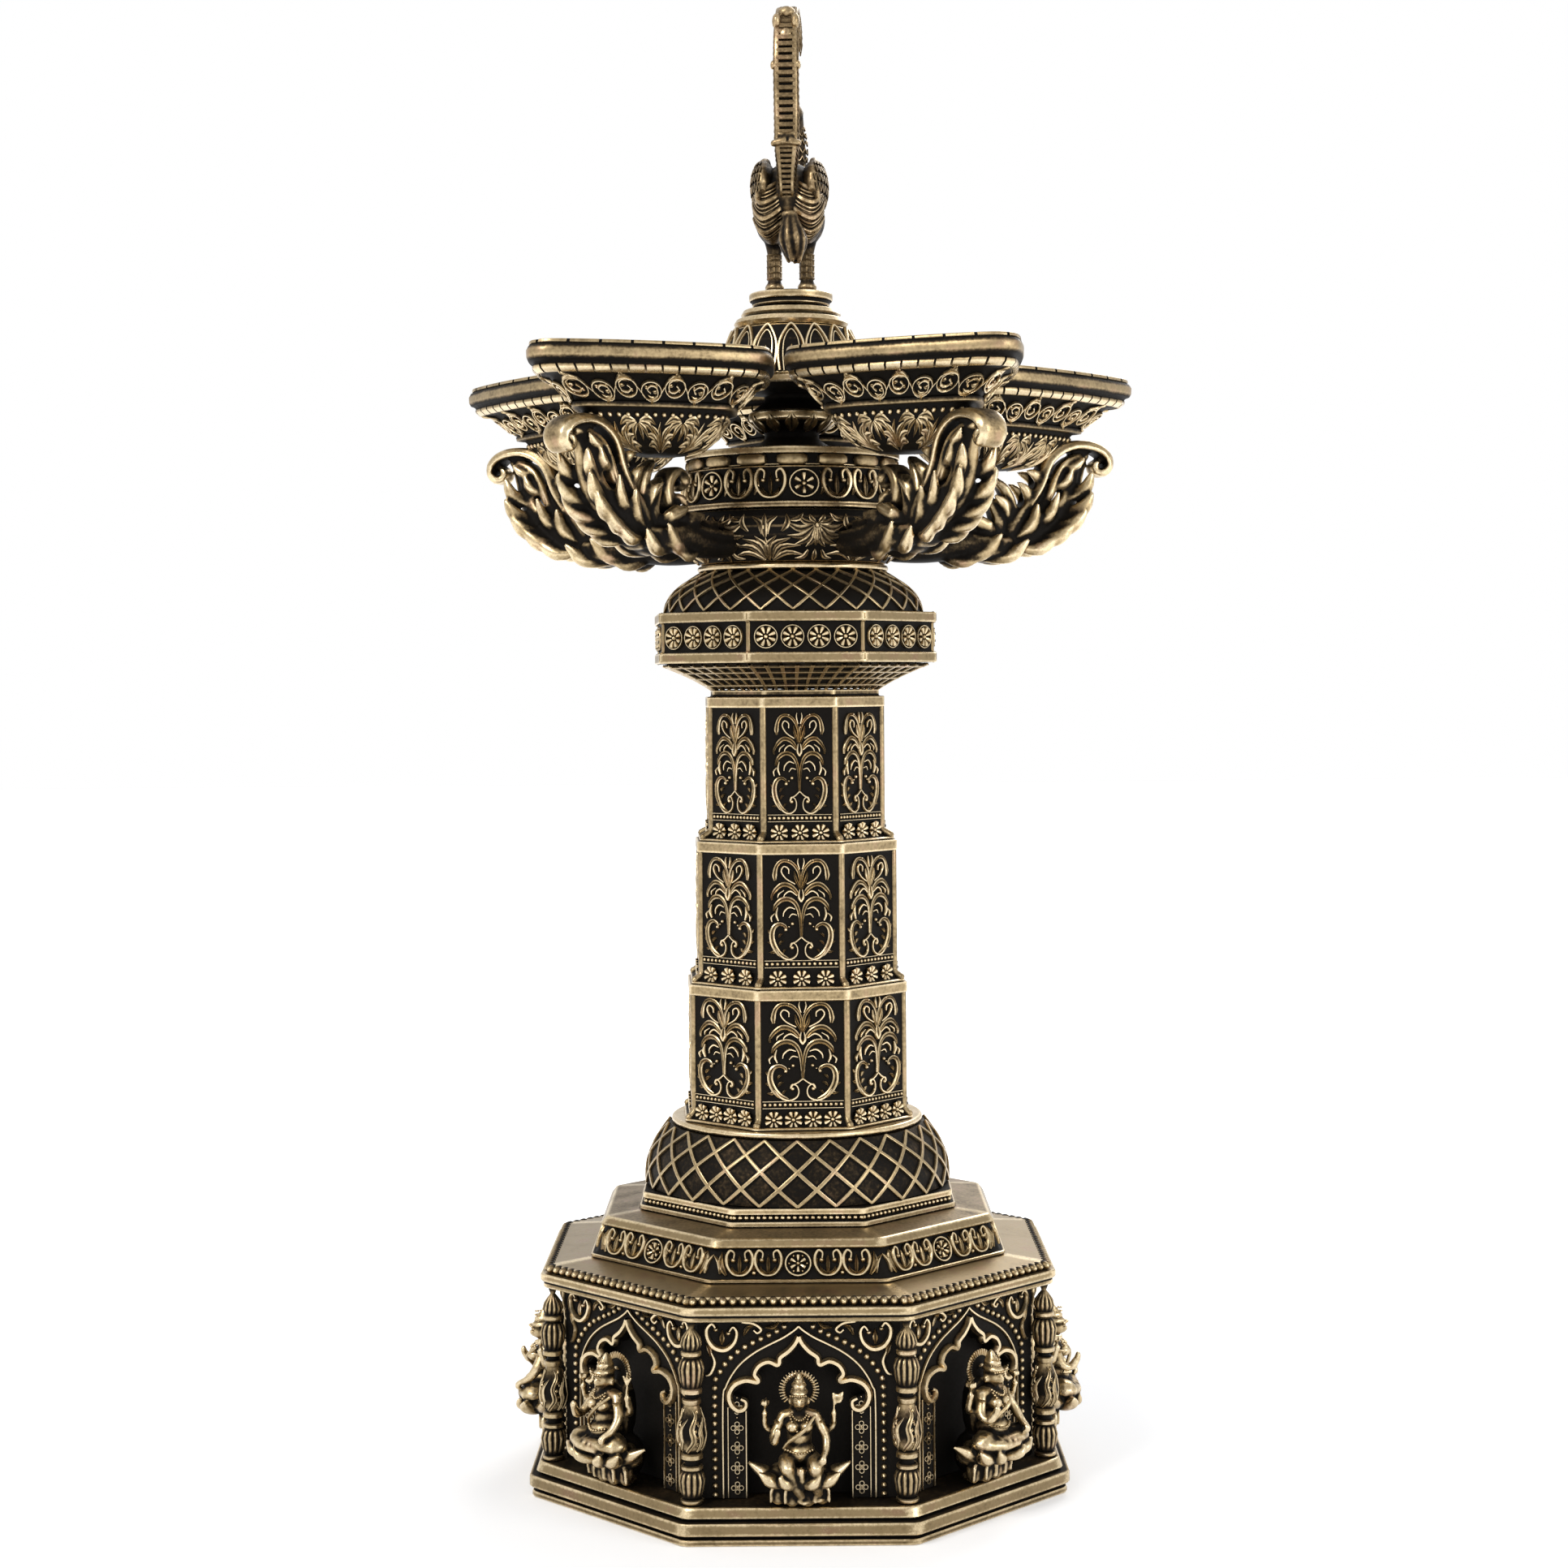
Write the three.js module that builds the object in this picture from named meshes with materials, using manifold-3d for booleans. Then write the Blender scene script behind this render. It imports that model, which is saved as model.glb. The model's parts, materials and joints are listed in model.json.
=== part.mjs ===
// Brass goddess lamp with five oil bowls and a bird finial.
// Millimetres, +Z up. The origin is on the lamp's axis, at the underside of the base.
// Azimuths are counted from the front (-Y) towards +X.

import * as THREE from 'three';
import { mergeVertices } from 'three/addons/utils/BufferGeometryUtils.js';
import Module from 'manifold-3d';

const wasm = await Module();
wasm.setup();

// Driving dimensions

const seatGap = 0.3;
const facetCount = 8;
const roundSegments = 24;
const rodSegments = 16;
const nutSides = 6;
const balusterSides = 6;
const cutOverrun = 2;

const turnDegrees = { column: 3.25, capital: 5, firstBowl: 32.5, bird: 176.5 };
const quarterDegrees = 90;

const foot = {
  lipRadius: 97.3, lipHeight: 1.9,
  grooveRadius: 95.6, grooveHeight: 1.5,
  bandRadius: 98.3, bandHeight: 3.9,
  coveRadius: 94.3, coveHeight: 0.8,
  filletRadius: 96.0, filletHeight: 3.4,
  ledgeRadius: 94.7, ledgeInnerRadius: 72, ledgeThickness: 3,
  wall: 5.3, rebateWidth: 2, rebateDepth: 1.5,
};
const basePlate = { thickness: 1.2 };
const drum = { radius: 85, height: 57.7, wall: 8 };
const niche = {
  depth: 5.2, jambHalfWidth: 16.4, springHeight: 30.9, apexHeight: 50.4,
  lobeHalfWidth: 21.6, lobeHeight: 33.2,
  lowCuspHalfWidth: 13.2, lowCuspHeight: 36.9,
  highCuspHalfWidth: 7, highCuspHeight: 42.9,
};
const cap = {
  radius: 93.9, fasciaHeight: 4.7, slabRadius: 90, slabEdge: 2.5, slabTopRadius: 76.6, slabRise: 1.3,
  web: 6.6,
};
const step = {
  footRadius: 76, skirtHeight: 1.1, friezeLowRadius: 74.2, friezeHeight: 9.4, friezeTopRadius: 70.4,
  corniceRadius: 72.6, corniceHeight: 2.8, corniceTopRadius: 70.5, topRadius: 58.8, topRise: 1,
  wall: 4, webThickness: 3.5,
};
const plinth = {
  radius: 58.3, filletHeight: 1.6, grooveRadius: 56.4, grooveHeight: 2.2, topRadius: 57.2,
  topHeight: 2, innerRadius: 47,
};
const lowerDome = { radius: 52.3, topRadius: 44.4, height: 20.4, wall: 2.6, bulge: 2.6 };
const neckRing = { radius: 43.8, height: 2.3, innerRadius: 36, round: 1.1 };
const tier = { coveHeight: 2.6, ledgeLip: 0.6, borderHeight: 3.6, borderEase: 0.5, wall: 3.2 };
const tierSizes = {
  column_lower: { height: 46.7, ledgeRadius: 42.4, wallRadius: 39.5, borderRadius: 40.7 },
  column_middle: { height: 48.7, ledgeRadius: 39.8, wallRadius: 36.4, borderRadius: 37.4 },
  column_upper: { height: 49.3, ledgeRadius: 36.4, wallRadius: 32.3, borderRadius: 33.2 },
};
const tierRelief = {
  height: 1, sink: 0.5, margin: 3.1, branchWidth: 1.7, pearlLevel: 5.6, pearlWidth: 1.7,
  rosetteRadius: 2.8, rosetteLevel: 0.8, postRadius: 1.2, postInset: 0.45,
};
const tierRosettes = { column_lower: 4, column_middle: 3, column_upper: 3 };
const rosetteSides = 6;
const columnCrown = { radius: 31.2, height: 2.4 };
const funnel = { height: 8.6, lowRadius: 30.2, topRadius: 48.4, wall: 2.8, sag: 1.4 };
const band = { radius: 51.8, panelRadius: 50.3, frameHeight: 3.4, height: 17.2, innerRadius: 45.6 };
const upperDome = { radius: 44.7, topRadius: 31.6, height: 13.8, wall: 2.6, bulge: 3.4 };
const collar = { radius: 33.4, height: 2.3, innerRadius: 24, round: 1.1 };
const urn = {
  footRadius: 32.1, bellyRadius: 40.1, lipRadius: 38.4, height: 17.8, bellyShare: 0.66, wall: 3,
  bossRadius: 12, bossHeight: 9,
};
const frieze = { filletRadius: 40, filletHeight: 1.9, lowRadius: 38, topRadius: 37.2, height: 14 };
const rollRing = {
  lowRadius: 35.8, rollRadius: 37.4, rollHeight: 4, rimRadius: 37.6, rimHeight: 2.2, deck: 2.4,
};
const stem = {
  footRadius: 15, waistRadius: 9.5, knopRadius: 15.5, flangeRadius: 25.4, height: 25.6,
  flangeHeight: 2.6, boreRadius: 5.5,
};
const petalDome = { radius: 26.2, topRadius: 20.4, height: 17.6, wall: 2.4, bulge: 0.7 };
const crown = { lowRadius: 20, topRadius: 17.5, ringHeight: 3.2, web: 2.6, wall: 3 };
const perch = {
  neckRadius: 13.6, neckHeight: 1.7, radius: 14.6, height: 2.7, socketDepth: 2.6,
};
const stud = { radius: 3, length: 14, clearance: 0.3 };
const birdWasher = { radius: 9, thickness: 0.8 };

const rod = { radius: 4, clearance: 0.4, tailLength: 6 };
const clampPlate = { radius: 24, thickness: 2.8 };
const rodWasher = { radius: 9, thickness: 1.5 };
const rodNut = { radius: 7.5, height: 6 };

const bowl = {
  count: 5, originDistance: 68.3, apexReach: 58.3, heelReach: 39.5, halfWidth: 41.2, height: 33.8,
  seatDrop: 11.5,
};
const bracket = { thickness: 9, tipInset: 6.3, tipDrop: 0.5, height: 45.5 };

const baluster = { standOff: 4.6, maxRadius: 4.4 };
const goddess = {
  height: 43.2, halfWidth: 15.6, halfDepth: 9.6, axisReach: 10.3, handSpread: 12.2, backReach: 6,
};

const bird = {
  bodyLength: 36, bodyWidth: 24.4, bodyHeight: 30, bodyLevel: 31, legSpread: 5.7, legRadius: 2.7,
  footLength: 11, footWidth: 8, footHeight: 2.2, neckRadius: 4.8, headRadius: 4.4, headLevel: 66,
  headReach: 15, beakLength: 8, wingLength: 33, wingWidth: 7.6, wingHeight: 20, wingLevel: 36,
  wingSpread: 10.2, plumeThickness: 7.8, plumeReach: 21, plumeTop: 99.5, tasselLength: 17,
  tasselRadius: 4.6, tasselLevel: 16, tasselShift: 2,
};

const brassTones = [0xb98c4a, 0xa87e42, 0xc69a58, 0x9c7440];

// Derived levels, from the bottom up

const facetCosine = Math.cos(Math.PI / facetCount);
const inRadians = THREE.MathUtils.degToRad;
const inDegrees = THREE.MathUtils.radToDeg;

function footInnerRadius() {
  return foot.coveRadius - foot.wall;
}

function footHeight() {
  return foot.lipHeight + foot.grooveHeight + foot.bandHeight + foot.coveHeight + foot.filletHeight;
}

const level = {};
level.drum = footHeight() + seatGap;
level.cap = level.drum + drum.height + seatGap;
level.step = level.cap + cap.fasciaHeight + cap.slabEdge + cap.slabRise + seatGap;
level.plinth = level.step + step.skirtHeight + step.friezeHeight + step.corniceHeight
  + step.topRise + seatGap;
level.lowerDome = level.plinth + plinth.filletHeight + plinth.grooveHeight + plinth.topHeight
  + seatGap;
level.neckRing = level.lowerDome + lowerDome.height + seatGap;
level.column_lower = level.neckRing + neckRing.height + seatGap;
level.column_middle = level.column_lower + tierSizes.column_lower.height + seatGap;
level.column_upper = level.column_middle + tierSizes.column_middle.height + seatGap;
level.funnel = level.column_upper + tierSizes.column_upper.height + columnCrown.height + seatGap;
level.band = level.funnel + funnel.height + seatGap;
level.upperDome = level.band + band.height + seatGap;
level.collar = level.upperDome + upperDome.height + seatGap;
level.urn = level.collar + collar.height + seatGap;
level.frieze = level.urn + urn.height + seatGap;
level.rollRing = level.frieze + frieze.height + seatGap;
level.stem = level.rollRing + rollRing.rollHeight + rollRing.rimHeight + seatGap;
level.petalDome = level.stem + stem.height + seatGap;
level.crown = level.petalDome + petalDome.height + seatGap;
level.birdWasher = level.crown + 2 * crown.ringHeight + seatGap;
level.perch = level.birdWasher + birdWasher.thickness + seatGap;
level.bird = level.perch + perch.neckHeight + perch.height + seatGap;
level.bracketTip = level.urn - bracket.tipDrop;
level.bowl = level.bracketTip + bracket.height - bowl.seatDrop;

// Solids

function weld(geometry) {
  geometry.deleteAttribute('normal');
  geometry.deleteAttribute('uv');
  const merged = mergeVertices(geometry);
  const index = merged.getIndex().array;
  const kept = [];
  for (let i = 0; i < index.length; i += 3) {
    const [a, b, c] = [index[i], index[i + 1], index[i + 2]];
    if (a !== b && b !== c && c !== a) {
      kept.push(a, b, c);
    }
  }
  return { positions: merged.getAttribute('position').array, triangles: new Uint32Array(kept) };
}

function toSolid(geometry) {
  const { positions, triangles } = weld(geometry);
  return new wasm.Manifold(new wasm.Mesh({
    numProp: 3, vertProperties: positions, triVerts: triangles,
  }));
}

function toGeometry(solid) {
  const mesh = solid.getMesh();
  const geometry = new THREE.BufferGeometry();
  geometry.setAttribute('position', new THREE.Float32BufferAttribute(mesh.vertProperties, 3));
  geometry.setIndex(new THREE.Uint32BufferAttribute(mesh.triVerts, 1));
  return geometry;
}

function union(solids) {
  return solids.reduce((whole, piece) => whole.add(piece));
}

// A profile of [radius, height] pairs turned about the axis. A profile that runs up its outer side
// and down its inner side is a ring; one that starts and ends on the axis is a full piece.
function turned(profile, segments, firstAngle = 0) {
  const points = profile.map(([radius, height]) => new THREE.Vector2(radius, height));
  if (profile[0][0] > 0) {
    points.push(points[0].clone());
  }
  const geometry = new THREE.LatheGeometry(points, segments, firstAngle);
  geometry.rotateX(Math.PI / 2);
  return geometry;
}

function octagonal(profile) {
  return turned(profile, facetCount, Math.PI / facetCount);
}

function ellipsoid(size, place, columns = 6, rows = 4) {
  const geometry = new THREE.SphereGeometry(0.5, columns, rows);
  geometry.rotateX(Math.PI / 2);
  geometry.scale(...size);
  geometry.translate(...place);
  return toSolid(geometry);
}

function limb(start, end, radius, segments = 4) {
  const from = new THREE.Vector3(...start);
  const to = new THREE.Vector3(...end);
  const geometry = new THREE.CapsuleGeometry(radius, from.distanceTo(to), 1, segments);
  const along = to.clone().sub(from).normalize();
  const up = new THREE.Vector3(0, 1, 0);
  geometry.applyQuaternion(new THREE.Quaternion().setFromUnitVectors(up, along));
  const middle = from.add(to).multiplyScalar(0.5);
  geometry.translate(middle.x, middle.y, middle.z);
  return toSolid(geometry);
}

// An outline in a vertical plane, given as [reach, height], thickened across that plane.
function plate(outline, thickness, holes = []) {
  const shape = new THREE.Shape(outline.map(([reach, height]) => new THREE.Vector2(reach, height)));
  for (const hole of holes) {
    shape.holes.push(new THREE.Path(hole.map(([reach, height]) => new THREE.Vector2(reach, height))));
  }
  const geometry = new THREE.ExtrudeGeometry(shape, { depth: thickness, bevelEnabled: false });
  geometry.translate(0, 0, -thickness / 2);
  geometry.rotateX(Math.PI / 2);
  return toSolid(geometry);
}

// Base

function footProfile() {
  const lipTop = foot.lipHeight;
  const grooveTop = lipTop + foot.grooveHeight;
  const bandTop = grooveTop + foot.bandHeight;
  const coveTop = bandTop + foot.coveHeight;
  const top = footHeight();
  const inner = footInnerRadius();
  return [
    [foot.lipRadius, 0], [foot.lipRadius, lipTop],
    [foot.grooveRadius, lipTop], [foot.grooveRadius, grooveTop],
    [foot.bandRadius, grooveTop], [foot.bandRadius, bandTop],
    [foot.coveRadius, bandTop], [foot.coveRadius, coveTop],
    [foot.filletRadius, coveTop], [foot.ledgeRadius, top],
    [foot.ledgeInnerRadius, top], [foot.ledgeInnerRadius, top - foot.ledgeThickness],
    [inner, top - foot.ledgeThickness], [inner, foot.rebateDepth],
    [inner + foot.rebateWidth, foot.rebateDepth], [inner + foot.rebateWidth, 0],
  ];
}

function basePlateProfile() {
  const radius = footInnerRadius() + foot.rebateWidth - seatGap / facetCosine;
  return [[0, 0], [radius, 0], [radius, basePlate.thickness], [0, basePlate.thickness]];
}

function nicheOutline() {
  const half = [
    [niche.jambHalfWidth, niche.springHeight],
    [niche.lobeHalfWidth, niche.lobeHeight],
    [(niche.lobeHalfWidth + niche.lowCuspHalfWidth) / 2, niche.lowCuspHeight],
    [niche.lowCuspHalfWidth, niche.lowCuspHeight],
    [niche.lowCuspHalfWidth, niche.highCuspHeight],
    [niche.highCuspHalfWidth, niche.highCuspHeight],
    [niche.highCuspHalfWidth / 2, (niche.highCuspHeight + niche.apexHeight) / 2],
  ];
  const right = [[niche.jambHalfWidth, 0], ...half];
  const left = right.map(([reach, height]) => [-reach, height]).reverse();
  return [...right, [0, niche.apexHeight], ...left];
}

function drumSolid() {
  const inner = drum.radius - drum.wall / facetCosine;
  const top = level.drum + drum.height;
  let solid = toSolid(octagonal([
    [drum.radius, level.drum], [drum.radius, top], [inner, top], [inner, level.drum],
  ]));
  const apothem = drum.radius * facetCosine;
  for (let i = 0; i < facetCount; i += 1) {
    const cutter = plate(nicheOutline(), niche.depth + cutOverrun)
      .translate([0, -apothem + (niche.depth - cutOverrun) / 2, level.drum])
      .rotate([0, 0, i * 360 / facetCount]);
    solid = solid.subtract(cutter);
  }
  return solid;
}

function balusterProfile() {
  const foot0 = level.drum;
  const height = drum.height;
  const shares = [
    [0.72, 0], [0.95, 0.03], [0.62, 0.06], [0.9, 0.16], [0.5, 0.25], [0.95, 0.28], [0.62, 0.31],
    [1, 0.4], [0.5, 0.66], [0.85, 0.69], [0.55, 0.72], [0.95, 0.88], [0.3, 1],
  ];
  const side = shares.map(([radiusShare, heightShare]) => [
    baluster.maxRadius * radiusShare, foot0 + height * heightShare,
  ]);
  return [[0, foot0], ...side, [0, foot0 + height]];
}

// Seated figure as [half width share, height share]: feet, lotus, lap, waist, chest, neck, head.
const figureShares = [
  [0.42, 0], [0.5, 0.12], [0.94, 0.22], [1, 0.34], [0.74, 0.4], [0.62, 0.48], [0.34, 0.55],
  [0.52, 0.66], [0.16, 0.73], [0.27, 0.8], [0.22, 0.88], [0.08, 1],
];
// Raised arms and halo behind the figure, as [hand spread share, height share], right half.
const armShares = [
  [0.5, 0.36], [0.9, 0.5], [1, 0.62], [1, 0.74], [0.78, 0.74], [0.74, 0.64], [0.52, 0.7], [0.52, 0.86],
  [0.2, 0.92],
];

// The figure sits in front of a niche, on the foot's ledge. Its reach runs inwards along +Y.
function goddessSolid() {
  const g = goddess;
  const back = niche.depth - seatGap;
  const side = figureShares.map(([radiusShare, heightShare]) => [
    g.halfWidth * radiusShare, g.height * heightShare,
  ]);
  const body = turned([[0, 0], ...side, [0, g.height]], facetCount);
  body.scale(1, g.halfDepth / g.halfWidth, 1);
  body.translate(0, -g.axisReach, 0);
  const right = armShares.map(([spreadShare, heightShare]) => [
    g.handSpread * spreadShare, g.height * heightShare,
  ]);
  const left = right.map(([spread, height]) => [-spread, height]).reverse();
  const arms = plate([...right, ...left], back + g.backReach)
    .translate([0, (back - g.backReach) / 2, 0]);
  return toSolid(body).add(arms);
}

function capProfile() {
  const fasciaTop = level.cap + cap.fasciaHeight;
  const edgeTop = fasciaTop + cap.slabEdge;
  const top = edgeTop + cap.slabRise;
  const inner = cap.slabTopRadius - cap.web;
  return [
    [cap.radius, level.cap], [cap.radius, fasciaTop], [cap.slabRadius, fasciaTop],
    [cap.slabRadius, edgeTop], [cap.slabTopRadius, top], [inner, top], [inner, level.cap],
  ];
}

function stepProfile() {
  const skirtTop = level.step + step.skirtHeight;
  const friezeTop = skirtTop + step.friezeHeight;
  const corniceTop = friezeTop + step.corniceHeight;
  const top = corniceTop + step.topRise;
  const inner = step.friezeTopRadius - step.wall;
  const bore = rod.radius + rod.clearance;
  return [
    [step.footRadius, level.step], [step.footRadius, skirtTop],
    [step.friezeLowRadius, skirtTop], [step.friezeTopRadius, friezeTop],
    [step.corniceRadius, friezeTop], [step.corniceTopRadius, corniceTop],
    [step.topRadius, top], [bore, top], [bore, top - step.webThickness],
    [inner, top - step.webThickness], [inner, level.step],
  ];
}

function plinthProfile() {
  const filletTop = level.plinth + plinth.filletHeight;
  const grooveTop = filletTop + plinth.grooveHeight;
  const top = grooveTop + plinth.topHeight;
  return [
    [plinth.radius, level.plinth], [plinth.radius, filletTop],
    [plinth.grooveRadius, filletTop], [plinth.grooveRadius, grooveTop],
    [plinth.topRadius, grooveTop], [plinth.topRadius, top],
    [plinth.innerRadius, top], [plinth.innerRadius, level.plinth],
  ];
}

// A dome's outer side swells past the straight line between its two edges by the bulge.
function domeSide(size, bottom, inset = 0, steps = 4) {
  const side = [];
  for (let i = 0; i <= steps; i += 1) {
    const share = i / steps;
    const straight = THREE.MathUtils.lerp(size.radius, size.topRadius, share);
    side.push([straight + size.bulge * Math.sin(Math.PI * share) - inset,
      bottom + size.height * share]);
  }
  return side;
}

function domeProfile(size, bottom) {
  return [...domeSide(size, bottom), ...domeSide(size, bottom, size.wall).reverse()];
}

function ringProfile(size, bottom) {
  const top = bottom + size.height;
  const middle = bottom + size.height / 2;
  return [
    [size.radius - size.round, bottom], [size.radius, middle], [size.radius - size.round, top],
    [size.innerRadius, top], [size.innerRadius, bottom],
  ];
}

// Column and capital

function tierProfile(name) {
  const size = tierSizes[name];
  const bottom = level[name];
  const top = bottom + size.height;
  const inner = size.wallRadius - tier.wall;
  const crest = name === 'column_upper'
    ? [[columnCrown.radius, top], [columnCrown.radius, top + columnCrown.height]] : [];
  const innerTop = crest.length > 0 ? top + columnCrown.height : top;
  return [
    [size.ledgeRadius, bottom], [size.ledgeRadius, bottom + tier.ledgeLip],
    [size.wallRadius, bottom + tier.coveHeight],
    [size.wallRadius, top - tier.borderHeight],
    [size.borderRadius, top - tier.borderHeight],
    [size.borderRadius, top - tier.borderEase],
    [size.borderRadius - tier.borderEase, top],
    ...crest, [inner, innerTop], [inner, bottom],
  ];
}

// Branches of a column panel's tree, right half, as shares of its half width and of its height.
const branchShares = [
  [[0.01, 0.25], [0.2, 0.11], [0.5, 0.05], [0.88, 0.2], [0.78, 0.36], [0.47, 0.34]],
  [[0.02, 0.26], [0.22, 0.56], [0.83, 0.54]],
  [[0.02, 0.6], [0.4, 0.74], [0.87, 0.65]],
  [[0.03, 0.71], [0.36, 0.95], [0.81, 0.84]],
];

// A band of even width along a line, narrowed to half at its tip.
function strokeOutline(line, width) {
  const sides = line.map(([across, up], i) => {
    const before = line[Math.max(i - 1, 0)];
    const after = line[Math.min(i + 1, line.length - 1)];
    const run = Math.hypot(after[0] - before[0], after[1] - before[1]);
    const half = i === line.length - 1 ? width / 4 : width / 2;
    const shift = [(before[1] - after[1]) / run * half, (after[0] - before[0]) / run * half];
    return [[across + shift[0], up + shift[1]], [across - shift[0], up - shift[1]]];
  });
  return [...sides.map(([left]) => left), ...sides.map(([, right]) => right).reverse()];
}

// Raised ornament of one panel, in the plane of the panel, from the top of the tier's cove.
function panelOutlines(name) {
  const size = tierSizes[name];
  const r = tierRelief;
  const panelHalf = size.wallRadius * Math.sin(Math.PI / facetCount);
  const half = panelHalf - r.margin;
  const rise = size.height - tier.coveHeight - tier.borderHeight - r.pearlLevel;
  const pearlHalf = panelHalf - r.postRadius;
  const outlines = [[
    [-pearlHalf, r.pearlLevel - r.pearlWidth / 2], [pearlHalf, r.pearlLevel - r.pearlWidth / 2],
    [pearlHalf, r.pearlLevel + r.pearlWidth / 2], [-pearlHalf, r.pearlLevel + r.pearlWidth / 2],
  ]];
  for (const shares of branchShares) {
    const line = shares.map(([across, up]) => [half * across, r.pearlLevel + rise * up]);
    const right = strokeOutline(line, r.branchWidth);
    outlines.push(right, right.map(([across, up]) => [-across, up]).reverse());
  }
  const pitch = 2 * pearlHalf / tierRosettes[name];
  for (let k = 0; k < tierRosettes[name]; k += 1) {
    const middle = -pearlHalf + pitch * (k + 0.5);
    outlines.push(Array.from({ length: rosetteSides }, (_, i) => {
      const angle = 2 * Math.PI * i / rosetteSides;
      return [middle + r.rosetteRadius * Math.cos(angle), r.rosetteLevel + r.rosetteRadius * Math.sin(angle)];
    }));
  }
  return outlines;
}

function tierSolid(name) {
  const size = tierSizes[name];
  const r = tierRelief;
  const floor = level[name] + tier.coveHeight;
  const wallTop = level[name] + size.height - tier.borderHeight;
  const shift = -size.wallRadius * facetCosine - (r.height - r.sink) / 2;
  const relief = union(panelOutlines(name).map((outline) => plate(outline, r.height + r.sink)))
    .translate([0, shift, floor]);
  const postBottom = level[name] + tier.ledgeLip;
  const post = toSolid(turned([
    [0, postBottom], [r.postRadius, postBottom], [r.postRadius, wallTop + r.sink], [0, wallTop + r.sink],
  ], rosetteSides)).translate([0, r.postInset - size.wallRadius, 0])
    .rotate([0, 0, inDegrees(Math.PI / facetCount)]);
  let solid = toSolid(octagonal(tierProfile(name)));
  for (let i = 0; i < facetCount; i += 1) {
    solid = solid.add(relief.add(post).rotate([0, 0, i * 360 / facetCount]));
  }
  return solid;
}

function funnelProfile() {
  const top = level.funnel + funnel.height;
  const middle = level.funnel + funnel.height / 2;
  const half = (funnel.lowRadius + funnel.topRadius) / 2 - funnel.sag;
  return [
    [funnel.lowRadius, level.funnel], [half, middle], [funnel.topRadius, top],
    [funnel.topRadius - funnel.wall, top], [half - funnel.wall, middle],
    [funnel.lowRadius - funnel.wall, level.funnel],
  ];
}

function bandProfile() {
  const lowFrame = level.band + band.frameHeight;
  const top = level.band + band.height;
  const highFrame = top - band.frameHeight;
  return [
    [band.radius, level.band], [band.radius, lowFrame], [band.panelRadius, lowFrame],
    [band.panelRadius, highFrame], [band.radius, highFrame], [band.radius, top],
    [band.innerRadius, top], [band.innerRadius, level.band],
  ];
}

// Urn, stem and crown

function urnShoulderRadius() {
  return (urn.footRadius + 2 * urn.bellyRadius) / 3;
}

function urnProfile() {
  const top = level.urn + urn.height;
  const belly = level.urn + urn.height * urn.bellyShare;
  const floorTop = level.urn + urn.wall;
  const bore = rod.radius + rod.clearance;
  const bossTop = level.urn + urn.bossHeight;
  const shoulder = urnShoulderRadius();
  return [
    [urn.footRadius, level.urn], [shoulder, level.urn + urn.height / 3],
    [urn.bellyRadius, belly], [urn.lipRadius, top],
    [urn.lipRadius - urn.wall, top], [urn.bellyRadius - urn.wall, belly],
    [shoulder - urn.wall, level.urn + urn.height / 3], [urn.footRadius - urn.wall, floorTop],
    [urn.bossRadius, floorTop], [urn.bossRadius, bossTop], [bore, bossTop], [bore, level.urn],
  ];
}

function friezeProfile() {
  const top = level.frieze + frieze.height;
  const filletTop = level.frieze + frieze.filletHeight;
  return [
    [frieze.filletRadius, level.frieze], [frieze.filletRadius, filletTop],
    [frieze.lowRadius, filletTop], [frieze.topRadius, top],
    [frieze.topRadius - urn.wall, top], [frieze.topRadius - urn.wall, level.frieze],
  ];
}

function rollRingProfile() {
  const rollTop = level.rollRing + rollRing.rollHeight;
  const top = rollTop + rollRing.rimHeight;
  const inner = rollRing.lowRadius - urn.wall;
  return [
    [rollRing.lowRadius, level.rollRing],
    [rollRing.rollRadius, level.rollRing + rollRing.rollHeight / 3],
    [rollRing.rollRadius, level.rollRing + rollRing.rollHeight * 2 / 3],
    [rollRing.lowRadius, rollTop], [rollRing.rimRadius, rollTop], [rollRing.rimRadius, top],
    [stem.boreRadius, top], [stem.boreRadius, top - rollRing.deck],
    [inner, top - rollRing.deck], [inner, level.rollRing],
  ];
}

function stemProfile() {
  const shares = [
    [stem.footRadius, 0], [stem.footRadius, 0.06], [stem.waistRadius, 0.2],
    [stem.waistRadius, 0.3], [stem.knopRadius, 0.45], [stem.knopRadius, 0.55],
    [stem.waistRadius, 0.72], [stem.waistRadius, 0.8],
  ];
  const top = level.stem + stem.height;
  const side = shares.map(([radius, share]) => [radius, level.stem + stem.height * share]);
  return [
    ...side, [stem.flangeRadius, top - stem.flangeHeight], [stem.flangeRadius, top],
    [stem.boreRadius, top], [stem.boreRadius, level.stem],
  ];
}

function crownProfile() {
  const middle = level.crown + crown.ringHeight;
  const top = middle + crown.ringHeight;
  const bore = stud.radius + stud.clearance;
  const round = crown.ringHeight / 4;
  const inner = crown.topRadius - crown.wall;
  return [
    [crown.lowRadius - round, level.crown], [crown.lowRadius, level.crown + 2 * round],
    [crown.lowRadius - round, middle], [crown.topRadius - round, middle],
    [crown.topRadius, middle + 2 * round], [crown.topRadius - round, top],
    [bore, top], [bore, top - crown.web], [inner, top - crown.web], [inner, level.crown],
  ];
}

function perchProfile() {
  const neckTop = level.perch + perch.neckHeight;
  const top = neckTop + perch.height;
  const socket = stud.radius + stud.clearance;
  return [
    [socket, level.perch], [perch.neckRadius, level.perch], [perch.neckRadius, neckTop],
    [perch.radius, neckTop], [perch.radius, top], [0, top],
    [0, level.perch + perch.socketDepth], [socket, level.perch + perch.socketDepth],
    [socket, level.perch],
  ];
}

// Oil bowls, leaf shaped in plan, pointing outwards

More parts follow.
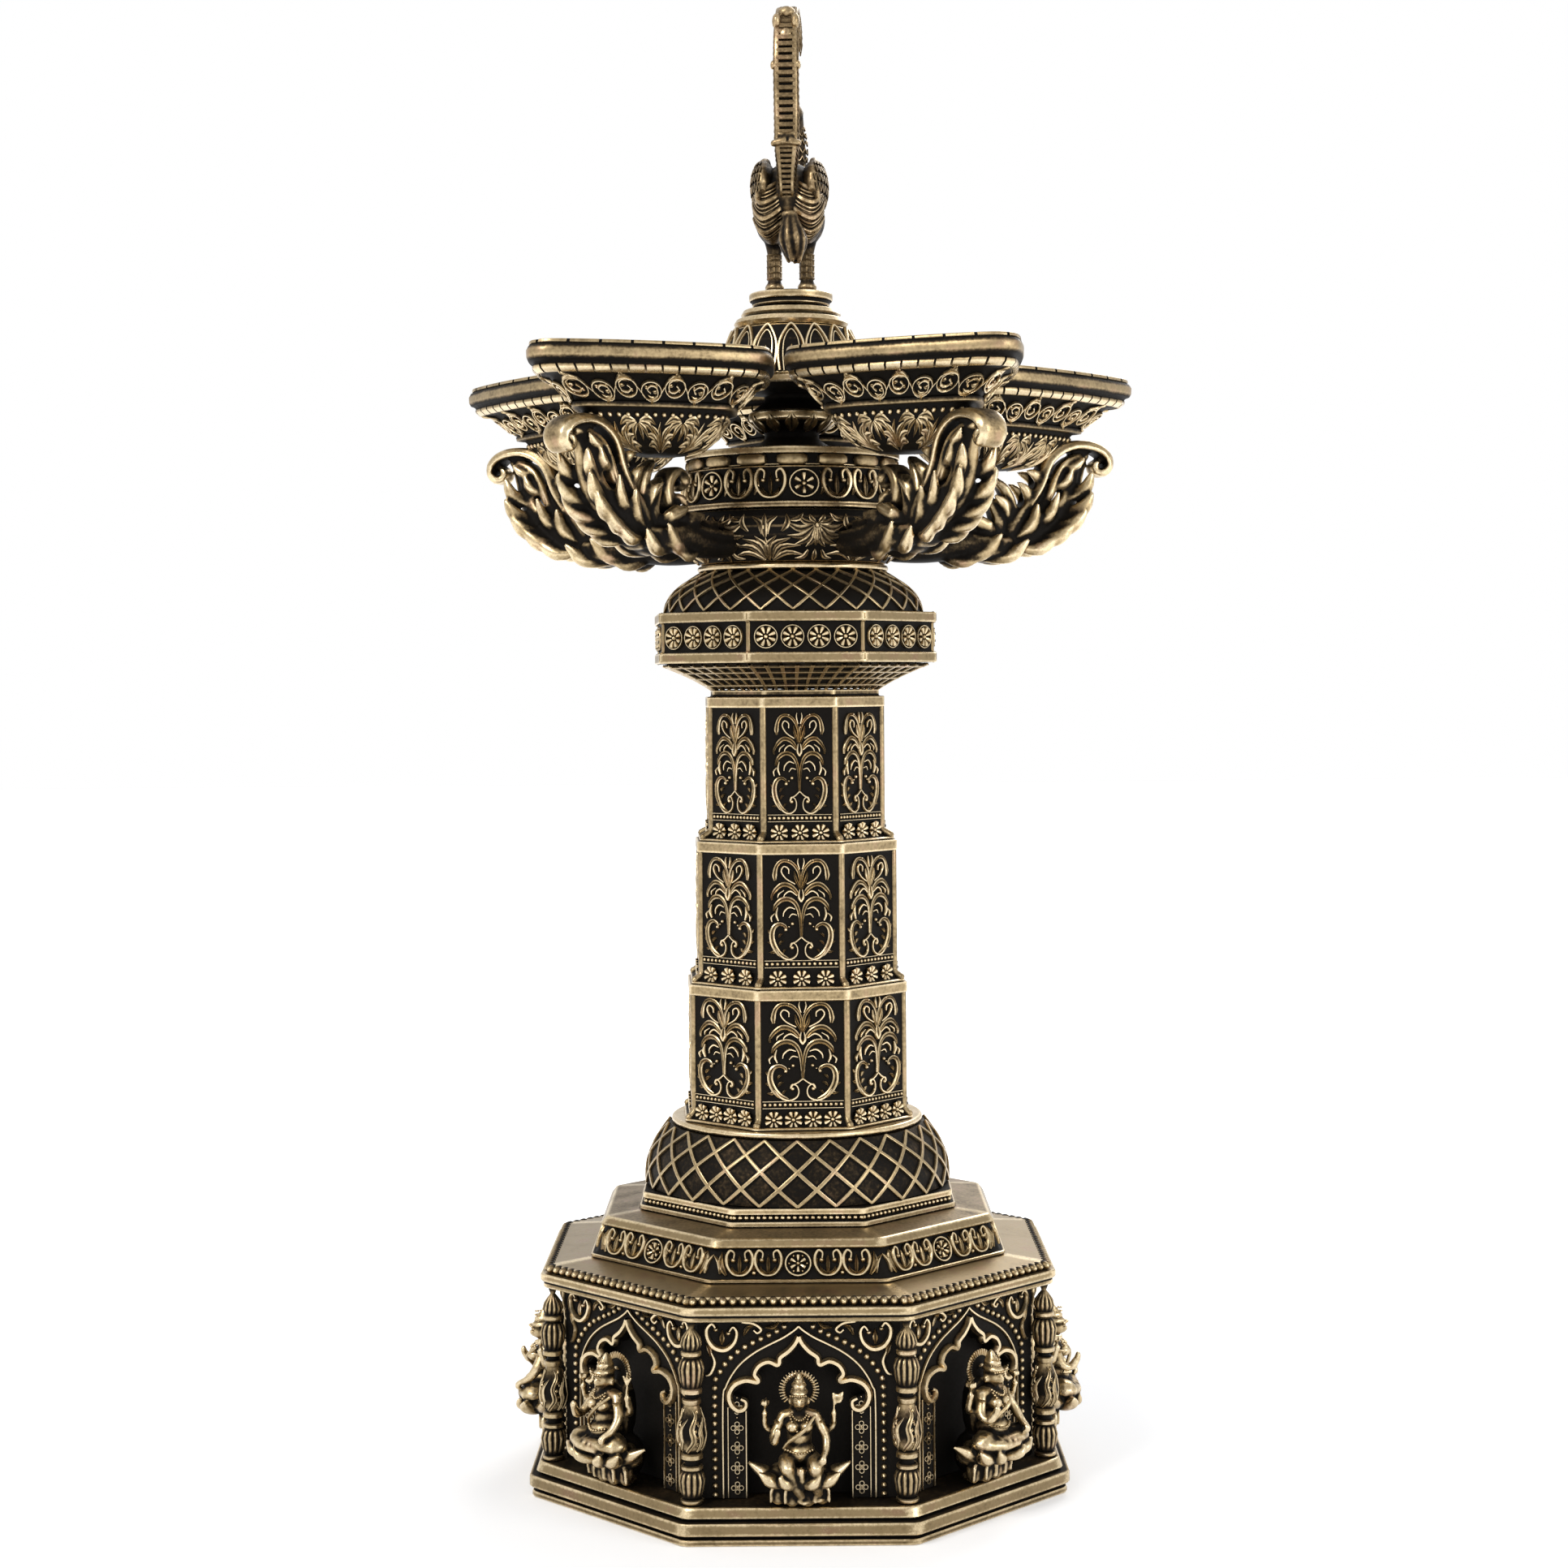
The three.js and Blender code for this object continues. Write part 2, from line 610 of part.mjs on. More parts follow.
// Plan points as shares of the apex reach, heel reach and half width.
const planShares = [
  [1, 0], [0.926, 0.19], [0.585, 0.56], [0.22, 0.86], [0, 0.99], [-0.18, 1], [-0.393, 0.877],
  [-0.642, 0.684], [-0.87, 0.48], [-0.977, 0.24], [-1, 0],
];

function bowlPlan() {
  const place = ([alongShare, acrossShare]) => {
    const reach = alongShare > 0 ? bowl.apexReach : bowl.heelReach;
    return new THREE.Vector3(reach * alongShare, bowl.halfWidth * acrossShare, 0);
  };
  const right = planShares.map(place);
  const left = right.slice(1, -1).reverse().map((point) => new THREE.Vector3(point.x, -point.y, 0));
  return new THREE.CatmullRomCurve3([...right, ...left], true, 'centripetal');
}

// Levels as [plan share, height share], up the outside and down the inside.
const bowlLevels = [
  [0.3, 0.03], [0.5, 0.24], [0.56, 0.35], [0.66, 0.44], [0.84, 0.7], [0.93, 0.76], [1, 0.81],
  [1, 1], [0.91, 1], [0.86, 0.84], [0.58, 0.5], [0.4, 0.24], [0.2, 0.12],
];
const bowlFloorShare = 0.09;
const planSteps = 18;

function bowlGeometry() {
  const plan = bowlPlan();
  const positions = [0, 0, 0];
  for (const [planShare, heightShare] of bowlLevels) {
    for (let i = 0; i < planSteps; i += 1) {
      const point = plan.getPoint(i / planSteps);
      positions.push(point.x * planShare, point.y * planShare, bowl.height * heightShare);
    }
  }
  positions.push(0, 0, bowl.height * bowlFloorShare);
  const at = (ring, i) => 1 + ring * planSteps + (i % planSteps);
  const last = bowlLevels.length - 1;
  const indices = [];
  for (let i = 0; i < planSteps; i += 1) {
    indices.push(0, at(0, i + 1), at(0, i));
    for (let ring = 0; ring < last; ring += 1) {
      indices.push(at(ring, i), at(ring, i + 1), at(ring + 1, i + 1));
      indices.push(at(ring, i), at(ring + 1, i + 1), at(ring + 1, i));
    }
    indices.push(at(last, i), at(last, i + 1), positions.length / 3 - 1);
  }
  const geometry = new THREE.BufferGeometry();
  geometry.setAttribute('position', new THREE.Float32BufferAttribute(positions, 3));
  geometry.setIndex(indices);
  return geometry;
}

// Scroll bracket outline as shares of the bracket's reach and of its rise from tip to top.
const bracketShares = [
  [0.38, 0.02], [0.482, 0.132], [0.525, 0.147], [0.559, 0.108], [0.615, 0.057], [0.67, 0.073],
  [0.715, 0.149], [0.741, 0.226], [0.781, 0.235], [0.834, 0.303], [0.879, 0.378], [0.903, 0.497],
  [0.882, 0.666], [0.852, 0.721], [0.86, 0.798], [0.894, 0.82], [0.909, 0.732], [0.925, 0.679],
  [0.985, 0.69], [1, 0.818], [0.985, 0.905], [0.938, 0.969], [0.893, 1], [0.816, 0.938],
  [0.771, 0.813], [0.758, 0.708], [0.751, 0.576], [0.721, 0.47], [0.669, 0.347], [0.653, 0.435],
  [0.686, 0.556], [0.677, 0.666], [0.644, 0.725], [0.603, 0.695], [0.59, 0.6], [0.619, 0.545],
  [0.603, 0.435], [0.549, 0.314], [0.457, 0.27],
];
const bracketHoleShares = [[0.765, 0.35], [0.805, 0.37], [0.84, 0.47], [0.835, 0.62], [0.795, 0.55]];

// The bracket's root follows the urn's side.
function bracketRoot() {
  const shoulder = urnShoulderRadius();
  return [
    [urn.bellyRadius, level.urn + urn.height * urn.bellyShare],
    [shoulder, level.urn + urn.height / 3],
    [urn.footRadius, level.urn],
  ].map(([radius, height]) => [radius + 2 * seatGap, height + seatGap]);
}

function bracketSolid() {
  const reach = bowl.originDistance + bowl.apexReach - bracket.tipInset;
  const place = ([reachShare, riseShare]) => [
    reach * reachShare, level.bracketTip + bracket.height * riseShare,
  ];
  const outline = [...bracketShares.map(place), ...bracketRoot()];
  return plate(outline, bracket.thickness, [bracketHoleShares.map(place)]);
}

// Bird finial, built at its own feet and facing +X, then turned to its azimuth

// Body and neck, grown by a clearance where wings and tail are cut to fit them.
function birdCore(clearance = 0) {
  const b = bird;
  const size = [b.bodyLength, b.bodyWidth, b.bodyHeight].map((extent) => extent + 2 * clearance);
  const torso = ellipsoid(size, [0, 0, b.bodyLevel], 12, 8);
  const chest = [b.bodyLength / 3, 0, b.bodyLevel + b.bodyHeight / 5];
  const throat = [b.headReach + b.neckRadius / 2, 0, (b.bodyLevel + b.headLevel) / 2 + b.neckRadius];
  const nape = [b.headReach, 0, b.headLevel];
  const breastShare = 1.2;
  return union([
    torso, limb(chest, throat, b.neckRadius * breastShare + clearance, 6),
    limb(throat, nape, b.neckRadius + clearance, 6),
  ]);
}

function birdBodySolid() {
  const b = bird;
  const headShares = [2.2, 1.9, 1.9];
  const head = ellipsoid(headShares.map((share) => share * b.headRadius), [b.headReach, 0, b.headLevel]);
  const beak = ellipsoid([2 * b.beakLength, b.headRadius, b.headRadius / 2],
    [b.headReach + b.headRadius, 0, b.headLevel - b.headRadius / 4]);
  const legs = [-1, 1].flatMap((side) => [
    limb([0, side * b.legSpread, b.bodyLevel - b.bodyHeight / 4],
      [0, side * b.legSpread, b.footHeight], b.legRadius, 6),
    ellipsoid([b.footLength, b.footWidth, 2 * b.footHeight],
      [b.footLength / 5, side * b.legSpread, b.footHeight]),
  ]);
  const whole = union([birdCore(), head, beak, ...legs]);
  const keep = new THREE.BoxGeometry(4 * b.bodyLength, 4 * b.bodyWidth, b.plumeTop);
  keep.translate(0, 0, b.plumeTop / 2);
  return whole.intersect(toSolid(keep));
}

function wingSolid(side) {
  const b = bird;
  const wing = ellipsoid([b.wingLength, 2 * b.wingWidth, b.wingHeight],
    [-b.wingLength / 12, side * (b.wingSpread - b.wingWidth / 2), b.wingLevel], 12, 6);
  return wing.subtract(birdCore(seatGap)).subtract(plumeSlot());
}

function plumeSlot() {
  const b = bird;
  const slot = new THREE.BoxGeometry(2 * b.bodyLength, b.plumeThickness + 2 * seatGap, b.plumeTop);
  slot.translate(-b.bodyLength / 2, 0, b.plumeTop / 2);
  return toSolid(slot);
}

// Plume outline as shares of its reach behind the bird and of its top level.
const plumeShares = [
  [-0.78, 0.3], [-0.95, 0.33], [-1, 0.44], [-0.93, 0.56], [-0.95, 0.68], [-1, 0.8], [-0.81, 0.91],
  [-0.43, 0.98], [-0.05, 1], [0.29, 0.965], [0.38, 0.895], [0.14, 0.855], [0, 0.885], [-0.19, 0.9],
  [-0.38, 0.82], [-0.45, 0.7], [-0.48, 0.58], [-0.4, 0.46], [-0.4, 0.34],
];

function plumeSolid() {
  const b = bird;
  const outline = plumeShares.map(([reachShare, levelShare]) => [
    b.plumeReach * reachShare, b.plumeTop * levelShare,
  ]).reverse();
  const tassel = ellipsoid([2 * b.tasselRadius, 2 * b.tasselRadius, b.tasselLength],
    [-b.plumeReach * 0.95, -b.tasselShift, b.tasselLevel], 8, 6);
  const cord = limb([-b.plumeReach * 0.92, -b.tasselShift / 2, b.tasselLevel + b.tasselLength / 3],
    [-b.plumeReach * 0.86, 0, b.plumeTop * 0.34], b.tasselRadius / 2);
  return union([plate(outline, b.plumeThickness), tassel, cord]).subtract(birdCore(seatGap));
}

function studProfile() {
  const top = level.perch + perch.socketDepth - seatGap;
  return [[0, top - stud.length], [stud.radius, top - stud.length], [stud.radius, top], [0, top]];
}

// Clamping parts inside

function rodLevels() {
  const plateTop = level.plinth - seatGap - step.webThickness - seatGap;
  const washerTop = plateTop - clampPlate.thickness - seatGap;
  const nutTop = washerTop - rodWasher.thickness - seatGap;
  return { plateTop, washerTop, nutTop, rodEnd: nutTop - rodNut.height - rod.tailLength };
}

function holedDisc(radius, bore, top, thickness) {
  return [[radius, top - thickness], [radius, top], [bore, top], [bore, top - thickness]];
}

// Assembly

const model = new THREE.Group();
const tones = { next: 0 };

function addPiece(parent, name, geometry) {
  const color = brassTones[tones.next % brassTones.length];
  tones.next += 1;
  const material = new THREE.MeshStandardMaterial({ color, roughness: 0.42, metalness: 1 });
  const mesh = new THREE.Mesh(geometry, material);
  mesh.name = name;
  parent.add(mesh);
  return mesh;
}

function addSolid(parent, name, solid) {
  return addPiece(parent, name, toGeometry(solid));
}

function addTurned(parent, name, profile, segments = roundSegments) {
  return addSolid(parent, name, toSolid(turned(profile, segments)));
}

function addOctagonal(parent, name, profile) {
  return addSolid(parent, name, toSolid(octagonal(profile)));
}

function turnedGroup(degrees) {
  const group = new THREE.Group();
  group.rotation.z = inRadians(degrees);
  model.add(group);
  return group;
}

function addBase() {
  addOctagonal(model, 'base_foot', footProfile());
  addOctagonal(model, 'base_plate', basePlateProfile());
  addSolid(model, 'base_drum', drumSolid());
  addOctagonal(model, 'base_cap', capProfile());
  addOctagonal(model, 'step_block', stepProfile());
  addOctagonal(model, 'plinth_ring', plinthProfile());
  addTurned(model, 'lower_dome', domeProfile(lowerDome, level.lowerDome));
  addTurned(model, 'neck_ring', ringProfile(neckRing, level.neckRing));
  for (let i = 0; i < facetCount; i += 1) {
    const facing = turnedGroup(i * 360 / facetCount);
    const figure = addSolid(facing, `lakshmi_${i + 1}`, goddessSolid());
    figure.position.set(0, -drum.radius * facetCosine, level.drum);
    const corner = turnedGroup((i + 0.5) * 360 / facetCount);
    const post = addTurned(corner, `baluster_${i + 1}`, balusterProfile(), balusterSides);
    post.position.y = -drum.radius - baluster.standOff;
  }
}

function addClamp() {
  const at = rodLevels();
  const bore = rod.radius + rod.clearance;
  const rodTop = level.urn + urn.bossHeight;
  addTurned(model, 'clamp_plate', holedDisc(clampPlate.radius, bore, at.plateTop,
    clampPlate.thickness));
  addTurned(model, 'rod_washer', holedDisc(rodWasher.radius, bore, at.washerTop,
    rodWasher.thickness), rodSegments);
  addTurned(model, 'rod_nut', holedDisc(rodNut.radius, bore / Math.cos(Math.PI / nutSides),
    at.nutTop, rodNut.height), nutSides);
  addTurned(model, 'tie_rod', [[0, at.rodEnd], [rod.radius, at.rodEnd], [rod.radius, rodTop],
    [0, rodTop]], rodSegments);
}

function addColumn() {
  const group = turnedGroup(turnDegrees.column);
  for (const name of Object.keys(tierSizes)) {
    addSolid(group, name, tierSolid(name));
  }
}

function addCapital() {
  const group = turnedGroup(turnDegrees.capital);
  addOctagonal(group, 'capital_funnel', funnelProfile());
  addOctagonal(group, 'capital_band', bandProfile());
  addTurned(group, 'capital_dome', domeProfile(upperDome, level.upperDome));
  addTurned(group, 'capital_collar', ringProfile(collar, level.collar));
}

function addHead() {
  addTurned(model, 'urn_bowl', urnProfile());
  addTurned(model, 'urn_frieze', friezeProfile());
  addTurned(model, 'urn_rim', rollRingProfile());
  addTurned(model, 'stem', stemProfile());
  addTurned(model, 'petal_dome', domeProfile(petalDome, level.petalDome));
  addTurned(model, 'crown_rings', crownProfile());
  for (let i = 0; i < bowl.count; i += 1) {
    const azimuth = turnDegrees.firstBowl + i * 360 / bowl.count;
    const group = turnedGroup(azimuth - quarterDegrees);
    addSolid(group, `scroll_bracket_${i + 1}`, bracketSolid());
    const dish = addSolid(group, `oil_bowl_${i + 1}`, toSolid(bowlGeometry()));
    dish.position.set(bowl.originDistance, 0, level.bowl);
  }
}

function addBird() {
  addTurned(model, 'bird_washer', holedDisc(birdWasher.radius, stud.radius + stud.clearance,
    level.birdWasher + birdWasher.thickness, birdWasher.thickness));
  addTurned(model, 'perch_disc', perchProfile());
  addTurned(model, 'bird_stud', studProfile(), rodSegments);
  const group = turnedGroup(turnDegrees.bird - quarterDegrees);
  group.position.z = level.bird;
  addSolid(group, 'bird_body', birdBodySolid());
  addSolid(group, 'wing_left', wingSolid(1));
  addSolid(group, 'wing_right', wingSolid(-1));
  addSolid(group, 'tail_plume', plumeSolid());
}

addBase();
addClamp();
addColumn();
addCapital();
addHead();
addBird();

export default model;
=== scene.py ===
"""Looks of a cast brass goddess lamp: castings, relief ornament, figures, oil bowls and bird."""

from __future__ import annotations

import json
import logging
import math
from dataclasses import dataclass, field
from enum import Enum
from typing import Callable, Protocol, Sequence

import bmesh
import bpy
import numpy as np
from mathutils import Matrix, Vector

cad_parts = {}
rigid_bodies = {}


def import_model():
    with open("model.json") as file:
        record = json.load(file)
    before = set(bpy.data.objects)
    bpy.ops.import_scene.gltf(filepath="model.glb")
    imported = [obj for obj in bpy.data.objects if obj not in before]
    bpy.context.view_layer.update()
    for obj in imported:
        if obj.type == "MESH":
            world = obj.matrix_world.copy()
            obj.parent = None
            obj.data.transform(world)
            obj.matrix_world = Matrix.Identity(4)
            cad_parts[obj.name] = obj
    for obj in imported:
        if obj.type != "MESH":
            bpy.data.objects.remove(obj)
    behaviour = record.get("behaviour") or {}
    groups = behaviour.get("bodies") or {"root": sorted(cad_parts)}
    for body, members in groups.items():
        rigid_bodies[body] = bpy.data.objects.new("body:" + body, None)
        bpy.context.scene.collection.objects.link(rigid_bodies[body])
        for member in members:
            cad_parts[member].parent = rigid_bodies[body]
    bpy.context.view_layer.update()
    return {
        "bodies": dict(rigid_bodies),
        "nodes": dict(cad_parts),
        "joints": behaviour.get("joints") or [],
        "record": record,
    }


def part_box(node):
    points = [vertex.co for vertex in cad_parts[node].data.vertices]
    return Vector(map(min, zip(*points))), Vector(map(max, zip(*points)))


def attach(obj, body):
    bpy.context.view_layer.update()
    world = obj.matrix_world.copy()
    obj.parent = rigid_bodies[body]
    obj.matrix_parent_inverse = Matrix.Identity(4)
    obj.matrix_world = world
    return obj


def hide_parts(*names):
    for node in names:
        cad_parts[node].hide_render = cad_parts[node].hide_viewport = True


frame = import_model()

log = logging.getLogger("lamp")

Array = np.ndarray
Pair = tuple[float, float]
Corner = tuple[float, float, float]
Colour = tuple[float, float, float]

METRES_PER_MM = 0.001
SIDES = 8
FACET_ANGLE = 360.0 / SIDES
FLAT = math.cos(math.pi / SIDES)
HALF_FACET = math.sin(math.pi / SIDES)
SHARP_ANGLE = math.radians(38)
WELD_DISTANCE = 4e-7
TINY = 1e-9


def level(node: str) -> Pair:
    """Returns the lowest and highest level of a solid, in millimetres."""
    low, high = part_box(node)
    return low.z / METRES_PER_MM, high.z / METRES_PER_MM


class Tone(float, Enum):
    """How bright the brass is rubbed and how dark its hollows are, with patina and painted shade: the relief
    value stored on a point.
    """

    PIT = 0.0
    SHADE = 0.22
    WORN = 0.5
    PLAIN = 0.66
    BRIGHT = 0.85
    EDGE = 1.0


PIT, SHADE, WORN, PLAIN, BRIGHT, EDGE = Tone


# Curves and grids


def smooth(points: Sequence[Sequence[float]], steps: int = 6, closed: bool = False) -> Array:
    """Runs a Catmull-Rom curve through points.

    Args:
        points: control points, two or three numbers each.
        steps: samples for each stretch between control points.
        closed: whether the curve returns to its first point.

    Returns:
        The sampled points, one row each.
    """
    knots = np.asarray(points, float)
    if len(knots) < 3 and not closed:
        share = np.linspace(0, 1, steps + 1)[:, None]
        return knots[0] * (1 - share) + knots[-1] * share
    if closed:
        knots = np.vstack([knots[-1], knots, knots[:2]])
    else:
        knots = np.vstack([2 * knots[0] - knots[1], knots, 2 * knots[-1] - knots[-2]])
    share = np.linspace(0, 1, steps, endpoint=False)[:, None]
    rows = []
    for a, b, c, d in zip(knots, knots[1:], knots[2:], knots[3:]):
        rows.append(0.5 * (2 * b + (c - a) * share + (2 * a - 5 * b + 4 * c - d) * share**2
                           + (3 * b - a - 3 * c + d) * share**3))
    curve = np.vstack(rows)
    return curve if closed else np.vstack([curve, knots[-2]])


def run_of(line: Array) -> Array:
    """Returns the distance along a line at each of its points."""
    return np.concatenate([[0], np.cumsum(np.linalg.norm(np.diff(line, axis=0), axis=1))])


def sampled(line: Array, run: Array, at: Array | float) -> Array:
    """Returns the points of a line at distances along it."""
    return np.stack([np.interp(at, run, column) for column in line.T], axis=-1)


def unit(rows: Array) -> Array:
    """Returns rows scaled to a length of one."""
    return rows / (np.linalg.norm(rows, axis=1)[:, None] + TINY)


def oval(centre: Pair, across: float, up: float, samples: int = 12, start: float = 0.0) -> list[Pair]:
    """Returns points spread round an oval, from a direction in degrees."""
    turn = math.radians(start) + np.linspace(0, 2 * math.pi, samples, endpoint=False)
    return [(centre[0] + across * math.cos(a), centre[1] + up * math.sin(a)) for a in turn]


def compass(azimuth: float) -> tuple[Array, Array]:
    """Returns the outward and rightward directions in plan, at degrees from the front."""
    angle = math.radians(azimuth)
    return np.array([math.sin(angle), -math.cos(angle)]), np.array([math.cos(angle), math.sin(angle)])


@dataclass
class Patch:
    """A grid of points with the relief tone of each.

    Attributes:
        points: rows by columns by three coordinates, in millimetres.
        tones: rows by columns.
        wraps: whether the last column joins the first.
    """

    points: Array
    tones: Array
    wraps: bool = False

    def mirrored(self) -> "Patch":
        """Returns the patch reflected across the panel's middle line."""
        points = self.points[:, ::-1].copy()
        points[..., 0] *= -1
        return Patch(points, self.tones[:, ::-1].copy(), self.wraps)

    def moved(self, place: Callable[[Array], Array]) -> "Patch":
        """Returns the patch with a place function applied to its points."""
        flat = place(self.points.reshape(-1, 3))
        return Patch(flat.reshape(self.points.shape), self.tones, self.wraps)

    def shifted(self, offset: Sequence[float]) -> "Patch":
        """Returns the patch moved by an offset."""
        return Patch(self.points + np.array(offset), self.tones, self.wraps)


class Section(Enum):
    """Cross-section of a raised stroke: side share, height share and tone of its points."""

    ROUND = ((-1, -0.25, 0), (-0.86, 0.5, 0.6), (-0.4, 0.95, 1), (0.4, 0.95, 1), (0.86, 0.5, 0.6),
             (1, -0.25, 0))
    LEAF = ((-1, -0.25, 0), (-0.84, 0.6, 0.95), (-0.4, 0.85, 0.72), (0, 0.55, 0.36), (0.4, 0.9, 0.85),
            (0.84, 0.65, 1), (1, -0.25, 0))
    FLAT = ((-1, -0.25, 0.1), (-0.92, 0.9, 0.9), (-0.6, 1, 0.7), (0.6, 1, 0.7), (0.92, 0.9, 0.9),
            (1, -0.25, 0.1))
    SHADOW = ((-1, -0.5, 0.22), (-0.6, 0.7, 0), (0.6, 0.7, 0), (1, -0.5, 0.22))


class Panel:
    """Ornament in flat panel coordinates: across, up and out, in millimetres."""

    def __init__(self) -> None:
        """Starts an empty panel."""
        self.patches: list[Patch] = []

    def add(self, patch: Patch, mirror: bool = False) -> None:
        """Adds a patch, and its reflection where mirror is set."""
        self.patches.append(patch)
        if mirror:
            self.patches.append(patch.mirrored())

    def on(self, skin: "Skin") -> list[Patch]:
        """Returns the ornament laid on a skin."""
        return [patch.moved(skin.place) for patch in self.patches]

    def stroke(self, points: Sequence[Pair], widths: Sequence[float], height: float,
               section: Section = Section.ROUND, base: float = 0.0, steps: int = 5,
               mirror: bool = False, closed: bool = False) -> None:
        """Adds a raised stroke along a curve.

        Args:
            points: control points across and up.
            widths: full widths, spread evenly along the stroke.
            height: height of the widest place above the base.
            section: form of the cross-section.
            base: level that the stroke stands on.
            steps: samples for each stretch.
            mirror: whether its reflection is added too.
            closed: whether it returns to its start.
        """
        curve = smooth(points, steps, closed)
        share = np.linspace(0, 1, len(curve))
        width = np.interp(share, np.linspace(0, 1, len(widths)), widths)
        if closed:
            curve = np.vstack([curve, curve[:1]])
            width = np.append(width, width[0])
        ahead = np.gradient(curve, axis=0)
        if closed:
            ahead[0] = ahead[-1] = curve[1] - curve[-2]
        across = unit(ahead)[:, ::-1] * (1, -1)
        form = np.array(section.value)
        grid = np.zeros((len(curve), len(form), 3))
        grid[..., :2] = curve[:, None] + across[:, None] * (form[None, :, :1] * width[:, None, None] / 2)
        grid[..., 2] = base + height * form[None, :, 1] * np.sqrt(width / max(widths))[:, None]
        self.add(Patch(grid, np.broadcast_to(form[:, 2], grid.shape[:2]).copy()), mirror)

    def leaf(self, root: Pair, tip: Pair, width: float, height: float, bend: float = 0.0,
             mirror: bool = False) -> None:
        """Adds a grooved leaf from its root to its tip, bent sideways by a share of its length."""
        start, end = np.array(root), np.array(tip)
        along = end - start
        middle = (start + end) / 2 + np.array([along[1], -along[0]]) * bend
        widths = [share * width for share in (0.35, 0.9, 1, 0.7, 0.08)]
        self.stroke([start, middle, end], widths, height, Section.LEAF, steps=3, mirror=mirror)

    def bead(self, place: Pair, radius: float, height: float | None = None, base: float = 0.0,
             mirror: bool = False, around: int = 8, stretch: float = 1.0) -> None:
        """Adds a round bead, or an oval one where stretch isn't one."""
        rise = radius if height is None else height
        lift = np.radians([-20, 15, 50, 78, 90])
        turn = np.linspace(0, 2 * math.pi, around, endpoint=False)
        ring = radius * np.cos(lift)
        ring[-1] = 0
        grid = np.zeros((len(lift), around, 3))
        grid[..., 0] = place[0] + ring[:, None] * np.cos(turn)
        grid[..., 1] = place[1] + ring[:, None] * np.sin(turn) * stretch
        grid[..., 2] = base + (rise * np.sin(lift))[:, None]
        tones = np.broadcast_to(np.array([0, 0.35, 0.8, 1, 1])[:, None], grid.shape[:2]).copy()
        self.add(Patch(grid, tones, True), mirror)

    def beads(self, start: Pair, end: Pair, count: int, radius: float) -> None:
        """Adds a straight row of beads between two places."""
        for share in np.linspace(0, 1, count):
            place = (start[0] + (end[0] - start[0]) * share, start[1] + (end[1] - start[1]) * share)
            self.bead(place, radius, around=7)

    def rosette(self, place: Pair, radius: float, petals: int, height: float, base: float = 0.0) -> None:
        """Adds a rosette of spoon-shaped petals round a bead."""
        widths = [radius * share for share in (0.24, 0.44, 0.62, 0.6)]
        eyes = oval(place, radius * 0.34, radius * 0.34, petals, 180 / petals)
        for root, tip in zip(eyes, oval(place, radius, radius, petals, 180 / petals)):
            self.stroke([root, tip], widths, height, base=base, steps=3)
        self.bead(place, radius * 0.3, height, base)

    def frond(self, points: Sequence[Pair], widths: Sequence[float], height: float, lobes: int = 4,
              side: float = 1.0, reach: float = 1.8) -> None:
        """Adds a grooved acanthus leaf with lobes along one side.

        Args:
            points: control points of its rib.
            widths: full widths, spread evenly along it.
            height: height above the ground.
            lobes: number of lobes.
            side: one for lobes on the right of its run, minus one for the left.
            reach: length of a lobe.
        """
        self.stroke(points, widths, height, Section.LEAF)
        curve = smooth(points, 6)
        ahead = unit(np.gradient(curve, axis=0))
        for share in np.linspace(0.22, 0.86, lobes):
            k = int(share * (len(curve) - 1))
            out = np.array([ahead[k, 1], -ahead[k, 0]]) * side
            root = curve[k] + out * 0.25
            tip = root + (out * 0.75 + ahead[k] * 0.65) * reach
            self.leaf(root, tip, reach * 0.6, height * 0.92, 0.16 * side)

    def lyre(self, middle: float, half: float, low: float, high: float, height: float,
             mirror: bool = False, bold: float = 1.0) -> None:
        """Adds a scroll like a lyre: both ends curl in round knobs, with a sprig between them.

        Args:
            middle: place across.
            half: half its width.
            low: level of its belly.
            high: level of its curls.
            height: height above the ground.
            mirror: whether its reflection is added too.
            bold: scale of the widths.
        """
        rise = high - low
        right = [(0, 0.02), (0.55, 0.1), (0.95, 0.4), (1, 0.76), (0.74, 0.99), (0.42, 0.9), (0.46, 0.66)]
        line = [(-u, v) for u, v in right[:0:-1]] + right
        points = [(middle + u * half, low + v * rise) for u, v in line]
        widths = [w * bold for w in (0.8, 1.1, 1.5, 1.7, 1.2, 1, 1.2, 1.7, 1.5, 1.1, 0.8)]
        self.stroke(points, widths, height, steps=4, mirror=mirror)
        for facing in (-1, 1):
            reach = facing * half
            self.bead((middle + reach * 0.5, low + 0.62 * rise), 0.85 * bold, height * 1.05, mirror=mirror)
            self.leaf((middle + reach * 0.04, low + 0.1 * rise), (middle + reach * 0.62, low + 0.42 * rise),
                      1.3 * bold, height * 0.9, 0.2 * facing, mirror=mirror)
            self.leaf((middle + reach * 0.95, low + 0.3 * rise), (middle + reach * 1.22, low + 0.95 * rise),
                      1.1 * bold, height * 0.8, -0.15 * facing, mirror=mirror)
        self.leaf((middle, low + 0.1 * rise), (middle, low + 0.86 * rise), 1.5 * bold, height, mirror=mirror)


# Skins that carry a panel


class Skin(Protocol):
    """A surface that an ornament can be laid on."""

    def place(self, points: Array) -> Array:
        """Returns panel points as points of the piece, in millimetres."""


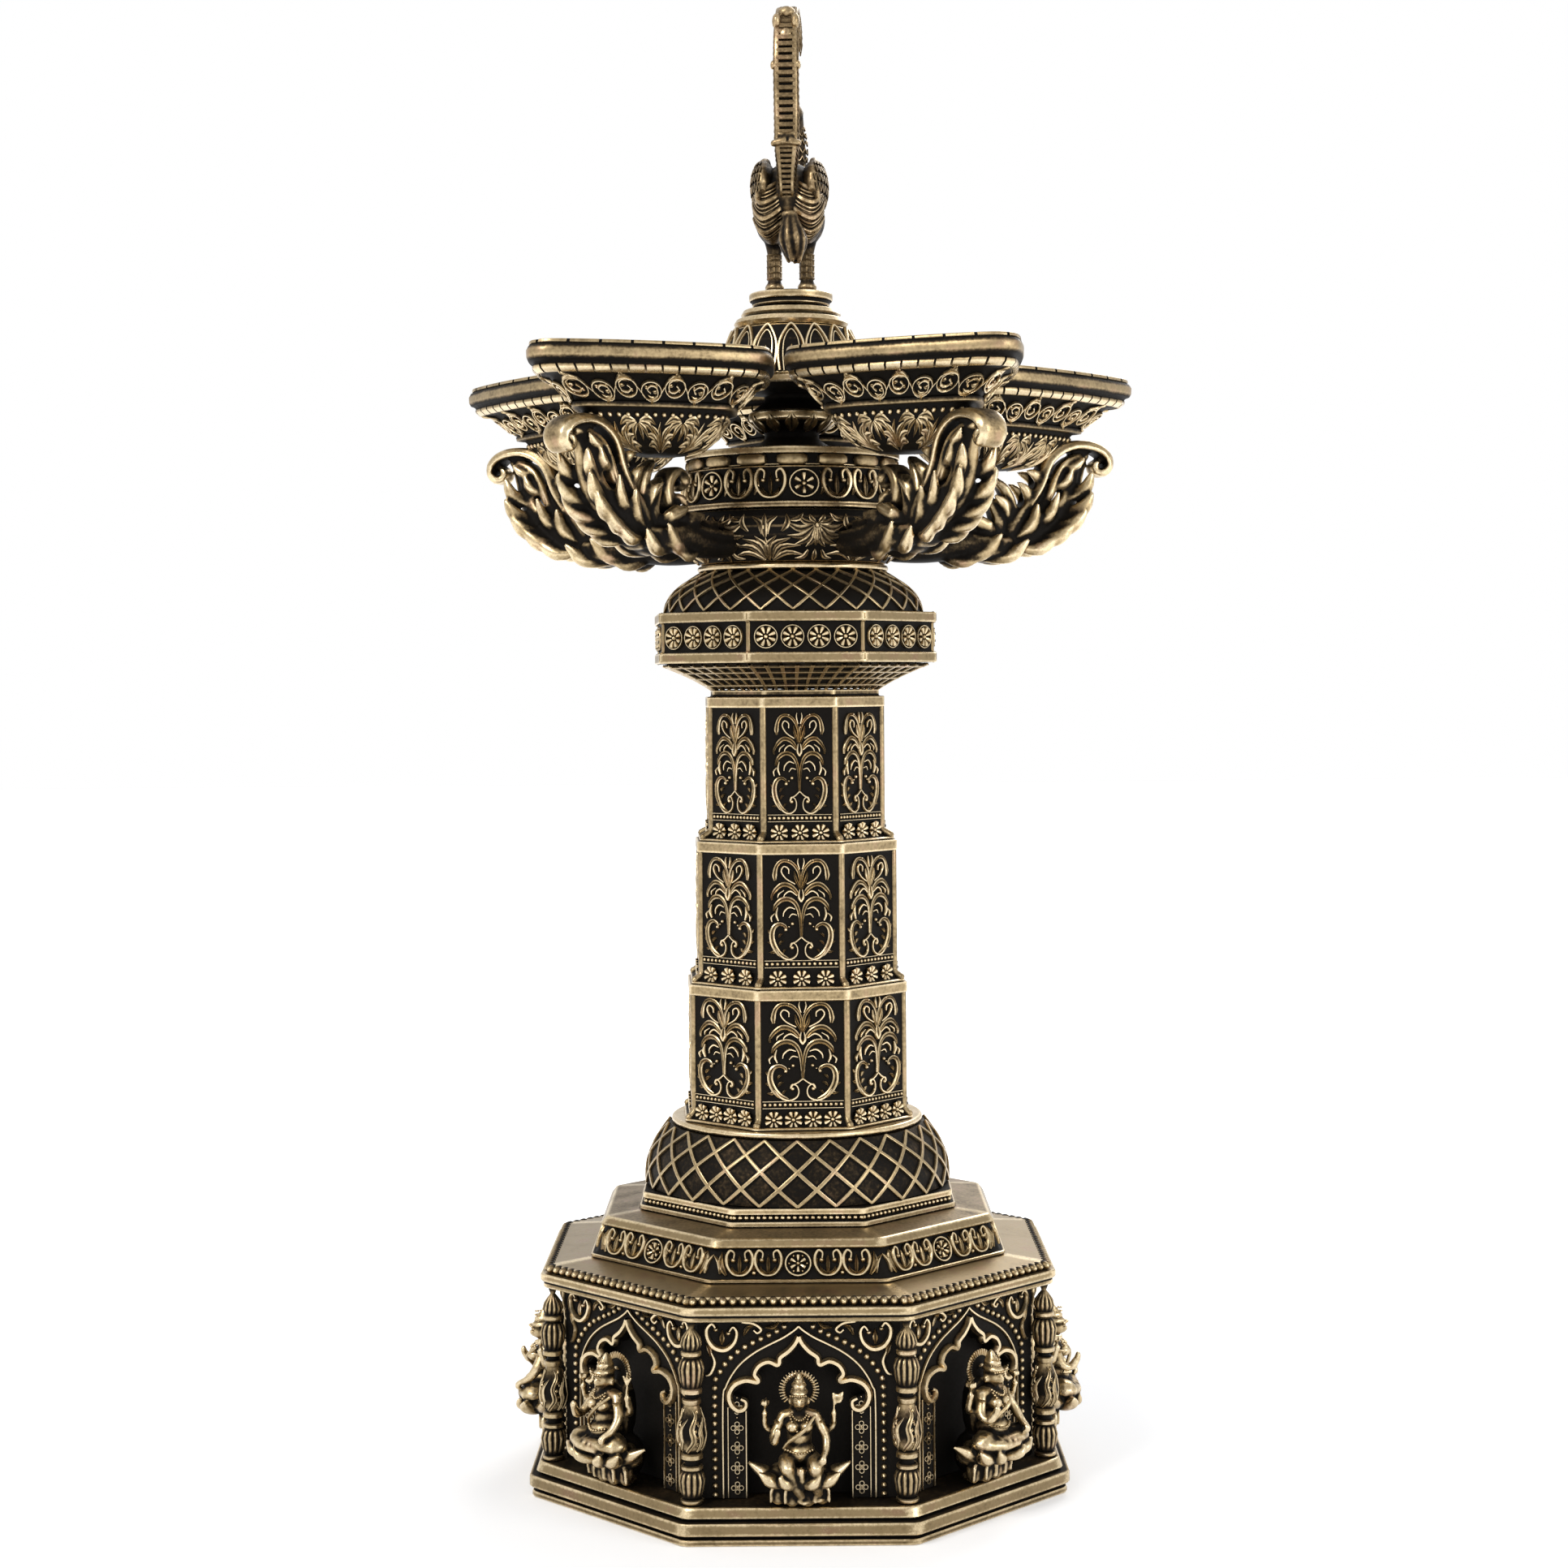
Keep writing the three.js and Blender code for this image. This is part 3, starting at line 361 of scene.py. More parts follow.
@dataclass(frozen=True)
class Facet:
    """A flat face of an octagonal casting, which may lean inwards.

    Attributes:
        azimuth: direction that the face looks in, degrees from the front.
        low: distance from the axis and level of the panel's zero line.
        high: distance and level at the face's top.
    """

    azimuth: float
    low: Pair
    high: Pair

    def place(self, points: Array) -> Array:
        """Returns panel points as points of the row frame, in millimetres."""
        out, right = compass(self.azimuth)
        lean, rise = self.high[0] - self.low[0], self.high[1] - self.low[1]
        length = math.hypot(lean, rise)
        reach = self.low[0] + points[:, 1] * lean / length + points[:, 2] * rise / length
        height = self.low[1] + points[:, 1] * rise / length - points[:, 2] * lean / length
        plan = out * reach[:, None] + right * points[:, :1]
        return np.column_stack([plan, height])


@dataclass(frozen=True)
class Revolved:
    """A turned surface that follows a profile.

    Attributes:
        azimuth: direction of the panel's middle line, degrees from the front.
        profile: radius and level pairs, upwards.
        gauge: radius at which a width across keeps its size.
        step: distance to the two points that give the slope.
    """

    azimuth: float
    profile: tuple[Pair, ...]
    gauge: float
    step: float = 0.4

    def place(self, points: Array) -> Array:
        """Returns panel points as points of the row frame, in millimetres."""
        line = np.array(self.profile, float)
        run, up = run_of(line), points[:, 1]
        slope = unit(sampled(line, run, up + self.step) - sampled(line, run, up - self.step))
        radius, height = (sampled(line, run, up) + points[:, 2:] * slope[:, ::-1] * (1, -1)).T
        angle = math.radians(self.azimuth) + points[:, 0] / self.gauge
        return np.column_stack([radius * np.sin(angle), -radius * np.cos(angle), height])


# Castings


def octagon(chamfer: float = 0.012) -> tuple[Array, Array]:
    """Returns a unit octagon with chamfered corners, and the tone added at each of its points."""
    points, lift = [], []
    corners = [compass((k + 0.5) * FACET_ANGLE)[0] for k in range(SIDES)]
    for k, corner in enumerate(corners):
        before = corners[k - 1] - corner
        after = corners[(k + 1) % SIDES] - corner
        for side, cut, tone in ((before, 3.5, 0), (before, 1, 0.35), (after, 1, 0.35), (after, 3.5, 0)):
            points.append(corner + side / np.linalg.norm(side) * chamfer * cut)
            lift.append(tone)
    return np.array(points), np.array(lift)


def circle(samples: int = 96) -> tuple[Array, Array]:
    """Returns a unit circle and the tone added at each of its points."""
    turn = np.linspace(0, 2 * math.pi, samples, endpoint=False)
    return np.column_stack([np.sin(turn), -np.cos(turn)]), np.zeros(samples)


def eased(corners: Sequence[Corner], ease: float) -> tuple[Array, Array]:
    """Breaks the corners of a closed profile, bright where they stand out and dark where they lie in.

    Args:
        corners: radius, level, and tone of the stretch that follows.
        ease: size of the broken edge.

    Returns:
        The points, and their tones.
    """
    points, tones = [], []
    for k, (radius, height, tone) in enumerate(corners):
        here = np.array([radius, height])
        before = np.array(corners[k - 1][:2]) - here
        after = np.array(corners[(k + 1) % len(corners)][:2]) - here
        room_before, room_after = np.linalg.norm(before), np.linalg.norm(after)
        turn = before[0] * after[1] - before[1] * after[0]
        sharp = abs(turn) / (room_before * room_after + 1e-9)
        edge = EDGE if turn < 0 else PIT
        edge_share = min(1, sharp * 1.4)
        reach = 1 if turn < 0 else 1.6
        for side, room, cut, own, share in (
            (before, room_before, 3.2 * reach, corners[k - 1][2], 0),
            (before, room_before, reach, corners[k - 1][2], edge_share),
            (after, room_after, reach, tone, edge_share),
            (after, room_after, 3.2 * reach, tone, 0),
        ):
            distance = min(ease * cut, room * (0.42 if cut > 2 else 0.2))
            points.append(here + side / (room + 1e-9) * distance)
            tones.append(own * (1 - share) + edge * share)
    return np.array(points), np.array(tones)


@dataclass
class Sculpt:
    """One cast piece: patches in the row frame, in millimetres."""

    patches: list[Patch] = field(default_factory=list)

    def lay(self, panel: Panel, skin: Skin) -> None:
        """Adds a panel's ornament on a skin."""
        self.patches.extend(panel.on(skin))

    def lay_round(self, panel: Panel, low: Pair, high: Pair) -> None:
        """Adds a panel's ornament on all eight faces, from one corner radius and level to another."""
        for azimuth in facets():
            self.lay(panel, Facet(azimuth, (low[0] * FLAT, low[1]), (high[0] * FLAT, high[1])))

    def bar(self, line: Sequence[Corner], radii: Sequence[float], around: int, steps: int,
            square: float = 1.0) -> None:
        """Adds a rod of plain tone."""
        made = rod(line, radii, around, steps, square=square)
        made.tones[:] = PLAIN
        self.patches.append(made)

    def casting(self, corners: Sequence[Corner], outline: tuple[Array, Array], ease: float = 0.35,
                azimuth: float = 0.0) -> None:
        """Adds a body whose closed profile is carried round an outline.

        Args:
            corners: radius, level, and tone of the stretch that follows.
            outline: unit outline with its added tones.
            ease: size of the broken edges.
            azimuth: turn of the outline, degrees.
        """
        line, tones = eased(corners, ease)
        line, tones = np.vstack([line, line[:1]]), np.append(tones, tones[0])
        shape, lift = outline
        out, right = compass(azimuth)
        plan = shape[:, :1] * right - shape[:, 1:] * out
        grid = np.zeros((len(line), len(plan), 3))
        grid[..., :2] = line[:, None, :1] * plan[None]
        grid[..., 2] = line[:, None, 1]
        shade = np.clip(tones[:, None] + lift[None] * (tones[:, None] > SHADE), 0, 1)
        self.patches.append(Patch(grid, shade, True))

    def build(self, name: str, finish: "Finish", body: str, slot: str, node: str | None = None) -> None:
        """Makes the Blender object and puts it on its body.

        Args:
            name: name of the piece.
            finish: surface that it gets.
            body: moving body that carries it.
            slot: material slot that it belongs to; not used.
            node: solid that it stands for.
        """
        mount(linked(name, patch_mesh(name, self.patches, finish)), body, node)


def linked(name: str, data: bpy.types.ID) -> bpy.types.Object:
    """Makes an object of some data and links it to the scene."""
    made = bpy.data.objects.new(name, data)
    bpy.context.scene.collection.objects.link(made)
    return made


def mount(piece: bpy.types.Object, body: str, node: str | None) -> None:
    """Puts a piece on its body, and in the place of its solid."""
    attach(piece, body)
    if node:
        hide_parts(node)
    log.info("%s: %d faces on %s", piece.name, len(piece.data.polygons), body)


def free_mesh(name: str, points: Array, quads: Array, tones: Array, finish: "Finish") -> bpy.types.Mesh:
    """Makes a smooth mesh with a relief attribute and a finish.

    Args:
        name: name of the mesh.
        points: one row each, in millimetres.
        quads: four point numbers for each face.
        tones: relief tone of each point.
        finish: surface that it gets.

    Returns:
        The mesh.
    """
    mesh = bpy.data.meshes.new(name)
    mesh.vertices.add(len(points))
    mesh.vertices.foreach_set("co", (points * METRES_PER_MM).astype(np.float32).ravel())
    mesh.loops.add(quads.size)
    mesh.loops.foreach_set("vertex_index", quads.astype(np.int32).ravel())
    mesh.polygons.add(len(quads))
    mesh.polygons.foreach_set("loop_start", np.arange(0, quads.size, 4, dtype=np.int32))
    mesh.update(calc_edges=True)
    relief = mesh.attributes.new("relief", "FLOAT", "POINT")
    relief.data.foreach_set("value", tones.astype(np.float32))
    mesh.validate()
    mesh.shade_smooth()
    mesh.materials.append(finish.material())
    return mesh


def patch_mesh(name: str, patches: Sequence[Patch], finish: "Finish") -> bpy.types.Mesh:
    """Joins patches into one welded mesh with sharp edges.

    Args:
        name: name of the mesh.
        patches: grids in millimetres.
        finish: surface that it gets.

    Returns:
        The mesh.
    """
    quads, start = [], 0
    for patch in patches:
        index = start + np.arange(patch.tones.size).reshape(patch.tones.shape)
        if patch.wraps:
            index = np.hstack([index, index[:, :1]])
        quads.append(np.stack([index[:-1, :-1], index[:-1, 1:], index[1:, 1:], index[1:, :-1]],
                              axis=-1).reshape(-1, 4))
        start += patch.tones.size
    points = np.vstack([patch.points.reshape(-1, 3) for patch in patches])
    tones = np.concatenate([patch.tones.ravel() for patch in patches])
    mesh = free_mesh(name, points, np.vstack(quads), tones, finish)
    weld(mesh)
    mesh.shade_smooth()
    mesh.set_sharp_from_angle(angle=SHARP_ANGLE)
    return mesh


def weld(mesh: bpy.types.Mesh) -> None:
    """Merges points that coincide and drops the faces that vanish with them."""
    work = bmesh.new()
    work.from_mesh(mesh)
    bmesh.ops.remove_doubles(work, verts=work.verts, dist=WELD_DISTANCE)
    bmesh.ops.dissolve_degenerate(work, dist=WELD_DISTANCE / 4, edges=work.edges)
    bmesh.ops.recalc_face_normals(work, faces=work.faces)
    work.to_mesh(mesh)
    work.free()


# Shading


class Graph:
    """The node tree of a material or a world, with one way to add any node."""

    def __init__(self, owner: bpy.types.Material | bpy.types.World) -> None:
        """Takes over and empties the node tree."""
        owner.use_nodes = True
        self.tree = owner.node_tree
        self.tree.nodes.clear()

    def node(self, kind: str, settings: dict | None = None, inputs: dict | None = None) -> bpy.types.Node:
        """Adds a node.

        Args:
            kind: the node's type name, without its ShaderNode prefix.
            settings: attributes, set first.
            inputs: socket name or number to a value, a Value or a socket.

        Returns:
            The node.
        """
        made = self.tree.nodes.new("ShaderNode" + kind)
        for key, value in (settings or {}).items():
            setattr(made, key, value)
        for key, value in (inputs or {}).items():
            socket = made.inputs[key]
            if isinstance(value, Value):
                self.tree.links.new(value.socket, socket)
            elif isinstance(value, bpy.types.NodeSocket):
                self.tree.links.new(value, socket)
            else:
                socket.default_value = value
        return made

    def value(self, made: bpy.types.Node, output: str | int = 0) -> "Value":
        """Returns a node's output as a value for expressions."""
        return Value(self, made.outputs[output])

    def mix(self, factor: "Value", first: "Colour | bpy.types.NodeSocket",
            second: "Colour | bpy.types.NodeSocket") -> bpy.types.NodeSocket:
        """Returns the blend of two colours."""
        ends = [(*end, 1) if isinstance(end, tuple) else end for end in (first, second)]
        made = self.node("Mix", {"data_type": "RGBA"}, {0: factor, 6: ends[0], 7: ends[1]})
        return made.outputs[2]


class Value:
    """A numeric socket whose arithmetic adds Math nodes."""

    def __init__(self, graph: Graph, socket: bpy.types.NodeSocket) -> None:
        """Wraps an output socket."""
        self.graph, self.socket = graph, socket

    def math(self, operation: str, *others: "Value | float", clamp: bool = False) -> "Value":
        """Adds one Math node with this value first."""
        inputs = dict(enumerate((self, *others)))
        made = self.graph.node("Math", {"operation": operation, "use_clamp": clamp}, inputs)
        return self.graph.value(made)

    def __add__(self, other: "Value | float") -> "Value":
        """Adds."""
        return self.math("ADD", other)

    def __mul__(self, other: "Value | float") -> "Value":
        """Multiplies."""
        return self.math("MULTIPLY", other)

    def __sub__(self, other: "Value | float") -> "Value":
        """Subtracts the other value."""
        return self.math("SUBTRACT", other)

    def __rsub__(self, other: float) -> "Value":
        """Subtracts this value from a number."""
        return self * -1 + other

    def between(self, low: float, high: float) -> "Value":
        """Maps low to high smoothly onto zero to one."""
        made = self.graph.node("MapRange", {"interpolation_type": "SMOOTHSTEP"},
                               {"Value": self, "From Min": low, "From Max": high})
        return self.graph.value(made)

    def clamped(self) -> "Value":
        """Limits the value to zero to one."""
        return self.math("ADD", 0, clamp=True)


@dataclass(frozen=True)
class Finish:
    """Antiqued brass: dark patina and painted shade in the hollows, rubbed metal with a painted highlight on
    what stands out.

    Attributes:
        name: name of the material.
        pit: colour deep in the hollows.
        patina_and_shade: brown between hollow and metal, patina with painted shade.
        metal: colour of the rubbed brass.
        wear_and_highlight: colour of the brightest edges, rubbed metal with a painted highlight.
        low: tone at which the stain starts.
        high: tone at which the metal is clean.
        roughness: of the clean metal.
        cloud: size of the broad changes of the patina, in millimetres.
        speck: size of its spots, in millimetres.
        grain: size of the casting grain, in millimetres.
        bump: depth of the grain, in millimetres.
        brushed: whether it also has fine strokes all round.
    """

    name: str
    pit: Colour = (0.006, 0.0045, 0.003)
    patina_and_shade: Colour = (0.085, 0.052, 0.022)
    metal: Colour = (0.41, 0.31, 0.17)
    wear_and_highlight: Colour = (0.76, 0.62, 0.40)
    low: float = 0.22
    high: float = 0.77
    roughness: float = 0.34
    cloud: float = 9.0
    speck: float = 1.1
    grain: float = 0.45
    bump: float = 0.035
    brushed: bool = False

    def material(self) -> bpy.types.Material:
        """Returns the material, made at its first use."""
        found = bpy.data.materials.get(self.name)
        if found is not None:
            return found
        material = bpy.data.materials.new(self.name)
        self.dress(Graph(material))
        return material

    def noise(self, graph: Graph, place: bpy.types.NodeSocket, size: float, detail: float = 3.0) -> Value:
        """Adds a noise whose features are a size in millimetres."""
        scale = 1 / (size * METRES_PER_MM)
        made = graph.node("TexNoise", None, {"Vector": place, "Scale": scale, "Detail": detail})
        return graph.value(made)

    def dress(self, graph: Graph) -> None:
        """Builds the nodes of the finish."""
        place = graph.node("TexCoord").outputs["Object"]
        relief = graph.value(graph.node("Attribute", {"attribute_name": "relief"}), "Fac")
        cloud = self.noise(graph, place, self.cloud)
        speck = self.noise(graph, place, self.speck, 4)
        grain = self.noise(graph, place, self.grain, 2)
        tone = relief + (cloud - 0.5) * 0.35 + (speck - 0.5) * 0.4
        metal = tone.between(self.low, self.high)
        # Painted highlight on rubbed metal: the highest tones take the lighter colour.
        wear_and_highlight = (tone + (grain - 0.5) * 0.3).between(0.72, 1.12)
        blush = cloud.between(0.52, 0.72)
        # Painted shade with patina: the hollows blend from the pit colour through the shade brown towards the
        # metal.
        brown = graph.mix(metal, self.pit, self.patina_and_shade)
        warm = graph.mix(blush, self.metal, self.blushed())
        gold = graph.mix(metal * metal, brown, warm)
        colour = graph.mix(wear_and_highlight, gold, self.wear_and_highlight)
        rough = (1 - metal) * 0.28 + self.roughness + (speck - 0.5) * 0.22 - wear_and_highlight * 0.08
        height = grain * 0.6 + speck * 0.8
        if self.brushed:
            stretch = graph.node("Mapping", None, {"Vector": place, "Scale": (1, 1, 14)})
            height = height + self.noise(graph, stretch.outputs[0], 2.2, 2) * 0.8
        bump = graph.node("Bump", None, {"Height": height, "Distance": self.bump * METRES_PER_MM,
                                         "Strength": 0.8})
        shader = graph.node("BsdfPrincipled", None, {
            "Base Color": colour, "Metallic": metal * 0.75 + 0.25,
            "Roughness": rough, "Normal": bump.outputs[0], "Specular IOR Level": 0.12,
        })
        graph.node("OutputMaterial", None, {"Surface": shader.outputs[0]})

    def blushed(self) -> Colour:
        """Returns the metal's colour where the patina turns it pink."""
        red, green, blue = self.metal
        return red * 0.94, green * 0.83, blue * 0.92


CAST = Finish("antique_cast_brass")
SLAB = Finish("antique_brushed_brass", metal=(0.27, 0.2, 0.105), wear_and_highlight=(0.72, 0.58, 0.36),
              low=0.12, high=0.7, roughness=0.36, brushed=True)
# A darker copy of the cast brass, painted shade: the urn pieces under the oil bowls and the bird take it.
SHADED_BRASS = Finish("shaded_cast_brass", patina_and_shade=(0.07, 0.045, 0.022), metal=(0.31, 0.22, 0.115),
                wear_and_highlight=(0.68, 0.54, 0.33), low=0.26, high=0.94)
SHEET = Finish("sheet_brass", low=-0.9, high=-0.4, metal=(0.44, 0.32, 0.16), bump=0.01)
# Near-black wall behind the drum relief: patina with painted shade in the niches.
DARK = Finish("shaded_patina_wall", pit=(0.012, 0.010, 0.008), low=0.4, high=0.9, roughness=0.4)
STEEL = Finish("plated_steel", low=-0.9, high=-0.4, metal=(0.5, 0.5, 0.49), wear_and_highlight=(0.62, 0.62, 0.6),
               roughness=0.3, bump=0.01)


# Round forms


def blob(centre: Sequence[float], size: Sequence[float], around: int = 14, rings: int = 9) -> Patch:
    """Returns an ellipsoid with its full sizes across, up and out."""
    lift = np.linspace(-math.pi / 2, math.pi / 2, rings)
    turn = np.linspace(0, 2 * math.pi, around, endpoint=False)
    grid = np.zeros((rings, around, 3))
    ring = np.cos(lift)
    ring[0] = ring[-1] = 0
    grid[..., 0] = centre[0] + size[0] / 2 * ring[:, None] * np.cos(turn)
    grid[..., 1] = centre[1] + size[1] / 2 * np.sin(lift)[:, None]
    grid[..., 2] = centre[2] - size[2] / 2 * ring[:, None] * np.sin(turn)
    return Patch(grid, np.full(grid.shape[:2], float(BRIGHT)), True)


ROD_END_RISES = (0.7, 1)


def rod(points: Sequence[Sequence[float]], radii: Sequence[float], around: int = 8,
        steps: int = 4, flatten: float = 1.0, square: float = 1.0) -> Patch:
    """Returns a tube with round ends along a curve.

    Args:
        points: control points with three coordinates.
        radii: radii, spread evenly along the tube.
        around: samples round the tube.
        steps: samples for each stretch.
        flatten: share of the radius kept in the direction out of the panel.
        square: one for a round section, less for a squarer one.

    Returns:
        The closed tube.
    """
    curve = smooth(points, steps)
    radius = np.interp(np.linspace(0, 1, len(curve)), np.linspace(0, 1, len(radii)), radii)
    ahead = unit(np.gradient(curve, axis=0))

    def end_rows(end: int, facing: int) -> list[tuple[Array, float, Array]]:
        """Returns the rows that round off an end, outwards."""
        return [(curve[end] + ahead[end] * radius[end] * rise * facing,
                 radius[end] * math.sqrt(1 - rise * rise), ahead[end]) for rise in ROD_END_RISES]

    rows = end_rows(0, -1)[::-1] + list(zip(curve, radius, ahead)) + end_rows(-1, 1)
    outward = np.array([0.0, 0.0, 1.0])
    turn = np.linspace(0, 2 * math.pi, around, endpoint=False)
    wide, high = (np.sign(part) * np.abs(part) ** square for part in (np.cos(turn), np.sin(turn)))
    grid = np.zeros((len(rows), around, 3))
    for k, (centre, size, direction) in enumerate(rows):
        side = np.cross(direction, outward)
        if np.linalg.norm(side) < 0.05:
            side = np.cross(direction, (0, 1, 0))
        side /= np.linalg.norm(side)
        lift = np.cross(side, direction)
        grid[k] = centre + size * (wide[:, None] * side + high[:, None] * lift * flatten)
    return Patch(grid, np.full(grid.shape[:2], float(BRIGHT)), True)


def fused(patches: Sequence[Patch], voxel: float, passes: int = 3) -> tuple[Array, Array, Array]:
    """Melts overlapping closed patches into one smooth skin.

    Args:
        patches: closed grids in millimetres.
        voxel: size of the remesh, in millimetres.
        passes: smoothing passes.

    Returns:
        Points in millimetres, quads, and a tone that darkens the hollows.
    """
    raw = linked("fused_form", patch_mesh("fused_form", patches, CAST))
    remesh = raw.modifiers.new("melt", "REMESH")
    remesh.mode, remesh.voxel_size = "VOXEL", voxel * METRES_PER_MM
    relax = raw.modifiers.new("relax", "SMOOTH")
    relax.factor, relax.iterations = 0.5, passes
    graph = bpy.context.evaluated_depsgraph_get()
    made = bpy.data.meshes.new_from_object(raw.evaluated_get(graph))
    points = read_rows(made.vertices, "co", 3) / METRES_PER_MM
    normals = read_rows(made.vertices, "normal", 3)
    edges = read_rows(made.edges, "vertices", 2, np.int32)
    quads = np.array([tuple(face.vertices) for face in made.polygons if len(face.vertices) == 4])
    bpy.data.objects.remove(raw)
    bpy.data.meshes.remove(made)
    return points, quads, hollow_tone(points, normals, edges, voxel)


def read_rows(elements: Sequence, key: str, width: int, kind: type = float) -> Array:
    """Reads one property of a mesh's elements, a row for each."""
    values = np.zeros(len(elements) * width, kind)
    elements.foreach_get(key, values)
    return values.reshape(-1, width)


NEAR_PASSES = 6
WIDE_PASSES = 24
FLAT_TONE = 0.42


def hollow_tone(points: Array, normals: Array, edges: Array, voxel: float) -> Array:
    """Finds a tone for each point: dark in hollows, as patina and painted shade, bright on ridges.

    Args:
        points: one row each, in millimetres.
        normals: direction out of the skin at each point.
        edges: two point numbers for each edge.
        voxel: size of the remesh, in millimetres.

    Returns:
        The tones.
    """
    ends = np.concatenate([edges[:, 0], edges[:, 1]])
    others = np.concatenate([edges[:, 1], edges[:, 0]])
    count = np.maximum(np.bincount(ends, minlength=len(points)), 1)

    def spread(values: Array, times: int) -> Array:
        """Averages values over neighbours a number of times."""
        for _ in range(times):
            sums = [np.bincount(ends, column[others], len(points)) for column in values.T]
            values = np.column_stack([total / count for total in sums])
        return values

    near = spread(points, NEAR_PASSES)
    wide = spread(near, WIDE_PASSES)
    fine = np.einsum("ij,ij->i", points - near, normals) / voxel
    broad = np.einsum("ij,ij->i", points - wide, normals) / voxel
    return np.clip(FLAT_TONE + fine * 0.95 + broad * 0.16, 0, 1)


OCTAGON = octagon()
CIRCLE = circle()


def facets(offset: float = 0.0) -> list[float]:
    """Returns the azimuths of the eight faces of a casting turned by an offset."""
    return [offset + k * FACET_ANGLE for k in range(SIDES)]


# Base


@dataclass
class Foot:
    """The octagonal plinth moulding that the lamp stands on."""

    lip: Pair = (97.3, 1.9)
    groove: Pair = (95.6, 3.4)
    band: Pair = (98.3, 7.3)
    cove: Pair = (94.3, 8.1)
    fillet: Pair = (96, 11.5)
    ledge: float = 94.7
    ledge_inner: float = 72.0
    ledge_thickness: float = 3.0
    inner: float = 91.0

    def build(self) -> None:
        """Builds the foot."""
        sculpt = Sculpt()
        sculpt.casting([
            (self.lip[0], 0, WORN), (self.lip[0], self.lip[1], SHADE),
            (self.groove[0], self.lip[1], PIT), (self.groove[0], self.groove[1], SHADE),
            (self.band[0], self.groove[1], PLAIN), (self.band[0], self.band[1], SHADE),
            (self.cove[0], self.band[1], PIT), (self.cove[0], self.cove[1], SHADE),
            (self.fillet[0], self.cove[1], PLAIN), (self.ledge, self.fillet[1], SHADE),
            (self.ledge_inner, self.fillet[1], PIT),
            (self.ledge_inner, self.fillet[1] - self.ledge_thickness, PIT),
            (self.inner, self.fillet[1] - self.ledge_thickness, PIT), (self.inner, 0, SHADE),
        ], OCTAGON)
        sculpt.build("foot_casting", SLAB, "base", "turned_brass", "base_foot")


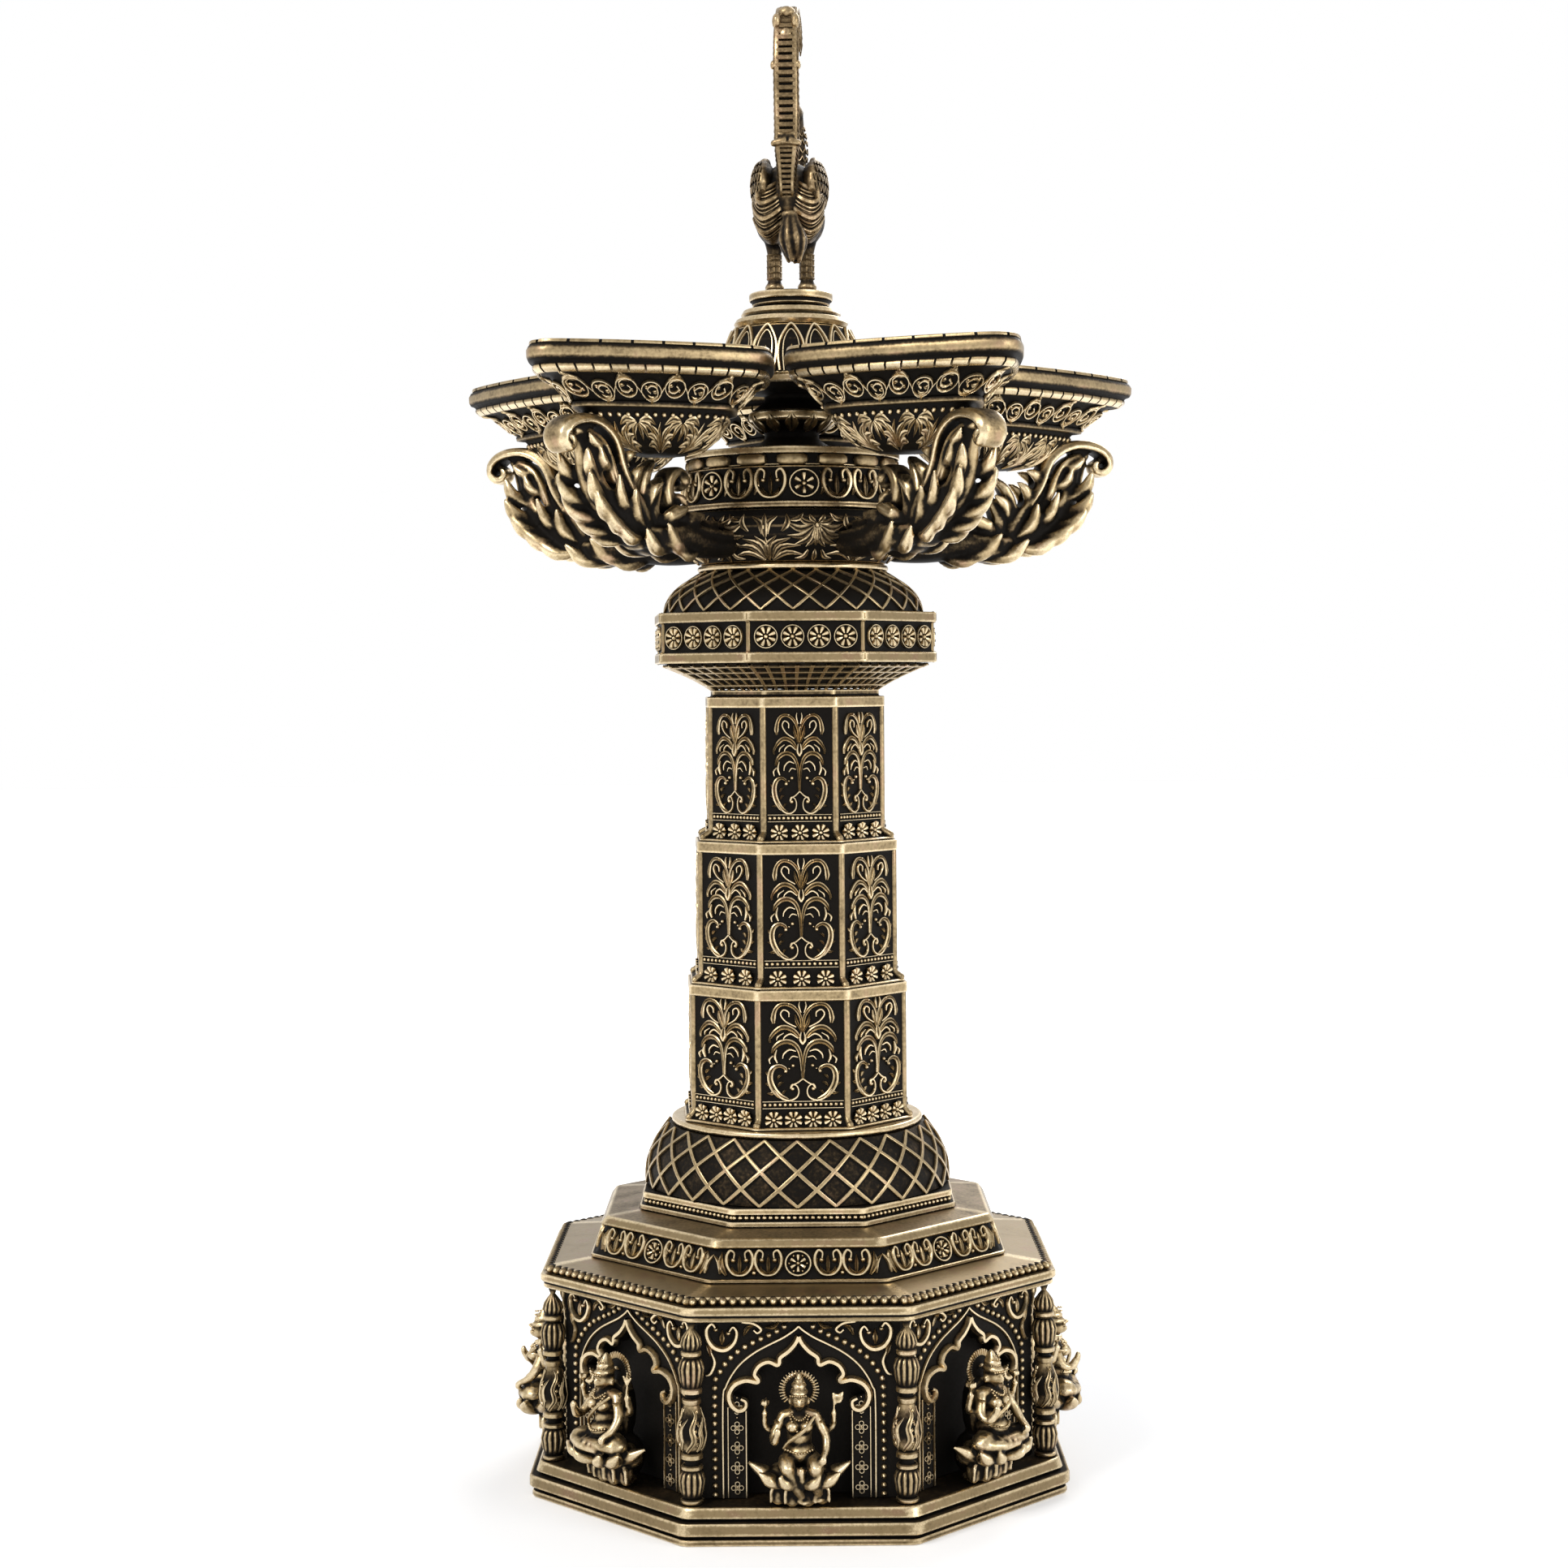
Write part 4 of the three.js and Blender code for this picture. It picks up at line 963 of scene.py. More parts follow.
@dataclass
class Drum:
    """The niche drum: relief on each of its eight walls."""

    radius: float = 85.0
    height: float = 57.7
    pearl_line: float = 27.0
    pearl_pitch: float = 2.85
    clover_line: float = 19.9
    clover_frame: float = 17.0
    clovers: int = 5
    arch: tuple[Pair, ...] = (
        (18.6, 32), (17, 31), (17.4, 29), (19.6, 28.4), (21.8, 30.4), (22.4, 33.6), (20.6, 36.6),
        (17, 38), (13.6, 37.4), (13, 38.2), (14.2, 40), (12.8, 42.6), (9.8, 43.9), (7, 42.9),
        (6.2, 43.7), (5.9, 45.3), (3.2, 47.3), (1, 49.8), (0, 51.9))
    cord: tuple[Pair, ...] = (
        (24.4, 0.2), (24.4, 30.6), (23.4, 35.8), (21.2, 40), (18.2, 43.6), (14, 46.8), (9.5, 49.2),
        (5, 51.4), (1.6, 53.6), (0, 55))

    def panel(self) -> Panel:
        """Returns the relief of one wall."""
        panel = Panel()
        panel.stroke(self.arch, (1.5, 2.3, 2.7, 2.6, 2.4, 2.4, 2.5, 2.5, 2.4), 2.2, mirror=True)
        panel.stroke(self.cord, (0.9, 1.1, 1.2), 1, mirror=True)
        panel.stroke([(self.clover_frame, 0.2), (self.clover_frame, 29.6)], (0.7, 0.7), 0.7, mirror=True)
        panel.stroke([(22.8, 0.2), (22.8, 29.2)], (0.6, 0.6), 0.7, mirror=True)
        self.pearls(panel)
        for k in range(self.clovers):
            self.clover(panel, (self.clover_line, 3.4 + 6.4 * k))
        self.spandrel(panel)
        return panel

    def pearls(self, panel: Panel) -> None:
        """Adds the pearl border that follows the arch."""
        line = smooth([(self.pearl_line, 1.2), (self.pearl_line, 34), (26, 39), (23.2, 43.6),
                       (19, 47.4), (14, 50.2), (9.2, 52.4), (5.4, 54.4), (3, 56.2)], 24)
        run = run_of(line)
        for place in sampled(line, run, np.arange(0, run[-1], self.pearl_pitch)):
            panel.bead(place, 1.08, 1.3, mirror=True)

    def clover(self, panel: Panel, place: Pair) -> None:
        """Adds a flower of four rings round a bead, with a smaller bead above it."""
        for k, eye in enumerate(oval(place, 1.25, 1.25, 4)):
            petal = oval(eye, 0.75, 0.75, 6, 90 * k)
            panel.stroke([*petal, petal[0]], (0.42, 0.42), 0.7, mirror=True, steps=2)
        panel.bead(place, 0.55, 0.9, mirror=True)
        panel.bead((place[0], place[1] + 3.2), 0.38, 0.6, mirror=True)

    def spandrel(self, panel: Panel) -> None:
        """Adds the scrolls between the arch and the corners."""
        panel.stroke([(22.4, 53.2), (21, 54.9), (19.8, 53.2), (20.6, 50), (23.4, 47.7), (26.8, 48.3),
                      (29, 51), (29.4, 54.2), (27.8, 56), (26.4, 54.4)],
                     (0.9, 1.2, 1.7, 2.1, 2.3, 2.2, 1.8, 1.4, 1), 1.7, mirror=True)
        panel.bead((22.5, 53), 0.95, 1.6, mirror=True)
        panel.bead((26.5, 54.2), 0.95, 1.6, mirror=True)
        panel.leaf((24.6, 49.2), (24.4, 54), 1.9, 1.4, mirror=True)
        panel.stroke([(28, 46.8), (26.9, 43.6), (28.2, 40.2), (29.8, 39.4)], (0.7, 1.6, 1.5, 0.8), 1.4,
                     mirror=True)
        panel.leaf((28.2, 45.4), (29.9, 49.6), 1.6, 1.2, -0.1, mirror=True)
        panel.stroke([(18.2, 56.4), (14.4, 56), (12, 54.2), (13.2, 53), (14.4, 53.9)],
                     (0.8, 1.5, 1.5, 1.1, 0.9), 1.4, mirror=True)
        panel.leaf((17.6, 52), (13.8, 55.4), 1.6, 1.2, 0.2, mirror=True)
        panel.leaf((10.8, 54.6), (5.8, 56.8), 1.6, 1.1, -0.15, mirror=True)

    def build(self) -> None:
        """Builds the relief of all the walls and darkens the drum behind it."""
        low, _ = level("base_drum")
        sculpt, panel = Sculpt(), self.panel()
        sculpt.lay_round(panel, (self.radius, low), (self.radius, low + self.height))
        sculpt.build("drum_relief", CAST, "base", "cast_brass")
        finish_node("base_drum", DARK)


def finish_node(node: str, finish: Finish) -> None:
    """Gives a carried-over solid its finish."""
    data = frame["nodes"][node].data
    data.materials.clear()
    data.materials.append(finish.material())


@dataclass
class Balusters:
    """The eight turned posts at the corners of the drum.

    Attributes:
        reach: distance of each post from the axis.
        count: number of posts.
        flutes: hollows round a fluted stretch.
        flute_depth: depth of a hollow.
        fluted: rows of the grid that have hollows, where its first row is the middle of the foot.
        profile: height, radius and tone of a post.
    """

    reach: float = 89.6
    count: int = SIDES
    flutes: int = 12
    flute_depth: float = 0.672
    fluted: tuple[int, ...] = (6, 7, 8, 29, 30, 31, 36, 37)
    profile: tuple[Corner, ...] = (
        (0, 3.4, SHADE), (0.4, 3.7, BRIGHT), (1.2, 3.7, BRIGHT), (1.7, 2.7, PIT), (2.3, 3.2, SHADE),
        (4, 3.9, BRIGHT), (7.4, 4.4, BRIGHT), (9.4, 3.9, BRIGHT), (10.4, 2.8, SHADE), (11, 3.5, BRIGHT),
        (11.9, 3.5, BRIGHT), (12.5, 2.3, PIT), (13.6, 2.3, SHADE), (14.4, 3.6, BRIGHT),
        (15.6, 3.6, BRIGHT), (16.4, 2.6, SHADE), (18.1, 3.7, PLAIN), (21.6, 4.4, SHADE),
        (25.8, 3.9, SHADE), (29.4, 2.9, WORN), (31.2, 2.5, PLAIN), (32, 3.1, BRIGHT), (33.1, 3.1, BRIGHT),
        (33.7, 2, PIT), (34.6, 2, SHADE), (35.2, 3.5, BRIGHT), (36.3, 3.5, BRIGHT), (36.9, 2.9, SHADE),
        (39.4, 3.9, BRIGHT), (43, 4.3, BRIGHT), (45.3, 3.6, BRIGHT), (46.2, 2.3, SHADE),
        (47.2, 3.3, BRIGHT), (48.1, 3.3, BRIGHT), (48.7, 2.7, SHADE), (50.7, 3.6, BRIGHT),
        (52.6, 3.1, BRIGHT), (54.4, 1.8, PLAIN), (55.6, 0.8, PLAIN), (57.7, 1.6, SHADE))

    def post(self) -> list[Patch]:
        """Returns one post about its own axis, from level zero."""
        around = self.flutes * 4
        turn = np.linspace(0, 2 * math.pi, around, endpoint=False)
        foot, top = (0, 0, PIT), (self.profile[-1][0], 0, PIT)
        grid = np.zeros((len(self.profile) + 2, around, 3))
        tones = np.zeros(grid.shape[:2])
        for row, (height, radius, tone) in enumerate((foot, *self.profile, top)):
            wave = np.zeros(around)
            if row in self.fluted:
                wave = np.abs(np.sin(turn * self.flutes / 2)) - 1
            reach = np.maximum(radius + wave * self.flute_depth, 0)
            grid[row, :, 0] = reach * np.cos(turn)
            grid[row, :, 1] = reach * np.sin(turn)
            grid[row, :, 2] = height
            tones[row] = np.clip(tone + wave * 0.9, 0, 1)
        return [Patch(grid, tones, True), *self.acanthus()]

    def acanthus(self) -> list[Patch]:
        """Returns the leaves that wrap the middle bulb."""
        profile = ((2.6, 16.4), (3.7, 18.1), (4.4, 21.6), (3.9, 25.8), (2.9, 29.4), (2.5, 31.2))
        patches: list[Patch] = []
        for azimuth in (0, 90, 180, 270):
            panel = Panel()
            panel.frond([(-1.6, 0.8), (0.8, 4.4), (0.2, 8.4), (1.6, 12.2), (0.8, 14.4)],
                        (1.4, 1.9, 1.7, 1.4, 0.6), 0.75, 4, 1, 1.6)
            panel.frond([(2.2, 1), (3.2, 4), (2.6, 7.4), (3.6, 10.2)], (0.9, 1.4, 1.2, 0.4), 0.7,
                        3, -1, 1.3)
            panel.leaf((-2.4, 4), (-1.2, 11.6), 1.4, 0.7, -0.2)
            patches += panel.on(Revolved(azimuth, profile, 4))
        return patches

    def build(self) -> None:
        """Builds the posts at their corners."""
        low, _ = level("baluster_1")
        patches = self.post()
        for k in range(self.count):
            out, _ = compass((k + 0.5) * FACET_ANGLE)
            moved = [patch.shifted((*(out * self.reach), low)) for patch in patches]
            Sculpt(moved).build(f"baluster_post_{k + 1}", CAST, "base", "cast_brass", f"baluster_{k + 1}")


@dataclass
class Cap:
    """The overhanging slab over the drum, edged with pearls."""

    fascia: float = 93.9
    fascia_height: float = 4.7
    nosing: float = 93.0
    slab: float = 90.0
    slab_edge: float = 2.5
    slab_top: float = 76.6
    inner: float = 70.0
    pearls: int = 22
    pearl_radius: float = 1.5

    def build(self) -> None:
        """Builds the cap."""
        low, high = level("base_cap")
        ledge = low + self.fascia_height
        edge = ledge + self.slab_edge
        sculpt = Sculpt()
        sculpt.casting([
            (self.nosing, low, PLAIN), (self.fascia - 1.2, low + 1.9, PIT),
            (self.fascia, low + 2.3, PLAIN), (self.fascia, ledge, WORN),
            (self.slab, ledge, PIT), (self.slab, edge, PLAIN),
            (self.slab_top, high, WORN), (self.inner, high, PIT), (self.inner, low, PIT),
        ], OCTAGON)
        panel = Panel()
        half = (self.slab + 1.9) * HALF_FACET - self.pearl_radius
        for share in np.linspace(-1, 1, self.pearls):
            panel.bead((half * share, self.pearl_radius * 0.96), self.pearl_radius, self.pearl_radius * 1.6,
                       around=10)
        sculpt.lay_round(panel, (self.slab, ledge), (self.slab, edge))
        sculpt.build("cap_casting", SLAB, "base", "turned_brass", "base_cap")


@dataclass
class Step:
    """The flared block over the cap, with a scroll frieze on each face."""

    foot: float = 76.0
    skirt: float = 1.1
    low_radius: float = 74.2
    frieze_height: float = 9.4
    top_radius: float = 70.4
    cornice: float = 72.6
    cornice_height: float = 2.8
    cornice_top: float = 70.5
    top: float = 58.8
    inner: float = 56.0

    def scrolls(self) -> Panel:
        """Returns the frieze of one face: a flower in a ring, with lyres on both sides."""
        panel = Panel()
        flower = (0, 4.7)
        panel.stroke(oval(flower, 4.1, 3.9), (1, 1), 1.2, closed=True, steps=2)
        panel.rosette(flower, 2.7, 6, 1.4)
        for place in oval(flower, 2.9, 2.8, 6):
            panel.bead(place, 0.5, 1)
        for middle, side in ((9.7, 1), (19, -1)):
            panel.lyre(middle, 4.2, 0.7, 8.9, 1.5, mirror=True, bold=1.05)
            panel.bead((middle + 4.7 * side, 1.7), 0.8, 1.2, mirror=True)
        panel.leaf((23.4, 1), (24.6, 8.6), 2.2, 1.4, 0.15, mirror=True)
        panel.leaf((25.4, 1.4), (27.4, 7.8), 2, 1.4, -0.15, mirror=True)
        panel.leaf((14.4, 2.4), (14.4, 8.8), 1.6, 1.2, mirror=True)
        return panel

    def build(self) -> None:
        """Builds the step block."""
        low, high = level("step_block")
        skirt = low + self.skirt
        frieze = skirt + self.frieze_height
        cornice = frieze + self.cornice_height
        sculpt = Sculpt()
        sculpt.casting([
            (self.foot, low, PLAIN), (self.foot, skirt, SHADE), (self.low_radius, skirt, PIT),
            (self.top_radius, frieze, SHADE), (self.cornice, frieze + 0.2, PLAIN),
            (self.cornice_top, cornice, WORN), (self.top, high, SHADE),
            (self.inner, high, PIT), (self.inner, low, PIT),
        ], OCTAGON)
        sculpt.lay_round(self.scrolls(), (self.low_radius, skirt), (self.top_radius, frieze))
        sculpt.build("step_casting", SLAB, "base", "cast_brass", "step_block")


@dataclass
class Plinth:
    """The small octagonal ring with a bead row, under the lower dome."""

    radius: float = 58.3
    fillet: float = 1.6
    groove: float = 56.0
    groove_height: float = 2.2
    top: float = 57.2
    inner: float = 47.0
    beads: int = 22

    def build(self) -> None:
        """Builds the plinth ring."""
        low, high = level("plinth_ring")
        first, second = low + self.fillet, low + self.fillet + self.groove_height
        sculpt = Sculpt()
        sculpt.casting([
            (self.radius, low, PLAIN), (self.radius, first, SHADE), (self.groove, first, PIT),
            (self.groove, second, SHADE), (self.top, second, PLAIN), (self.top, high, SHADE),
            (self.inner, high, PIT), (self.inner, low, PIT),
        ], OCTAGON, 0.25)
        panel = Panel()
        half = self.groove * HALF_FACET - 0.4
        panel.beads((-half, self.groove_height / 2), (half, self.groove_height / 2), self.beads, 0.92)
        sculpt.lay_round(panel, (self.groove, first), (self.groove, second))
        sculpt.build("plinth_casting", CAST, "base", "turned_brass", "plinth_ring")


@dataclass
class LatticeDome:
    """A domed shell under a net of ribs.

    Attributes:
        node: the solid that it stands for.
        body: moving body.
        radius: at its foot.
        top: radius at its top.
        bulge: how far its side swells past a straight line.
        wall: thickness.
        cells: diamonds round the dome.
        rows: diamonds up the dome.
        azimuth: turn, degrees.
        rib: breadth of a rib.
        steps: points up its side.
        floor_tone: tone of the shell between the ribs.
    """

    node: str
    body: str
    radius: float
    top: float
    bulge: float
    wall: float
    cells: int
    rows: float
    azimuth: float = 0.0
    rib: float = 0.95
    steps: int = 10
    floor_tone: float = 0.31

    def profile(self, inset: float = 0.0) -> list[Pair]:
        """Returns the dome's side from foot to top."""
        low, high = level(self.node)
        side = []
        for share in np.linspace(0, 1, self.steps):
            straight = self.radius + (self.top - self.radius) * share
            side.append((straight + self.bulge * math.sin(math.pi * share) - inset,
                         low + (high - low) * share))
        return side

    def build(self) -> None:
        """Builds the shell and its net."""
        outside, inside = self.profile(), self.profile(self.wall)
        sculpt = Sculpt()
        shell = outside + inside[::-1]
        grid = np.zeros((len(shell) + 1, len(CIRCLE[0]), 3))
        for row, (radius, height) in enumerate([*shell, shell[0]]):
            grid[row, :, :2] = CIRCLE[0] * radius
            grid[row, :, 2] = height
        sculpt.patches.append(Patch(grid, np.full(grid.shape[:2], self.floor_tone), True))
        length = run_of(np.array(outside))[-1]
        gauge = self.radius
        pitch = 2 * math.pi * gauge / self.cells
        panel = Panel()
        lean = pitch * self.rows
        for k in range(self.cells):
            start = k * pitch
            for facing in (-1, 1):
                run = [(start, 0.1), (start + facing * lean / 3, length / 3),
                       (start + facing * lean * 2 / 3, length * 2 / 3), (start + facing * lean, length - 0.1)]
                panel.stroke(run, (self.rib * 3.6, self.rib * 3.6), 0.1, Section.SHADOW, steps=4)
                panel.stroke(run, (self.rib * 1.3, self.rib * 1.3), 0.95, Section.FLAT, steps=4)
        sculpt.lay(panel, Revolved(self.azimuth, tuple(outside), gauge))
        sculpt.build(f"{self.node}_casting", CAST, self.body, "cast_brass", self.node)


@dataclass
class RoundRing:
    """A turned half-round ring.

    Attributes:
        node: the solid that it stands for.
        body: moving body.
        radius: outermost radius.
        inner: bore radius.
        rounding: how far its edges draw in.
    """

    node: str
    body: str
    radius: float
    inner: float
    rounding: float = 1.1

    def build(self) -> None:
        """Builds the ring."""
        low, high = level(self.node)
        half = (high - low) / 2
        corners: list[Corner] = []
        for angle in np.linspace(-80, 80, 7):
            corners.append((self.radius - self.rounding * (1 - math.cos(math.radians(angle))),
                            low + half * (1 + math.sin(math.radians(angle))), BRIGHT))
        corners += [(self.inner, high, PIT), (self.inner, low, PIT)]
        sculpt = Sculpt()
        sculpt.casting(corners, CIRCLE, 0.1)
        sculpt.build(f"{self.node}_casting", CAST, self.body, "turned_brass", self.node)


# Column


TREE_BRANCHES = {
    Section.ROUND: (
        (((0, 8.8), (1.9, 7.4), (3.3, 6.8), (4.2, 5.6), (3.6, 6.9), (2.1, 6.4), (1.4, 4.6), (2.1, 2.6),
          (4.7, 1.5), (7.6, 2.6), (9.6, 5.2)), (0.9, 0.9, 0.8, 0.9, 0.9, 0.8, 0.8, 1, 1.3, 1.2, 0.6), 1.1),
        (((2.3, 18), (4.5, 18.6), (6.4, 17.2), (6.8, 15.6)), (0.6, 1.1, 1, 0.5), 1.1),
        (((1.6, 16), (3.4, 16.4), (4.6, 15.2)), (0.5, 0.9, 0.4), 1.1),
        (((8.8, 18.6), (9.4, 16.2), (8.6, 14.2)), (0.6, 1.5, 0.9), 1.2),
        (((10, 16.6), (11.3, 15.4), (11, 13.9)), (0.5, 1.2, 0.6), 1.1),
        (((1.6, 22.4), (4, 23.9), (6, 23), (6.6, 21.8)), (0.6, 1.1, 0.9, 0.5), 1.1),
        (((6.4, 24.2), (8.4, 23), (8.8, 21.8)), (0.5, 1, 0.5), 1.1),
        (((2.2, 26.2), (5.6, 28), (7.4, 30.4), (6.4, 32), (4.7, 31.2), (4.6, 29.6)),
         (0.8, 0.9, 1, 0.9, 0.9, 0.6), 1.1),
        (((0.5, 31), (1.2, 33.2), (1, 34.6)), (0.6, 1, 0.4), 1.1),
        (((0, 20.4), (0.9, 22), (0.5, 24.4)), (1.2, 1.5, 0.6), 1.3),
    ),
    Section.LEAF: (
        (((5, 1.8), (8.2, 3.4), (10.4, 6.4), (11.1, 9.6), (10.2, 12.2), (8, 13.2), (6, 12.4), (5.6, 11.4)),
         (0.9, 2.1, 2.3, 2.2, 1.9, 1.4, 1.1, 0.9), 1.25),
        (((0.1, 9), (0.3, 13), (0.9, 17.3), (2.3, 20), (4.7, 21.3), (7.5, 21), (9.7, 19.2), (10.4, 17.4)),
         (1, 1.1, 1.4, 1.7, 1.9, 1.9, 1.5, 0.7), 1.3),
        (((0.2, 21), (1.9, 23.9), (4.2, 25.7), (7, 26.1), (9.4, 24.6), (11, 22.4), (10.9, 21)),
         (0.9, 1.4, 1.8, 1.9, 1.6, 1.1, 0.8), 1.3),
        (((0.2, 24.4), (0.5, 29), (2.1, 32), (4.6, 33.7), (7.4, 33.7), (9.2, 32), (9.9, 29.2), (9.7, 27.4)),
         (0.8, 1.1, 1.3, 1.4, 1.4, 1.5, 2, 1), 1.2),
        (((0.5, 25), (2, 28), (2.4, 30.4)), (0.9, 1.4, 0.5), 1.2),
    ),
}
TREE_LEAVES = (
    ((9.2, 5), (12.2, 4), 1.4), ((10.4, 7.6), (12.8, 7.4), 1.5), ((10.6, 10.4), (12.6, 11.4), 1.4),
    ((8.6, 8.6), (6.8, 10), 1.1), ((8.4, 6.2), (6.4, 7.6), 1.1), ((6.9, 3.4), (5.4, 4.9), 1))
TREE_BEADS = (
    ((3.5, 5.4), 0.8, 1.2), ((5.8, 11.3), 0.75, 1.15), ((3.3, 13.2), 0.7, 1.1), ((4.6, 12.2), 0.4, 0.8),
    ((4.6, 34), 0.5, 1))


@dataclass(frozen=True)
class Tree:
    """The branching ornament of a column panel, drawn once and fitted to each panel.

    Attributes:
        width: share of the drawn width.
        height: share of the drawn height.
        base: level of its root above the panel's zero line.
    """

    width: float
    height: float
    base: float

    def fit(self, points: Sequence) -> Array:
        """Returns a drawn point, or several, at its place on the panel."""
        return np.array(points) * (self.width, self.height) + (0, self.base)

    def draw(self, panel: Panel) -> None:
        """Adds the whole tree and its reflection."""
        bold = 0.35 + 0.65 * self.width
        for section, branches in TREE_BRANCHES.items():
            for points, widths, height in branches:
                panel.stroke(self.fit(points), [width * bold for width in widths], height, section,
                             steps=3, mirror=True)
        for root, tip, width in TREE_LEAVES:
            panel.leaf(self.fit(root), self.fit(tip), width * self.width, 1, 0.2, mirror=True)
        for place, radius, height in TREE_BEADS:
            panel.bead(self.fit(place), radius, height, mirror=True)


@dataclass
class Tier:
    """One octagonal tier of the column.

    Attributes:
        node: the solid that it stands for.
        ledge: radius of the foot's lip.
        wall: radius of the panels.
        border: radius of the band above them.
        rosettes: rosettes on each face.
        tree: ornament of a panel.
        crown: radius of the collar on top, nothing where there is none.
    """

    node: str
    ledge: float
    wall: float
    border: float
    rosettes: int
    tree: Tree
    crown: float = 0.0
    lip: float = 0.6
    cove: float = 2.6
    border_height: float = 3.6
    crown_height: float = 2.4
    thickness: float = 3.2
    azimuth: float = 3.25
    post: float = 1.15
    pearls: int = 16
    pearl_line: float = 5.6

    def build(self) -> None:
        """Builds the tier."""
        low, high = level(self.node)
        top = high - (self.crown_height if self.crown else 0)
        sculpt = Sculpt()
        corners: list[Corner] = [
            (self.ledge, low, PLAIN), (self.ledge, low + self.lip, SHADE),
            (self.wall + 0.9, low + self.lip + 0.5, PIT), (self.wall, low + self.cove, PIT),
            (self.wall, top - self.border_height, PIT),
            (self.border, top - self.border_height, PLAIN), (self.border, top, WORN),
        ]
        if self.crown:
            corners += [(self.crown, top, WORN), (self.crown, high, SHADE)]
        inner = self.wall - self.thickness
        corners += [(inner, high, PIT), (inner, low, PIT)]
        sculpt.casting(corners, OCTAGON, 0.25, self.azimuth)
        panel = self.panel()
        reach, floor = self.wall * FLAT, low + self.cove
        for azimuth in facets(self.azimuth):
            sculpt.lay(panel, Facet(azimuth, (reach, floor), (reach, top)))
            self.corner(sculpt, azimuth + FACET_ANGLE / 2, low, top)
        sculpt.build(f"{self.node}_casting", CAST, "column", "cast_brass", self.node)

    def panel(self) -> Panel:
        """Returns the relief of one face."""
        panel = Panel()
        half = self.wall * HALF_FACET - self.post - 0.3
        count = self.pearls if self.rosettes > 3 else self.pearls - 2
        panel.beads((-half + 0.8, self.pearl_line), (half - 0.8, self.pearl_line), count, 0.72)
        for line in (-1.15, 1.15):
            panel.stroke([(-half, self.pearl_line + line), (half, self.pearl_line + line)], (0.36, 0.36), 0.6)
        pitch = 2 * half / self.rosettes
        for k in range(self.rosettes):
            place = ((k + 0.5 - self.rosettes / 2) * pitch * 0.97, 0.55)
            panel.rosette(place, min(2.95, pitch * 0.44), 8, 1.2, 0.25)
        self.tree.draw(panel)
        return panel

    def corner(self, sculpt: Sculpt, azimuth: float, low: float, top: float) -> None:
        """Adds the half-round post of one corner, with its knob at the foot."""
        out, _ = compass(azimuth)
        inset = self.wall - 0.45
        foot = low + self.cove
        levels = ((inset, top - self.border_height + 0.3), (inset, foot + 4.5), (inset, foot + 0.8),
                  (self.ledge - 2, foot - 0.9), (self.ledge - 1.35, low + 1.2))
        line = [(*(out * radius), height) for radius, height in levels]
        sculpt.bar(line, (self.post, self.post, self.post, self.post, self.post * 1.15), 10, 5)


# Capital


@dataclass
class Funnel:
    """The flared octagonal throat under the capital band, with a square net."""

    low: float = 30.2
    top: float = 48.4
    sag: float = 1.4
    wall: float = 2.8
    azimuth: float = 5.0
    columns: int = 7
    rows: int = 4

    def build(self) -> None:
        """Builds the funnel."""
        floor, ceiling = level("capital_funnel")
        steps = 6
        side = []
        for share in np.linspace(0, 1, steps):
            radius = self.low + (self.top - self.low) * share - self.sag * 4 * share * (1 - share)
            side.append((radius, floor + (ceiling - floor) * share))
        sculpt = Sculpt()
        corners = [(radius, height, PIT) for radius, height in side]
        corners += [(radius - self.wall, height, PIT) for radius, height in side[::-1]]
        sculpt.casting(corners, OCTAGON, 0.05, self.azimuth)
        for azimuth in facets(self.azimuth):
            self.net(sculpt, azimuth, side)
        sculpt.build("capital_funnel_casting", CAST, "capital", "cast_brass", "capital_funnel")

    def net(self, sculpt: Sculpt, azimuth: float, side: Sequence[Pair]) -> None:
        """Adds the net of one face."""
        length = run_of(np.array(side))[-1]
        panel = Panel()
        for k in range(self.columns + 1):
            share = (k / self.columns - 0.5) * 2 * HALF_FACET
            panel.stroke([(share, 0.2), (share, length / 2), (share, length - 0.2)],
                         (0.03, 0.03), 0.8, Section.FLAT, steps=3)
        for k in range(1, self.rows + 1):
            height = length * (k - 0.35) / self.rows
            panel.stroke([(-HALF_FACET, height), (0, height), (HALF_FACET, height)], (1, 1), 0.9,
                         Section.FLAT, steps=4)
        sculpt.lay(panel, Fan(azimuth, tuple(side)))


@dataclass(frozen=True)
class Fan:
    """A face that widens as it rises: across runs as a share of the corner radius.

    Attributes:
        azimuth: direction that the face looks in, degrees from the front.
        side: corner radius and level pairs, upwards.
    """

    azimuth: float
    side: tuple[Pair, ...]

    def place(self, points: Array) -> Array:
        """Returns panel points as points of the row frame, in millimetres."""
        line = np.array(self.side, float)
        radius, height = sampled(line, run_of(line), points[:, 1]).T
        slope = (line[-1] - line[0]) / np.linalg.norm(line[-1] - line[0])
        out, right = compass(self.azimuth)
        reach = radius * FLAT + points[:, 2] * slope[1]
        plan = out * reach[:, None] + right * (points[:, 0] * radius)[:, None]
        return np.column_stack([plan, height - points[:, 2] * slope[0]])


